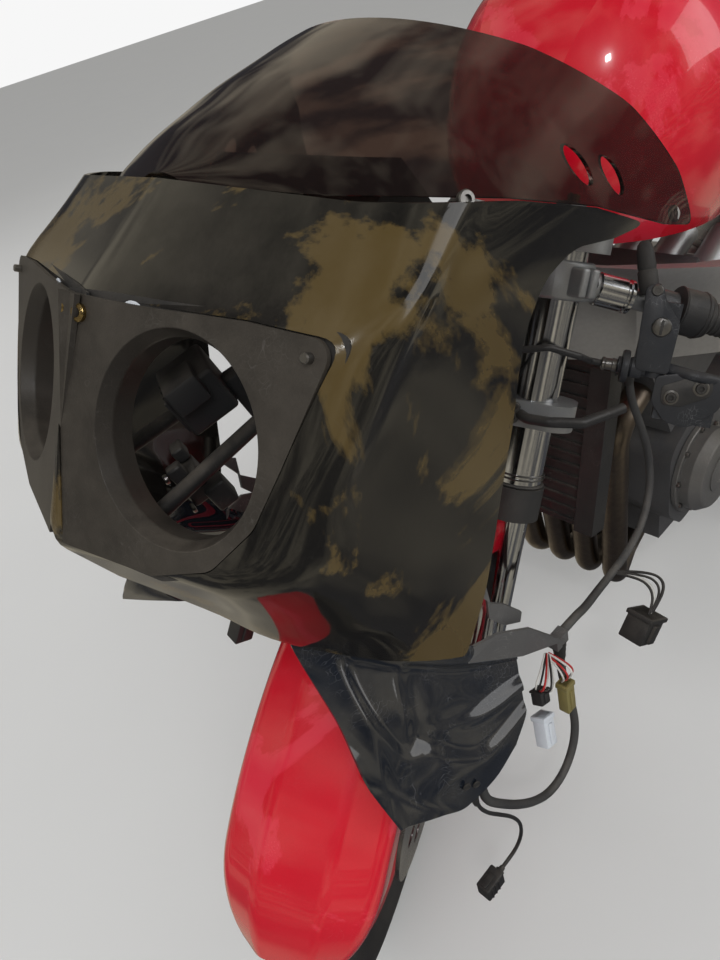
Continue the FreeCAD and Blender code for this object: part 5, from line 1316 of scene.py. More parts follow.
@dataclass
class DuctPanels(Assembly):
    """Moulded lower panels with their flange, sunk recess and light pocket."""

    rows: tuple = (
        ((864, 157.1, 696), (830, 176.6, 670), (790, 191.4, 641), (752, 199.3, 613), (712, 197, 560)),
        ((870, 128, 682), (843, 150, 660), (798, 180, 620), (748, 197, 577), (687, 212, 534)),
        ((878, 172, 622), (848, 196, 590), (806, 214, 560), (760, 222, 530), (700, 226, 512)),
        ((890, 212, 569), (856, 226, 530), (815, 236, 505), (768, 238, 487), (712, 236, 493)),
        ((890, 240, 539), (848, 240, 497), (815, 240, 468), (775, 240, 460), (738, 240, 472)))
    fine: tuple[int, int] = (88, 112)
    wall: float = 0.003

    def build(self) -> None:
        """Model both panels; the left one also stands for the plain node."""
        for side in Side:
            rows = []
            down, back = self.fine
            for i in range(down + 1):
                drop = 4 * i / down
                line = []
                for j in range(back + 1):
                    reach = 4 * j / back
                    across = [along([(k, *point) for k, point in enumerate(row)], reach)
                              for row in self.rows]
                    x, y, z = along([(k, *point) for k, point in enumerate(across)], drop)
                    depth = self._relief(drop, reach)
                    line.append(((x - 0.35 * depth) * MM, (y - 0.9 * depth) * side.value * MM, z * MM))
                rows.append(line)
            sheet = self.grid("duct_" + side.word, rows)
            sign = side.value
            self.facing(sheet, lambda at: Vector((0.5, sign, 0.3)))
            self.modify(sheet, "SOLIDIFY", thickness=self.wall, offset=-1.0)
            self.shell("duct_" + side.word, sheet, "duct_gloss", 0.0008, 60, 40)
            if side is Side.LEFT:
                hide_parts("lower_ducts")
        for number, (x, z) in enumerate(((800, 484), (812, 496))):
            self.screw(f"duct_hole_{number}", Vector((x, 240.2, z)) * MM, Vector((0.3, 1, 0)), 0.004,
                       "black_rubber", 0.0008, 0.7)
        self.block("duct_lead_clip", Vector((791, 231.5, 468)) * MM, (0.026, 0.014, 0.012), "black_plastic")

    @staticmethod
    def _step(value: float, width: float) -> float:
        """Smooth rise from 0 to 1 over a width about nought."""
        share = min(1.0, max(0.0, value / width * 0.5 + 0.5))
        return share * share * (3 - 2 * share)

    def _relief(self, drop: float, reach: float) -> float:
        """Depth in millimetres below the plain panel at a place on it.

        Args:
            drop: Rows down the panel.
            reach: Columns back along it.

        Returns:
            The depth.
        """
        flange = 0.98 - 0.3 * (drop - 1.2) if drop < 3 else 0.44 - 0.42 * (drop - 3)
        depth = -1.6 * self._step(flange - reach, 0.16) * self._step(drop - 1.02, 0.1)
        recess = 1.28 - 0.42 * math.sin(math.pi * min(1.0, max(0.0, (drop - 1.05) / 1.5)))
        inside = self._step(reach - recess, 0.16) * self._step(drop - 1.14, 0.16)
        ridge = 1.92 - 0.62 * (drop - 1.3)
        upper = 2.26 - 0.18 * (reach - 1.5)
        floor = self._step(upper - drop, 0.14)
        depth += inside * floor * (3.4 + 3.6 * self._step(reach - ridge, 0.16))
        lens = 0.0
        nose = 1.52
        if reach > nose:
            spread = min(1.0, (reach - nose) / 1.2)
            middle = 2.16 + 0.1 * (reach - nose)
            half = 0.05 + 0.24 * math.sin(0.5 * math.pi * spread)
            lens = self._step(half - abs(drop - middle - 0.1 * spread), 0.16)
        return depth * (1 - lens) + 5.6 * lens


@dataclass
class LampPanelTrim(Assembly):
    """Fastenings, rear tabs and edge seals of the lamp panel."""

    fastenings: tuple = (
        ("panel_washer", ((0.0095, 0), (0.0115, 0.0012), (0.0105, 0.003), (0.006, 0.0036)), "black_plastic",
         (-0.09, 0.082, -0.0062), 28),
        ("well_nut", ((0.0068, 0), (0.0068, 0.0042), (0.0056, 0.0052), (0.0036, 0.0052), (0.0034, 0.0012)),
         "brass", (-0.09, 0.082, -0.0034), 24),
        ("panel_slot", ((0.0052, 0), (0.0056, 0.0009), (0.005, 0.0013), (0.002, 0.0013)), "plug_white",
         (-0.04, 0.0865, -0.0062), 24),
        ("panel_stud", ((0.0085, 0), (0.0092, 0.001), (0.0075, 0.0026), (0.0036, 0.003), (0.0034, 0.0095),
                        (0.0026, 0.0105)), "plain_steel", (0.112, 0.064, -0.0062), 24),
        ("panel_rivet", ((0.0058, 0), (0.0064, 0.0008), (0.0058, 0.0014), (0.003, 0.0006)), "cover_grey",
         (-0.085, -0.082, -0.0062), 24))

    def build(self) -> None:
        """Fit the fastenings, the seal and the rear tab of both facets."""
        for side in Side:
            facet = LampFacet(side)
            out = facet.matrix().to_3x3() @ Vector((0, 0, 1))
            for name, profile, finish, place, sides in self.fastenings:
                stretch = Matrix.Diagonal((1, 1.7 if name == "panel_slot" else 1, 1, 1))
                self.turned(f"{name}_{side.word}", profile, finish, axes_of(out, facet.at(*place)) @ stretch,
                            sides)
            self._seal(side)
            rows = []
            for rise in (0.026, 0.012, 0.0, -0.012, -0.026):
                wide = 0.012 * math.sqrt(max(0.0, 1 - (rise / 0.027) ** 2)) + 0.004
                rows.append([tuple(facet.at(-0.112 + wide * share, rise - 0.02, -0.03))
                             for share in (0, 0.5, 1)])
            tab = self.grid(f"inner_tab_{side.word}", rows)
            self.facing(tab, lambda at: Vector((1, 0, 0.4)))
            self.modify(tab, "SOLIDIFY", thickness=0.003, offset=-1.0)
            self.modify(tab, "SUBSURF", levels=2)
            self.settle(f"inner_tab_{side.word}", tab, "panel_satin")

    def _seal(self, side: Side) -> None:
        """Foam strip behind the panel's edge, which closes its gap to the cowl.

        Args:
            side: The lamp panel's side.
        """
        grown = [(x * 1.035 + 3, y * 1.05, r) for x, y, r in FairingCowl.opening[1:-1]]
        outline = facet_outline(side, [(-112, 100, 0), *grown, (-112, -97, 0)])
        seal = self.prism(outline, -0.0125, -0.0104, Matrix())
        ring = [(0.0775 * math.cos(step * math.pi / 24), 0.0775 * math.sin(step * math.pi / 24))
                for step in range(48)]
        self.cut(seal, self.prism(ring, -0.02, 0.0, Matrix()))
        self.settle("panel_seal_" + side.word, seal, "black_rubber", LampFacet(side).mirrored())


@dataclass
class LooseWiring(Assembly):
    """Free leads beside the machine: two stretches of taped harness and a thin lead with its plug."""

    upper: tuple = (
        (0.338, 0.136, 0.661), (0.338, 0.136, 0.622), (0.324, 0.143, 0.572), (0.313, 0.15, 0.52),
        (0.322, 0.158, 0.47), (0.356, 0.166, 0.438), (0.404, 0.173, 0.43), (0.454, 0.18, 0.438),
        (0.502, 0.188, 0.452), (0.548, 0.199, 0.47), (0.582, 0.21, 0.496), (0.612, 0.21, 0.496))
    lower: tuple = (
        (0.62, 0.213, 0.492), (0.62, 0.213, 0.458), (0.616, 0.2115, 0.422), (0.608, 0.211, 0.386),
        (0.601, 0.211, 0.348), (0.6, 0.212, 0.312), (0.61, 0.213, 0.278), (0.635, 0.214, 0.254),
        (0.668, 0.216, 0.258), (0.701, 0.219, 0.288), (0.731, 0.222, 0.328), (0.758, 0.225, 0.372),
        (0.778, 0.227, 0.408), (0.784, 0.228, 0.434), (0.784, 0.228, 0.462))
    thin: tuple = (
        (0.798, 0.231, 0.462), (0.798, 0.231, 0.434), (0.786, 0.23, 0.4), (0.766, 0.229, 0.366),
        (0.748, 0.228, 0.334), (0.736, 0.226, 0.3), (0.735, 0.223, 0.268), (0.743, 0.219, 0.244),
        (0.758, 0.216, 0.234), (0.776, 0.216, 0.234))
    harness: float = 0.005
    lead: float = 0.0022
    lead_plug_seal_rings: tuple = ((0.0042, 0), (0.0054, 0.001), (0.0054, 0.004), (0.0036, 0.005),
                                   (0.003, 0.009))

    def build(self) -> None:
        """Make the three leads, the thin lead's plug and the exit sleeves, in place of the plain nodes."""
        upper = self.tube("harness_upper_run", self.upper, self.harness, "loom_tape", mesh=False)
        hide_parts("harness_upper")
        lower = self.tube("harness_lower_run", self.lower, self.harness, "loom_tape", mesh=False)
        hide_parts("harness_lower")
        thin = self.tube("thin_lead_run", self.thin, self.lead, "cable_sheath", mesh=False)
        plug = self._plug()
        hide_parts("thin_lead")
        self._relief("upper_exit_sleeve", self.upper[0], (0, 0, -1), self.harness)
        self._relief("lower_exit_sleeve", self.lower[0], (0, 0, -1), self.harness)
        self._relief("thin_exit_sleeve", self.thin[0], (0, 0, -1), self.lead)

    def _relief(self, name: str, place: Point, heading: Point, radius: float) -> None:
        """Tapered sleeve where a lead leaves its clip.

        Args:
            name: The piece's name.
            place: Where the lead leaves the clip.
            heading: The lead's way.
            radius: The lead's radius.
        """
        self.turned(name, [(radius + 0.0028, -0.002), (radius + 0.003, 0.004), (radius + 0.0022, 0.006),
                           (radius + 0.0022, 0.012), (radius + 0.0016, 0.014), (radius + 0.0014, 0.022),
                           (radius + 0.0005, 0.026)], "black_rubber",
                    axes_of(Vector(heading), Vector(place)), 24)

    def _plug(self) -> list[Piece]:
        """Moulded connector at the thin lead's end, with its ribs, latch and seal.

        Returns:
            The connector's pieces, its shell first.
        """
        at = Vector((0.791, 0.216, 0.234))
        shell = self.block("lead_plug_shell", at, (0.03, 0.018, 0.022), "black_plastic", bevel=0.0022,
                           segments=3)
        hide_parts("lead_plug")
        pieces = [shell]
        for number in range(3):
            pieces.append(self.block(f"lead_plug_rib_{number}",
                                     at + Vector((-0.004 + 0.006 * number, 0.0088, 0)),
                                     (0.0022, 0.0024, 0.019), "black_plastic", bevel=0.0006))
        pieces.append(self.block("lead_plug_latch", at + Vector((0.004, 0, 0.0112)), (0.018, 0.008, 0.0032),
                                 "black_plastic", bevel=0.0008))
        pieces.append(self.turned("lead_plug_seal", self.lead_plug_seal_rings, "black_rubber",
                                  axes_of(Vector((-1, 0, 0)), at + Vector((-0.0145, 0, 0))), 20))
        return pieces


@dataclass
class HangingBranches(Assembly):
    """Short branches, their connectors and the coloured wires held where the photograph shows them."""

    def build(self) -> None:
        """Place every held branch and connector."""
        self._duct_connectors()
        self._large_connector()
        self._nose_connector()

    def _wires(self, name: str, start: Point, end: Point, finishes: Sequence[str], spread: float, bow: Point,
               radius: float = 0.0011) -> None:
        """Fan of thin wires between two fastened ends.

        Args:
            name: The fan's name.
            start: Where the wires start.
            end: Where they end.
            finishes: One finish for each wire.
            spread: Distance between wires.
            bow: How far their middle stands off.
            radius: Radius of a wire.
        """
        first, last, lift = Vector(start), Vector(end), Vector(bow)
        across = (last - first).cross(Vector((0.3, 0.2, 1))).normalized()
        for number, finish in enumerate(finishes):
            shift = across * spread * (number - (len(finishes) - 1) / 2)
            wobble = lift * (1 + 0.22 * math.sin(2.4 * number))
            points = [tuple(first + shift * 0.35), tuple(first.lerp(last, 0.25) + shift + wobble * 0.8),
                      tuple(first.lerp(last, 0.55) + shift * 1.4 + wobble),
                      tuple(first.lerp(last, 0.85) + shift * 0.9 + wobble * 0.5), tuple(last + shift * 0.6)]
            self.tube(f"{name}_{number}", points, radius, finish)

    def _connector(self, name: str, at: Vector, heading: Vector, size: Point, finish: str) -> None:
        """Moulded connector with a collar, latch and row of ribs.

        Args:
            name: The piece's name.
            at: Its middle.
            heading: The way that its ways look.
            size: Width, depth and length.
            finish: Name of its finish.
        """
        place = axes_of(heading, at)
        wide, deep, long = size
        self.block(name, (0, 0, 0), size, finish, place, bevel=0.0016, segments=2)
        self.block(name + "_collar", (0, 0, -long * 0.42), (wide * 1.12, deep * 1.14, long * 0.16), finish,
                   place, bevel=0.001)
        self.block(name + "_latch", (0, deep * 0.52, long * 0.08), (wide * 0.36, deep * 0.2, long * 0.66),
                   finish, place, bevel=0.0008)
        for number in range(3):
            self.block(f"{name}_rib_{number}", (wide * 0.5, deep * 0.27 * (number - 1), long * 0.05),
                       (0.0016, deep * 0.12, long * 0.72), finish, place, bevel=0.0005)

    def _duct_connectors(self) -> None:
        """White and olive connectors beside the grey strip's point."""
        root = (0.64, 0.212, 0.492)
        self._connector("pale_connector", Vector((0.69, 0.238, 0.438)), Vector((0.35, 0.35, -0.85)),
                        (0.018, 0.015, 0.034), "plug_white")
        self._connector("pale_connector_end", Vector((0.676, 0.226, 0.47)), Vector((0.35, 0.35, -0.85)),
                        (0.016, 0.013, 0.016), "black_plastic")
        self._connector("olive_connector", Vector((0.64, 0.232, 0.436)), Vector((0.1, 0.1, -0.98)),
                        (0.015, 0.013, 0.04), "wire_olive")
        self._wires("pale_wire", root, (0.674, 0.224, 0.476),
                    ("wire_white", "cable_sheath", "wire_white", "wire_red", "cable_sheath", "wire_white"),
                    0.0026, (0.018, 0.016, 0.01))
        self._wires("olive_wire", root, (0.638, 0.229, 0.458),
                    ("wire_red", "wire_white", "cable_sheath", "wire_red", "wire_white"), 0.0024,
                    (0.004, 0.018, 0.01))

    def _large_connector(self) -> None:
        """Large black block hanging from the taped harness."""
        at = Vector((0.482, 0.234, 0.398))
        self._wires("block_wire", (0.454, 0.182, 0.438), tuple(at + Vector((-0.012, 0.004, 0.014))),
                    ("cable_sheath", "cable_sheath", "wire_white", "cable_sheath", "cable_sheath"), 0.0032,
                    (-0.022, 0.02, 0.01), 0.0016)
        self._connector("large_connector", at, Vector((0.62, -0.1, -0.78)), (0.044, 0.03, 0.036),
                        "black_plastic")

    def _nose_connector(self) -> None:
        """Connector and wires that hang between the cowl's nose and the mudguard."""
        self._connector("nose_connector", Vector((0.866, 0.036, 0.644)), Vector((0.45, -0.2, -0.85)),
                        (0.02, 0.016, 0.034), "black_plastic")
        self._wires("nose_wire", (0.838, 0.044, 0.738), (0.86, 0.038, 0.66),
                    ("wire_white", "cable_sheath", "wire_blue", "cable_sheath", "wire_white"), 0.003,
                    (0.006, 0.012, 0.004), 0.0013)


@dataclass
class FrontMudguard(Assembly):
    """Smooth front mudguard over the tyre, in place of the plain one."""

    body = Body.STEERING
    profile: tuple = ((276, 78, 0), (318, 78, 22), (338, 32.8, 34), (338, -32.8, 34), (318, -78, 22),
                      (276, -78, 0))
    hub: float = 42.0
    first: float = -5.0
    span: float = 143.0
    wall: float = 0.003

    def build(self) -> None:
        """Sweep the profile round the wheel and round its ends."""
        across = rounded_outline(self.profile, 6)
        rows = []
        for step in range(109):
            share = step / 108
            angle = math.radians(self.first + self.span * share)
            nose = max(0.0, 1 - share / 0.13)
            tail = max(0.0, 1 - (1 - share) / 0.05)
            narrow = 1 - 0.3 * nose ** 2.2 - 0.16 * tail ** 2
            line = []
            for radius, y in across:
                skirt = (338 - radius) / 62
                cut = 0.2 * skirt * max(0.0, math.cos(math.pi * (share - 0.6) / 0.42)) ** 2
                reach = radius + 62 * cut - 7 * nose ** 2
                ahead, rise = self.hub + reach * math.cos(angle), reach * math.sin(angle)
                line.append(tuple(STEERING.at(ahead * MM, y * narrow * MM, rise * MM)))
            rows.append(line)
        sheet = self.grid("front_guard", rows)
        centre = STEERING.at(self.hub * MM, 0, 0)
        self.facing(sheet, lambda at: at - centre)
        self.modify(sheet, "SOLIDIFY", thickness=self.wall, offset=-1.0)
        self.shell("front_guard", sheet, "red_paint", 0.0009, 60, 50)
        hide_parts("front_mudguard")


@dataclass
class HandControls(Assembly):
    """Detail of the lever perches, clip-on clamps, bars, switch housings and grips."""

    body = Body.STEERING
    perch: tuple = (1.75, 210.0, 585.2)
    aim: tuple = (-0.35, 0.93, -0.12)
    perch_plate_corners: tuple = ((191, 603, 6), (205, 610, 8), (213, 592, 22), (231, 572, 14),
                                  (231, 520, 5), (198, 520, 6), (194, 562, 40))
    perch_screw_rings: tuple = ((0.0096, 0), (0.0098, 0.001), (0.0088, 0.0026), (0.006, 0.0036),
                                (0.002, 0.0039))
    left_clamp_corners: tuple = ((220, 517, 7), (240, 523, 16), (262, 528, 18), (286, 520, 14),
                                 (288, 494, 16), (262, 468, 24), (238, 472, 12), (221, 490, 10))
    right_clamp_corners: tuple = ((205, 512, 6), (232, 518, 10), (236, 494, 12), (214, 486, 12))
    lever_clamp_web_corners: tuple = ((228, 508, 6), (252, 521, 10), (276, 522, 10), (276, 505, 10),
                                      (250, 490, 10), (230, 488, 9))
    adjuster_wheel_rings: tuple = ((0.009, 0), (0.0164, 0.001), (0.0172, 0.0024), (0.0172, 0.0062),
                                   (0.016, 0.008), (0.0088, 0.0084), (0.008, 0.011))
    adjuster_barrel_rings: tuple = ((0.0102, 0), (0.0108, 0.0012), (0.0108, 0.0105), (0.0098, 0.0118))
    cable_end_rings: tuple = ((0.0066, 0), (0.0072, 0.0012), (0.0072, 0.005), (0.0062, 0.0056),
                              (0.0062, 0.012), (0.007, 0.0128), (0.007, 0.015), (0.0052, 0.0164))
    pot_cap_rings: tuple = ((0.0152, -0.001), (0.0172, 0), (0.0172, 0.0075), (0.016, 0.0095),
                            (0.012, 0.0102))
    pot_band_rings: tuple = ((0.015, 0), (0.0159, 0.0008), (0.0159, 0.0052), (0.015, 0.006))
    brake_union_rings: tuple = ((0.0062, 0), (0.0078, 0.001), (0.0078, 0.008), (0.006, 0.009),
                                (0.0056, 0.013))
    switch_lip_rings: tuple = ((0.012, 0), (0.0243, 0), (0.0249, 0.0008), (0.0243, 0.0018), (0.012, 0.0018))
    grip_flange_rings: tuple = ((0.0158, 0), (0.0218, 0.0006), (0.0224, 0.0022), (0.0216, 0.004),
                                (0.0158, 0.0052))
    grip_rib_rings: tuple = ((0.015, 0), (0.0166, 0), (0.0169, 0.0009), (0.0166, 0.0018), (0.015, 0.0018))
    bar_end_rings: tuple = ((0.013, 0), (0.015, 0.001), (0.0158, 0.006), (0.015, 0.0125), (0.006, 0.014),
                            (0.0052, 0.012))
    lever_ball_rings: tuple = ((0.004, -0.001), (0.0062, 0.0008), (0.008, 0.0036), (0.0086, 0.0074),
                               (0.0078, 0.0112), (0.0056, 0.014), (0.0024, 0.0154))

    def build(self) -> None:
        """Fit both sides, the clutch's parts on the left and the brake's on the right."""
        for side in Side:
            self._clip_on(side)
            self._perch_plate(side)
            self._switches(side)
            self._grip(side)
            self._lever(side)
        self._clutch_adjuster()
        self._brake_pot()

    def _at(self, side: Side, x: float, y: float, z: float) -> Vector:
        """Row-frame point of a point in the steering's millimetres."""
        return STEERING.at(x * MM, y * side.value * MM, z * MM)

    def _bar(self, side: Side, distance: float) -> Vector:
        """Point of the handlebar's middle line, from its clamp outward.

        Args:
            side: The bar's side.
            distance: Millimetres out from the stem.

        Returns:
            The point.
        """
        step = distance - 118
        return self._at(side, self.perch[0] + self.aim[0] * step, self.perch[1] + self.aim[1] * step,
                        self.perch[2] + self.aim[2] * step)

    @staticmethod
    def _face(x: float) -> Matrix:
        """Plane across the steering: its x outward to the left, its y up the stem, its z ahead."""
        axes = Matrix(((0, 0, 1, x * MM), (1, 0, 0, 0), (0, 1, 0, 0), (0, 0, 0, 1)))
        return STEERING.matrix() @ axes

    def _plate(self, name: str, side: Side, x: float, corners: Sequence[Point], thick: float,
               finish: str) -> None:
        """Plate that faces ahead, mirrored on the right side.

        Args:
            name: The piece's name.
            side: The plate's side.
            x: Where its back face lies, in millimetres.
            corners: Corners and radii of the left one.
            thick: Its thickness.
            finish: Name of its finish.
        """
        given = [(y * side.value, z, r) for y, z, r in corners]
        self.plate(name, given if side is Side.LEFT else given[::-1], 0, thick, finish, self._face(x))

    def _bolt(self, name: str, side: Side, x: float, y: float, z: float, radius: float) -> None:
        """Washer and socket screw on a face that looks ahead.

        Args:
            name: The piece's name.
            side: The bolt's side.
            x: Place ahead of the stem in millimetres.
            y: Place outward.
            z: Place up the stem.
            radius: Radius of the washer.
        """
        ahead = STEERING.way(1, 0, 0)
        foot = self._at(side, x, y, z)
        self.turned(name + "_washer",
                    [(radius, 0), (radius, 0.0012), (radius * 0.92, 0.0016), (radius * 0.6, 0.0016)],
                    "plain_steel", axes_of(ahead, foot), 28)
        self.screw(name + "_head", foot + ahead * 0.0014, ahead, radius * 0.7, "black_steel", 0.0042)

    def _perch_plate(self, side: Side) -> None:
        """Front plate of the perch, its slotted screw, pivot, rubber boot and lever clamp.

        Args:
            side: Left or right of the rider.
        """
        self._plate("perch_plate_" + side.word, side, 32.4, self.perch_plate_corners, 4.2, "black_alloy")
        ahead = STEERING.way(1, 0, 0)
        rise = STEERING.way(0, 0, 1)
        foot = self._at(side, 36.4, 214, 566)
        self.turned("perch_screw_" + side.word, self.perch_screw_rings, "plain_steel", axes_of(ahead, foot),
                    32)
        slot = axes_of(ahead, foot, rise)
        # A thin near-black block in the screw's slot: painted shade of the slot.
        self.block("perch_screw_slot_" + side.word, (0, 0, 0.0034), (0.0026, 0.015, 0.0014), "black_rubber",
                   slot, bevel=0.0003)
        self.screw("perch_pivot_" + side.word, self._at(side, 36.2, 202, 601), ahead, 0.0056, "plain_steel",
                   0.0034)
        low, high = self._at(side, 25, 196, 596), self._at(side, 22, 179, 646)
        long = (high - low).length
        self.turned("perch_boot_" + side.word,
                    [(0.0085, 0), (0.0098, 0.003), (0.0098, long * 0.42), (0.0086, long * 0.46),
                     (0.0092, long * 0.52), (0.0084, long * 0.8), (0.007, long * 0.93), (0.0036, long)],
                    "black_rubber", axes_of(high - low, low), 32)
        self._plate("lever_clamp_" + side.word, side, 33.2, self.left_clamp_corners if side is Side.LEFT
                    else self.right_clamp_corners, 3.4, "black_alloy")
        if side is Side.LEFT:
            self._bolt("clamp_bolt_low", side, 36.4, 239, 498, 0.0076)
            self._bolt("clamp_bolt_high", side, 36.4, 265, 512, 0.008)
            self._plate("lever_clamp_web", side, 36.2, self.lever_clamp_web_corners, 1.4, "black_steel")

    def _clutch_adjuster(self) -> None:
        """Knurled wheel, its barrel and the cable's crimped end."""
        side = Side.LEFT
        start, end = self._at(side, 25.0, 204, 520.8), self._at(side, 26.6, 163, 519.8)
        heading = end - start
        wheel = self.turned("adjuster_wheel", self.adjuster_wheel_rings, "black_alloy",
                            axes_of(heading, start + heading * 0.28), 56)
        middle = start + heading * 0.28
        axis = heading.normalized()
        for number, vertex in enumerate(wheel.data.vertices):
            spoke = vertex.co - middle
            flat = spoke - axis * spoke.dot(axis)
            if flat.length > 0.0168 and number % 2:
                vertex.co -= flat * 0.055
        self.turned("adjuster_barrel", self.adjuster_barrel_rings, "black_alloy",
                    axes_of(heading, start - heading * 0.02), 32)
        self.turned("cable_end", self.cable_end_rings, "plain_steel",
                    axes_of(heading, start + heading * 0.58), 28)

    def _brake_pot(self) -> None:
        """Cap, band and union of the brake's fluid pot."""
        side = Side.RIGHT
        low, high = self._at(side, 35.75, 194, 533.2), self._at(side, 49.75, 192, 577.2)
        up = (high - low).normalized()
        self.turned("pot_cap", self.pot_cap_rings, "black_plastic", axes_of(up, high), 44)
        self.turned("pot_band", self.pot_band_rings, "plain_steel", axes_of(up, low.lerp(high, 0.35)), 40)
        self.turned("brake_union", self.brake_union_rings, "plain_steel",
                    axes_of(self._at(side, 29, 180, 529) - self._at(side, 29.75, 222, 529),
                            self._at(side, 29.75, 211, 529)), 6)

    def _clip_on(self, side: Side) -> None:
        """Lips, split ears and bolt of the clamp, and the bright sleeve on the bar's root.

        Args:
            side: Left or right of the rider.
        """
        rise = STEERING.way(0, 0, 1)
        for name, height, flip in (("top", 615.2, 1), ("low", 582.8, -1)):
            self.turned(f"clamp_lip_{name}_{side.word}",
                        [(0.0274, 0), (0.0362, 0), (0.0352, 0.0018 * flip), (0.033, 0.003 * flip),
                         (0.0276, 0.003 * flip)], "cast_alloy",
                        axes_of(rise, self._at(side, 42, 103, height)), 56, closed=True)
        root = self._at(side, 68, 126, 599)
        out = STEERING.way(0.66, 0.75 * side.value, 0)
        place = axes_of(out, root, rise)
        self.block("clamp_ear_a_" + side.word, (0.0075, 0, 0.002), (0.0105, 0.029, 0.026), "cast_alloy",
                   place, bevel=0.0032, segments=4)
        self.block("clamp_ear_b_" + side.word, (-0.006, 0, 0.002), (0.0105, 0.029, 0.026), "cast_alloy",
                   place, bevel=0.0032, segments=4)
        across = place.to_3x3() @ Vector((1, 0, 0))
        self.screw("clamp_ear_bolt_" + side.word, root + across * 0.0125 + out * 0.004, across, 0.0062,
                   "black_steel", 0.0062)
        start, end = self._bar(side, 45), self._bar(side, 84)
        heading = end - start
        long = heading.length
        self.turned("bar_sleeve_" + side.word,
                    [(0.016, 0), (0.0172, 0.0015), (0.0172, long - 0.01), (0.016, long - 0.0085),
                     (0.016, long - 0.0065), (0.0176, long - 0.005), (0.0176, long - 0.0015), (0.015, long)],
                    "polished_tube", axes_of(heading, start), 48)

    def _switches(self, side: Side) -> None:
        """Lips and rocker switches of a switch housing.

        Args:
            side: Left or right of the rider.
        """
        start, end = self._bar(side, 134), self._bar(side, 161)
        heading = (end - start).normalized()
        for name, distance in (("inner", 134.4), ("outer", 159.6)):
            self.turned(f"switch_lip_{name}_{side.word}", self.switch_lip_rings, "black_plastic",
                        axes_of(heading, self._bar(side, distance)), 48, closed=True)
        back = STEERING.way(-1, 0, 0.25)
        place = axes_of(back, self._bar(side, 147) + back.normalized() * 0.0235, heading)
        caps = ("wire_red", "black_rubber") if side is Side.RIGHT else ("black_rubber", "wire_olive")
        for number, finish in enumerate((*caps, "plug_white")):
            self.block(f"switch_button_{side.word}_{number}",
                       ((number - 1) * 0.0105, 0.0012 * number, 0.0014), (0.0085, 0.01, 0.0058), finish,
                       place, bevel=0.0014, segments=3)

    def _grip(self, side: Side) -> None:
        """Ribs, inner flange and bar-end weight of a grip.

        Args:
            side: Left or right of the rider.
        """
        heading = (self._bar(side, 200) - self._bar(side, 180)).normalized()
        self.turned("grip_flange_" + side.word, self.grip_flange_rings, "black_rubber",
                    axes_of(heading, self._bar(side, 165)), 44)
        rib = self.turned(f"grip_rib_{side.word}_0", self.grip_rib_rings, "black_rubber",
                          axes_of(heading, self._bar(side, 174)), 36, closed=True)
        for number in range(1, 17):
            copy = self.copied(rib, Matrix.Translation(heading * 0.0062 * number))
            copy.name = f"grip_rib_{side.word}_{number}"
            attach(copy, self.body.value)
        self.turned("bar_end_" + side.word, self.bar_end_rings, "cover_grey",
                    axes_of(heading, self._bar(side, 286.4)), 40)

    def _lever(self, side: Side) -> None:
        """Ball end of a lever and its pivot screw.

        Args:
            side: Left or right of the rider.
        """
        tip = self._at(side, -4.2, 388, 509.2)
        root = self._at(side, 23.75, 216, 536.6)
        rise = STEERING.way(0, 0, 1)
        self.screw("lever_pivot_" + side.word, root, rise, 0.0074, "plain_steel", 0.0046)
        heading = tip - self._at(side, 8, 330, 514)
        self.turned("lever_ball_" + side.word, self.lever_ball_rings, "black_alloy",
                    axes_of(heading, tip - heading.normalized() * 0.012), 28)


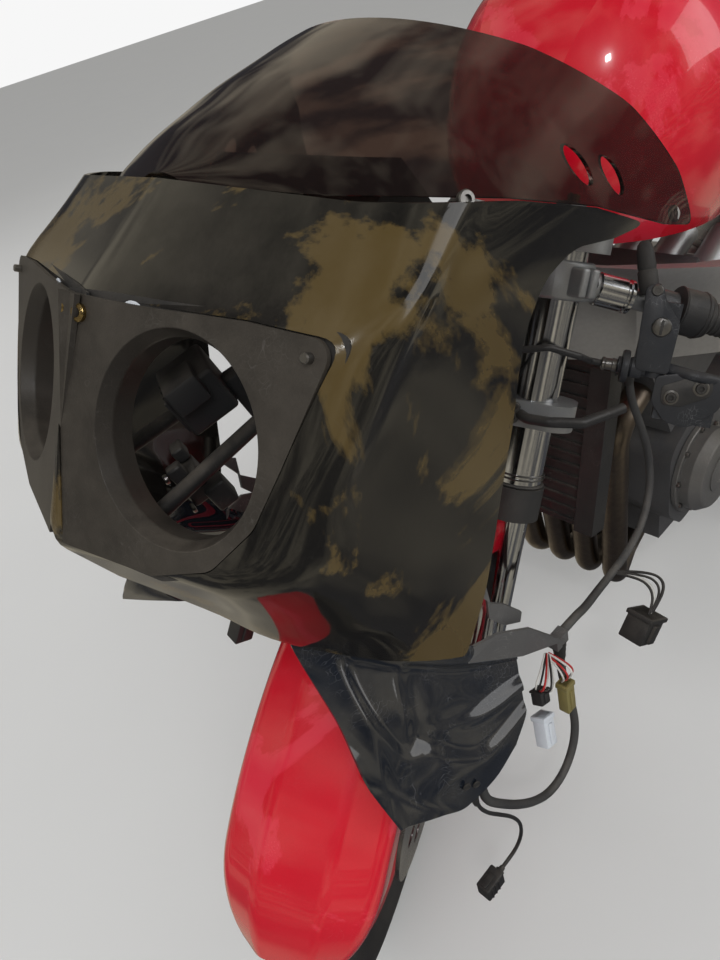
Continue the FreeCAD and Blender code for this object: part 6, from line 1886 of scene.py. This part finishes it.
@dataclass
class ForkTrim(Assembly):
    """Fork caps, damping screws, yoke bolts, bands, stem nut and ignition lock."""

    body = Body.STEERING
    bands: tuple = ((0.3775, 0.029, 0.003), (0.386, 0.0282, 0.0016), (0.3905, 0.0282, 0.0016),
                    (0.3395, 0.0295, 0.004))
    fork_cap_rings: tuple = ((0.016, -0.002), (0.0175, 0), (0.0175, 0.0055), (0.0165, 0.0068))
    damping_screw_rings: tuple = ((0.0062, 0), (0.0068, 0.0006), (0.0068, 0.0085), (0.0058, 0.0098),
                                  (0.0024, 0.0098), (0.0022, 0.008))
    stem_nut_rings: tuple = ((0.019, 0), (0.02, 0.001), (0.02, 0.01), (0.018, 0.0118), (0.012, 0.0118),
                             (0.0118, 0.006))
    ignition_lock_rings: tuple = ((0.02, 0), (0.021, 0.001), (0.021, 0.012), (0.019, 0.0145),
                                  (0.012, 0.015), (0.011, 0.013))

    def build(self) -> None:
        """Fit the trim of both legs and of the yokes."""
        rise = STEERING.way(0, 0, 1)
        ahead = STEERING.way(1, 0, 0)
        for side in Side:
            top = STEERING.at(0.042, 0.103 * side.value, 0.6642)
            self.turned("fork_cap_" + side.word, self.fork_cap_rings, "black_alloy", axes_of(rise, top), 6)
            self.turned("damping_screw_" + side.word, self.damping_screw_rings, "brass",
                        axes_of(rise, top + rise * 0.0062), 24)
            for number, height in enumerate((0.455, 0.466, 0.638)):
                self.screw(f"yoke_bolt_{side.word}_{number}",
                           STEERING.at(0.0735, 0.103 * side.value * (0.86 if number < 2 else 1), height),
                           ahead, 0.0058, "black_steel", 0.005)
            for number, (height, radius, thick) in enumerate(self.bands):
                self.turned(f"fork_band_{side.word}_{number}",
                            [(radius - 0.004, 0), (radius, 0), (radius + 0.001, thick * 0.5),
                             (radius, thick), (radius - 0.004, thick)], "plain_steel" if number in (1, 2)
                            else "black_rubber",
                            axes_of(rise, STEERING.at(0.042, 0.103 * side.value, height)), 48, closed=True)
        self.turned("stem_nut", self.stem_nut_rings, "plain_steel", axes_of(rise, STEERING.at(0, 0, 0.6482)),
                    6)
        self.turned("ignition_lock", self.ignition_lock_rings, "black_alloy",
                    axes_of(rise, STEERING.at(0.046, 0, 0.6482)), 40)
        self.block("ignition_slot", (0, 0, 0.0138), (0.0022, 0.0105, 0.001), "plain_steel",
                   axes_of(rise, STEERING.at(0.046, 0, 0.6482)), bevel=0.0002)


@dataclass
class NoseCavity(Assembly):
    """Brackets, relay block and dial cluster behind the lamp openings."""

    relay: tuple = (
        ("body", (0, 0, 0), (46, 58, 44), 0.004, 3), ("step", (4, 24, 18), (30, 34, 26), 0.003, 2),
        ("foot", (-2, -34, -10), (34, 26, 20), 0.002, 2), ("rib_0", (24, -18, -2), (4, 3, 34), 0.0008, 2),
        ("rib_1", (24, -6, -2), (4, 3, 34), 0.0008, 2), ("rib_2", (24, 6, -2), (4, 3, 34), 0.0008, 2),
        ("rib_3", (24, 18, -2), (4, 3, 34), 0.0008, 2), ("arm", (-30, 6, -34), (16, 20, 62), 0.003, 2))
    lugs: tuple = ((0, 0, 0, 22, 34, 30), (-14, 18, -14, 20, 20, 26), (10, -20, -16, 18, 16, 20),
                   (2, 16, 20, 14, 12, 24), (-6, -12, 24, 12, 18, 14))
    dial_boss_rings: tuple = ((0.0044, 0.001), (0.0046, 0.0046), (0.0036, 0.0056))

    def build(self) -> None:
        """Fit the pieces seen through the openings and the dials above them."""
        turn = Matrix.Rotation(math.radians(-24), 4, "Z") @ Matrix.Rotation(math.radians(18), 4, "Y")
        place = Matrix.Translation(mm(806, 6, 864)) @ turn
        for name, centre, size, bevel, segments in self.relay:
            self.block("relay_" + name, mm(*centre), tuple(mm(*size)), "black_plastic", place, bevel,
                       segments)
        low = Matrix.Translation(mm(842, 8, 792)) @ turn
        for number, (x, y, z, deep, wide, high) in enumerate(self.lugs):
            self.block(f"bracket_lug_{number}", mm(x, y, z), tuple(mm(deep, wide, high)), "black_steel", low,
                       bevel=0.0026, segments=3)
        for number, (y, z) in enumerate(((4, 2), (18, -12), (14, 24))):
            self.screw(f"bracket_screw_{number}", low @ mm(12, y, z), low.to_3x3() @ Vector((1, 0.1, 0.2)),
                       0.0046, "plain_steel", 0.003)
        self._dials()

    def _dials(self) -> None:
        """Three round dials with bezels, faces, marks, needles and bosses, facing the rider."""
        lean = Matrix.Rotation(math.radians(-58), 4, "Y")
        base = Matrix.Translation(mm(655, 0, 950)) @ lean
        for number, (y, z, radius) in enumerate(((62, 2, 34), (-20, 4, 38), (-86, -2, 26))):
            centre = base @ mm(-30, y, z)
            out = base.to_3x3() @ Vector((-1, 0, 0))
            place = axes_of(out, centre, base.to_3x3() @ Vector((0, 0, 1)))
            r = radius * MM
            self.turned(f"dial_bezel_{number}",
                        [(r, 0), (r, 0.009), (r - 0.0012, 0.0105), (r - 0.0034, 0.0105), (r - 0.004, 0.002),
                         (r - 0.004, 0)], "black_plastic", place, 56, closed=True)
            self.turned(f"dial_face_{number}",
                        [(r - 0.004, 0.0006), (r - 0.004, 0.0016), (r - 0.006, 0.0018)], "dial_face", place,
                        48)
            count = 13 if number < 2 else 7
            for mark in range(count):
                angle = math.radians(225 - 270 * mark / (count - 1))
                spin = place @ Matrix.Rotation(angle, 4, "Z")
                self.block(f"dial_mark_{number}_{mark}", (r - 0.009, 0, 0.0022), (0.005, 0.0011, 0.0007),
                           "wire_white", spin, bevel=0.0002)
            self.block(f"dial_needle_{number}", ((r - 0.014) / 2, 0, 0.0036), (r - 0.01, 0.0014, 0.001),
                       "wire_red", place @ Matrix.Rotation(math.radians(225), 4, "Z"), bevel=0.0003)
            self.turned(f"dial_boss_{number}", self.dial_boss_rings, "black_plastic", place, 24)


@dataclass
class SeatCushion(Assembly):
    """Foam seat under its stretched cover, with piping and a strap."""

    voxel: float = 0.006
    pressure: float = 3.6
    cap: float = 0.016
    stations: tuple = ((-120, 84, 838), (-200, 110, 822), (-320, 130, 820), (-400, 118, 838),
                       (-550, 104, 872),
                       (-700, 84, 884))

    def build(self) -> None:
        """Swell the foam, then sew on its piping and strap."""
        pad = self.copied(bpy.data.objects["seat"], Matrix())
        pad.name = "seat_cushion"
        middle = Vector((-0.41, 0, 0.8))
        for vertex in pad.data.vertices:
            shrunk = middle + (vertex.co - middle) * 0.985
            vertex.co = Vector((shrunk.x, shrunk.y, max(shrunk.z, vertex.co.z) if vertex.co.z < 0.8
                                else shrunk.z))
        self.modify(pad, "REMESH", mode="VOXEL", voxel_size=self.voxel)
        before = [vertex.co.copy() for vertex in pad.data.vertices]
        self._swell(pad)
        for vertex, start in zip(pad.data.vertices, before):
            move = vertex.co - start
            room = min(1.0, max(0.0, (start.z - 0.772) / 0.035))
            if move.length > self.cap:
                move *= self.cap / move.length
            vertex.co = start + move * room
        self.modify(pad, "SMOOTH", factor=0.6, iterations=6)
        self.modify(pad, "SUBSURF", levels=1)
        for vertex in pad.data.vertices:
            vertex.co.z -= self._channel(vertex.co)
        self.settle("seat_cushion", pad, "seat_vinyl", smooth=70)
        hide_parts("seat")
        self._piping(pad)

    @staticmethod
    def _channel(at: Vector) -> float:
        """Depth of the sewn channels across the seat at a place on its top.

        Args:
            at: The place.

        Returns:
            The depth in metres.
        """
        depth = 0.0
        for seam in (-0.29, -0.345, -0.4, -0.56, -0.612):
            depth += 0.0036 * math.exp(-((at.x - seam) / 0.0042) ** 2)
        top = min(1.0, max(0.0, (at.z - 0.802) / 0.012))
        inside = min(1.0, max(0.0, (0.094 - abs(at.y)) / 0.012))
        return depth * top * inside

    def _swell(self, pad: Piece) -> None:
        """Blow the foam up a little under its cover.

        Args:
            pad: The foam.
        """
        self._only(pad)
        cloth = pad.modifiers.new("foam", "CLOTH")
        cloth.settings.use_pressure = True
        cloth.settings.uniform_pressure_force = self.pressure
        cloth.settings.effector_weights.gravity = 0.0
        cloth.settings.quality = 4
        cloth.collision_settings.use_collision = False
        for frame in range(1, 13):
            bpy.context.scene.frame_set(frame)
        bpy.ops.object.modifier_apply(modifier=cloth.name)
        bpy.context.scene.frame_set(1)

    def _piping(self, pad: Piece) -> None:
        """Piping where the cover's top meets its sides, laid on the swollen foam.

        Args:
            pad: The swollen foam.
        """
        bpy.context.view_layer.update()
        for side in Side:
            points = []
            for step in range(15):
                x = -0.14 - 0.545 * step / 14
                half, top = along(self.stations, x * 1000)
                start = Vector((x, (half * 0.8) * side.value * MM, (top + 60) * MM))
                hit, place, normal, _ = pad.ray_cast(start, Vector((0, 0, -1)))
                if hit:
                    points.append(tuple(place + normal * 0.0004))
            self.tube("seat_piping_" + side.word, points, 0.0021, "black_rubber")
        strap = []
        for width in (-0.5, 0.5):
            line = []
            for step in range(33):
                y = -0.112 + 0.224 * step / 32
                start = Vector((-0.48 + 0.024 * width, y, 0.97))
                hit, place, normal, _ = pad.ray_cast(start, Vector((0, 0, -1)))
                if hit:
                    line.append(tuple(place + normal * 0.0012))
            strap.append(line)
        count = min(len(line) for line in strap)
        sheet = self.grid("seat_strap", [line[:count] for line in strap])
        self.facing(sheet, lambda at: Vector((0, 0, 1)))
        self.modify(sheet, "SOLIDIFY", thickness=0.0022, offset=1.0)
        self.settle("seat_strap", sheet, "black_plastic")


@dataclass
class Wheels(Assembly):
    """Painted shade of the tread grooves, valves, disc and sprocket bolts and axle nuts of both wheels."""

    rear_hub: Point = (-0.7175, 0.0, 0.33)
    lanes: tuple = ((0.1, 0.56, 0.05, 0.0026), (0.62, 0.86, -0.02, 0.0022))
    valve_rings: tuple = ((0.0058, 0), (0.0058, 0.005), (0.0036, 0.008), (0.0036, 0.026), (0.0046, 0.027),
                          (0.0046, 0.034), (0.0036, 0.036))
    front_axle_nut_rings: tuple = ((0.0115, 0), (0.0135, 0.001), (0.0135, 0.009), (0.012, 0.0105),
                                   (0.007, 0.0105), (0.0066, 0.004))
    rear_axle_nut_rings: tuple = ((0.015, 0), (0.0172, 0.001), (0.0172, 0.0105), (0.015, 0.012),
                                  (0.01, 0.012), (0.0095, 0.005))

    def build(self) -> None:
        """Dress the front wheel along the turned steering's axle and the rear along its own."""
        front = STEERING.matrix() @ Matrix.Translation((0.042, 0, 0))
        rear = Matrix.Translation(Vector(self.rear_hub))
        self._tread("front", front, Body.FRONT_WHEEL, 0.2999, 0.0555, 34)
        self._tread("rear", rear, Body.REAR_WHEEL, 0.3149, 0.0795, 34)
        self._bolts("front", front, Body.FRONT_WHEEL, (0.072, -0.072), 0.046, 6)
        self._bolts("rear", rear, Body.REAR_WHEEL, (-0.0972,), 0.04, 5)
        self._bolts("sprocket", rear, Body.REAR_WHEEL, (0.1018,), 0.05, 5)
        for name, place, body in (("front", front, Body.FRONT_WHEEL), ("rear", rear, Body.REAR_WHEEL)):
            spin = place @ Matrix.Rotation(math.radians(64), 4, "Y")
            foot = spin @ Vector((0.198, 0.006, 0))
            self.turned("valve_" + name, self.valve_rings, "black_rubber",
                        axes_of(spin.to_3x3() @ Vector((-0.92, 0.38, 0)), foot), 20, body=body)
        for side in Side:
            axis = front.to_3x3() @ Vector((0, side.value, 0))
            self.turned("front_axle_nut_" + side.word, self.front_axle_nut_rings, "plain_steel",
                        axes_of(axis, front @ Vector((0, 0.1296 * side.value, 0))), 6, body=Body.STEERING)
            self.turned("rear_axle_nut_" + side.word, self.rear_axle_nut_rings, "plain_steel",
                        axes_of(Vector((0, side.value, 0)),
                                Vector(self.rear_hub) + Vector((0, 0.1445 * side.value, 0))), 6)

    def _tread(self, name: str, place: Matrix, body: Body, radius: float, half: float, count: int) -> None:
        """Curved near-black strips laid in the tyre's crown as painted shade of the tread grooves, one
        groove copied round the wheel.

        Args:
            name: The wheel's name.
            place: Its hub and axes.
            body: The body it is.
            radius: Radius of the crown.
            half: Half the tyre's width.
            count: Copies of the groove round it.
        """
        strips = []
        for side in Side:
            turn = 0.09 if side is Side.RIGHT else 0.0
            for lane, (inner, outer, sweep, wide) in enumerate(self.lanes):
                rows = []
                for edge in (-1, 1):
                    line = []
                    for step in range(9):
                        share = inner + (outer - inner) * step / 8
                        across = half * share * side.value
                        drop = half * 0.8 * (1 - math.sqrt(max(0.0, 1 - (share * 0.94) ** 2)))
                        taper = wide * math.sin(math.pi * min(0.98, 0.1 + 0.86 * step / 8)) ** 0.6
                        angle = (sweep * (step / 8) ** 1.3 + edge * taper * 0.5) / radius + turn
                        reach = radius - drop - 0.0002
                        line.append((reach * math.cos(angle), across, reach * math.sin(angle)))
                    rows.append(line)
                strip = self.grid(f"groove_{name}_{side.word}_{lane}", rows)
                self.facing(strip, lambda at: Vector((1, 0, 0)))
                strips.append(strip)
        source = self.joined(strips, f"tread_{name}_0")
        copies = [source]
        for number in range(1, count):
            copies.append(self.copied(source, Matrix.Rotation(2 * math.pi * number / count, 4, "Y")))
        shade_strips = self.joined(copies, "tread_grooves_" + name)
        # Flat near-black strips on the crown: painted shade for the grooves, not recesses.
        self.settle("tread_grooves_" + name, shade_strips, "groove_black", place, body=body)

    def _bolts(self, name: str, place: Matrix, body: Body, faces: Sequence[float], ring: float,
               count: int) -> None:
        """Ring of bolts on a disc's or sprocket's face.

        Args:
            name: The ring's name.
            place: The wheel's hub and axes.
            body: The body it rides on.
            faces: Distance of each bolted face from the mirror plane.
            ring: Radius of the ring.
            count: Bolts on each face.
        """
        for row, face in enumerate(faces):
            out = place.to_3x3() @ Vector((0, 1 if face > 0 else -1, 0))
            for number in range(count):
                angle = 2 * math.pi * (number + 0.5) / count
                foot = place @ Vector((ring * math.cos(angle), face, ring * math.sin(angle)))
                self.screw(f"{name}_bolt_{row}_{number}", foot, out, 0.0062, "plain_steel", 0.0045,
                           body=body)


@dataclass
class ChainLinks(Assembly):
    """Outer plates of the drive chain, set along its run."""

    small: Flat = (-0.084, 0.405)
    large: Flat = (-0.7175, 0.33)
    sprocket: float = 0.096
    line: float = 0.098
    pitch: float = 0.0158
    link_plate_corners: tuple = ((-6.9, 3.9, 3.8), (6.9, 3.9, 3.8), (6.9, -3.9, 3.8), (-6.9, -3.9, 3.8))

    def build(self) -> None:
        """Set plates on both faces of the chain, riding on the chassis with it."""
        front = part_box("drive_chain")[1][0]
        path = self._path(front - self.small[0] - 0.0055, self.sprocket + 0.0057)
        plates = []
        outward = (self.line + 0.007, self.line - 0.007)
        link = self.plate("link_plate", self.link_plate_corners, -0.2, 1.3, "plain_steel", Matrix(),
                          bevel=0.0003)
        for number, (x, z, angle) in enumerate(path):
            for face, sign in zip(outward, (1, -1)):
                upright = Matrix(((1, 0, 0, 0), (0, 0, sign, 0), (0, -sign, 0, 0), (0, 0, 0, 1)))
                spin = Matrix.Translation((x, face, z)) @ Matrix.Rotation(-angle, 4, "Y") @ upright
                plates.append(self.copied(link, spin))
        bpy.data.objects.remove(link, do_unlink=True)
        self.settle("chain_plates", self.joined(plates, "chain_plates"), "plain_steel")
        LOG.info("chain with %d links", len(path))

    def _path(self, small: float, large: float) -> list[tuple[float, float, float]]:
        """Places and directions of the links round both sprockets.

        Args:
            small: Radius of the run round the front sprocket.
            large: Radius of the run round the rear sprocket.

        Returns:
            Each link's x, z and direction.
        """
        a, b = Vector(self.small), Vector(self.large)
        span = b - a
        tilt = math.asin((large - small) / span.length)
        base = math.atan2(span.y, span.x)
        upper, lower = base - math.pi / 2 - tilt, base + math.pi / 2 + tilt
        straight = span.length * math.cos(tilt)
        around_large = large * (2 * math.pi - (lower - upper)) if lower > upper else large * math.pi
        around_small = small * (lower - upper)
        whole = 2 * straight + around_large + around_small
        count = int(whole / self.pitch)
        found = []
        for number in range(count):
            gone = whole * number / count
            if gone < straight:
                start = a + Vector((math.cos(upper), math.sin(upper))) * small
                end = b + Vector((math.cos(upper), math.sin(upper))) * large
                at, way = start.lerp(end, gone / straight), (end - start)
            elif gone < straight + around_large:
                angle = upper + (gone - straight) / large
                at = b + Vector((math.cos(angle), math.sin(angle))) * large
                way = Vector((-math.sin(angle), math.cos(angle)))
            elif gone < 2 * straight + around_large:
                start = b + Vector((math.cos(lower), math.sin(lower))) * large
                end = a + Vector((math.cos(lower), math.sin(lower))) * small
                at, way = start.lerp(end, (gone - straight - around_large) / straight), (end - start)
            else:
                angle = lower + (gone - 2 * straight - around_large) / small
                at = a + Vector((math.cos(angle), math.sin(angle))) * small
                way = Vector((-math.sin(angle), math.cos(angle)))
            found.append((at.x, at.y, math.atan2(way.y, way.x)))
        return found


@dataclass
class EngineTrim(Assembly):
    """Cover rims and screws, flange nuts, silencer bands and rivets, and frame bolts."""

    covers: tuple = (("clutch", -1, 30, 352, 84, 42), ("timing", -1, 142, 350, 44, 30),
                     ("generator", 1, 112, 350, 68, 40))
    silencer_band_rings: tuple = ((0.0548, 0), (0.0572, 0), (0.0578, 0.002), (0.0578, 0.014),
                                  (0.0572, 0.016), (0.0548, 0.016))

    def build(self) -> None:
        """Fit the trim of the covers, the head, the exhaust and the frame."""
        for name, side, x, z, radius, depth in self.covers:
            out = Vector((0, side, 0))
            foot = mm(x, side * 120.3, z)
            place = axes_of(out, foot)
            r, d = radius * MM, depth * MM
            self.turned(f"{name}_rim",
                        [(r - 0.001, 0), (r + 0.007, 0), (r + 0.0078, 0.001), (r + 0.0078, 0.007),
                         (r + 0.0066, 0.0084), (r - 0.001, 0.0084)], "cover_grey", place, 64, closed=True)
            count = 9 if radius > 60 else 6
            for number in range(count):
                angle = 2 * math.pi * number / count
                at = place @ Vector(((r + 0.003) * math.cos(angle), (r + 0.003) * math.sin(angle), 0.008))
                self.screw(f"{name}_screw_{number}", at, out, 0.0046, "plain_steel", 0.0044)
            self.turned(f"{name}_boss",
                        [(r * 0.46, 0), (r * 0.46, 0.0022), (r * 0.42, 0.0034), (r * 0.22, 0.0034),
                         (r * 0.2, 0.0018)], "cover_grey", axes_of(out, foot + out * (d - 0.0002)), 48)
        for number in range(4):
            y = (-93 + 62 * number)
            at = mm(232, y, 604)
            out = Vector((0.8, 0, -0.6))
            for sign in (-1, 1):
                self.screw(f"flange_nut_{number}_{sign}", at + mm(8, 24 * sign, -6), out, 0.0062, "brass",
                           0.008)
        start = mm(-440, -204, 350)
        aim = Vector((-420, -14, 92)).normalized()
        for number, distance in enumerate((0.08, 0.386)):
            self.turned(f"silencer_band_{number}", self.silencer_band_rings, "plain_steel",
                        axes_of(aim, start + aim * distance), 64, closed=True)
        for number in range(6):
            angle = math.pi * number / 3
            place = axes_of(aim, start + aim * 0.396)
            at = place @ Vector((0.0572 * math.cos(angle), 0.0572 * math.sin(angle), 0))
            self.screw(f"silencer_rivet_{number}", at,
                       place.to_3x3() @ Vector((math.cos(angle), math.sin(angle), 0)), 0.0032, "plain_steel",
                       0.0012, 0.3)
        for side in Side:
            for number, (x, z,
                         radius) in enumerate(((-190, 420, 0.0125), (-20, 560, 0.008), (120, 610, 0.008))):
                probe = Vector((x * MM, 0.32 * side.value, z * MM))
                hit = self._surface("frame", probe, Vector((0, -side.value, 0)))
                if hit is not None:
                    self.turned(f"frame_bolt_{side.word}_{number}",
                                [(radius, -0.0008), (radius, 0.006), (radius * 0.9, 0.0072),
                                 (radius * 0.5, 0.0072), (radius * 0.45, 0.003)], "plain_steel",
                                axes_of(Vector((0, side.value, 0)), hit), 6)

    @staticmethod
    def _surface(node: str, start: Vector, heading: Vector) -> Vector | None:
        """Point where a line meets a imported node.

        Args:
            node: The node's name.
            start: The line's start.
            heading: Its way.

        Returns:
            The point, or None where the line misses.
        """
        hit, place, _, _ = bpy.data.objects[node].ray_cast(start, heading)
        return place.copy() if hit else None


@dataclass
class TankAndTail(Assembly):
    """Filler cap's ring, lock and screws, and the tail's lamp ribs, bezels and screws."""

    cap_ring_rings: tuple = ((0.0455, -0.004), (0.053, -0.004), (0.0538, 0.0006), (0.0526, 0.0022),
                             (0.0462, 0.0026), (0.0455, 0.001))
    cap_lock_rings: tuple = ((0.011, 0), (0.0118, 0.0008), (0.0118, 0.003), (0.0106, 0.0038),
                             (0.006, 0.0038), (0.0055, 0.0024))

    def build(self) -> None:
        """Fit the filler cap's detail, the lamp's lens and the tail's screws."""
        up = Vector((-0.09, 0, 1)).normalized()
        foot = Vector((0.17, 0, 1.0625))
        place = axes_of(up, foot)
        self.turned("cap_ring", self.cap_ring_rings, "cast_alloy", place, 72, closed=True)
        for number in range(7):
            angle = 2 * math.pi * number / 7
            at = place @ Vector((0.0494 * math.cos(angle), 0.0494 * math.sin(angle), 0.002))
            self.screw(f"cap_screw_{number}", at, up, 0.0034, "black_steel", 0.0016)
        lock = axes_of(up, Vector((0.17, 0, 1.0722)))
        self.turned("cap_lock", self.cap_lock_rings, "plain_steel", lock, 40)
        # A thin near-black block in the lock's key way: painted shade of the slot.
        self.block("cap_key_slot", (0, 0, 0.003), (0.008, 0.0016, 0.0014), "black_rubber", lock,
                   bevel=0.0002)
        for number in range(9):
            self.block(f"lamp_rib_{number}", mm(-1003.4, -36 + 9 * number, 846), tuple(mm(1.6, 2.2, 29)),
                       "lamp_red", bevel=0.0005)
        self.block("lamp_bezel_top", mm(-1000, 0, 864.4), tuple(mm(9, 92, 3)), "black_plastic", bevel=0.001)
        self.block("lamp_bezel_low", mm(-1000, 0, 827.6), tuple(mm(9, 92, 3)), "black_plastic", bevel=0.001)
        for side in Side:
            piece = bpy.data.objects["tail_cowl"]
            for number, (x, z) in enumerate(((-0.3, 0.752), (-0.62, 0.78), (-0.86, 0.838))):
                start = Vector((x, 0.3 * side.value, z))
                hit, at, normal, _ = piece.ray_cast(start, Vector((0, -side.value, 0)))
                if hit:
                    self.screw(f"tail_screw_{side.word}_{number}", at, normal, 0.0058, "black_steel", 0.0022)


def main() -> None:
    """Build the studio, the finishes and each sub-assembly, in order."""
    logging.basicConfig(level=logging.INFO, format="%(name)s: %(message)s")
    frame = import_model()
    Studio().build()
    finishes = FinishBook()
    finishes.dress_nodes(frame["nodes"])
    for kind in (LooseWiring, FairingCowl, Windscreen, DuctPanels, LampPanelTrim, HangingBranches,
                 FrontMudguard, HandControls, ForkTrim, NoseCavity, SeatCushion, Wheels, ChainLinks,
                 EngineTrim, TankAndTail):
        LOG.info("building %s", kind.__name__)
        kind(finishes).build()


if __name__ == "__main__":
    main()
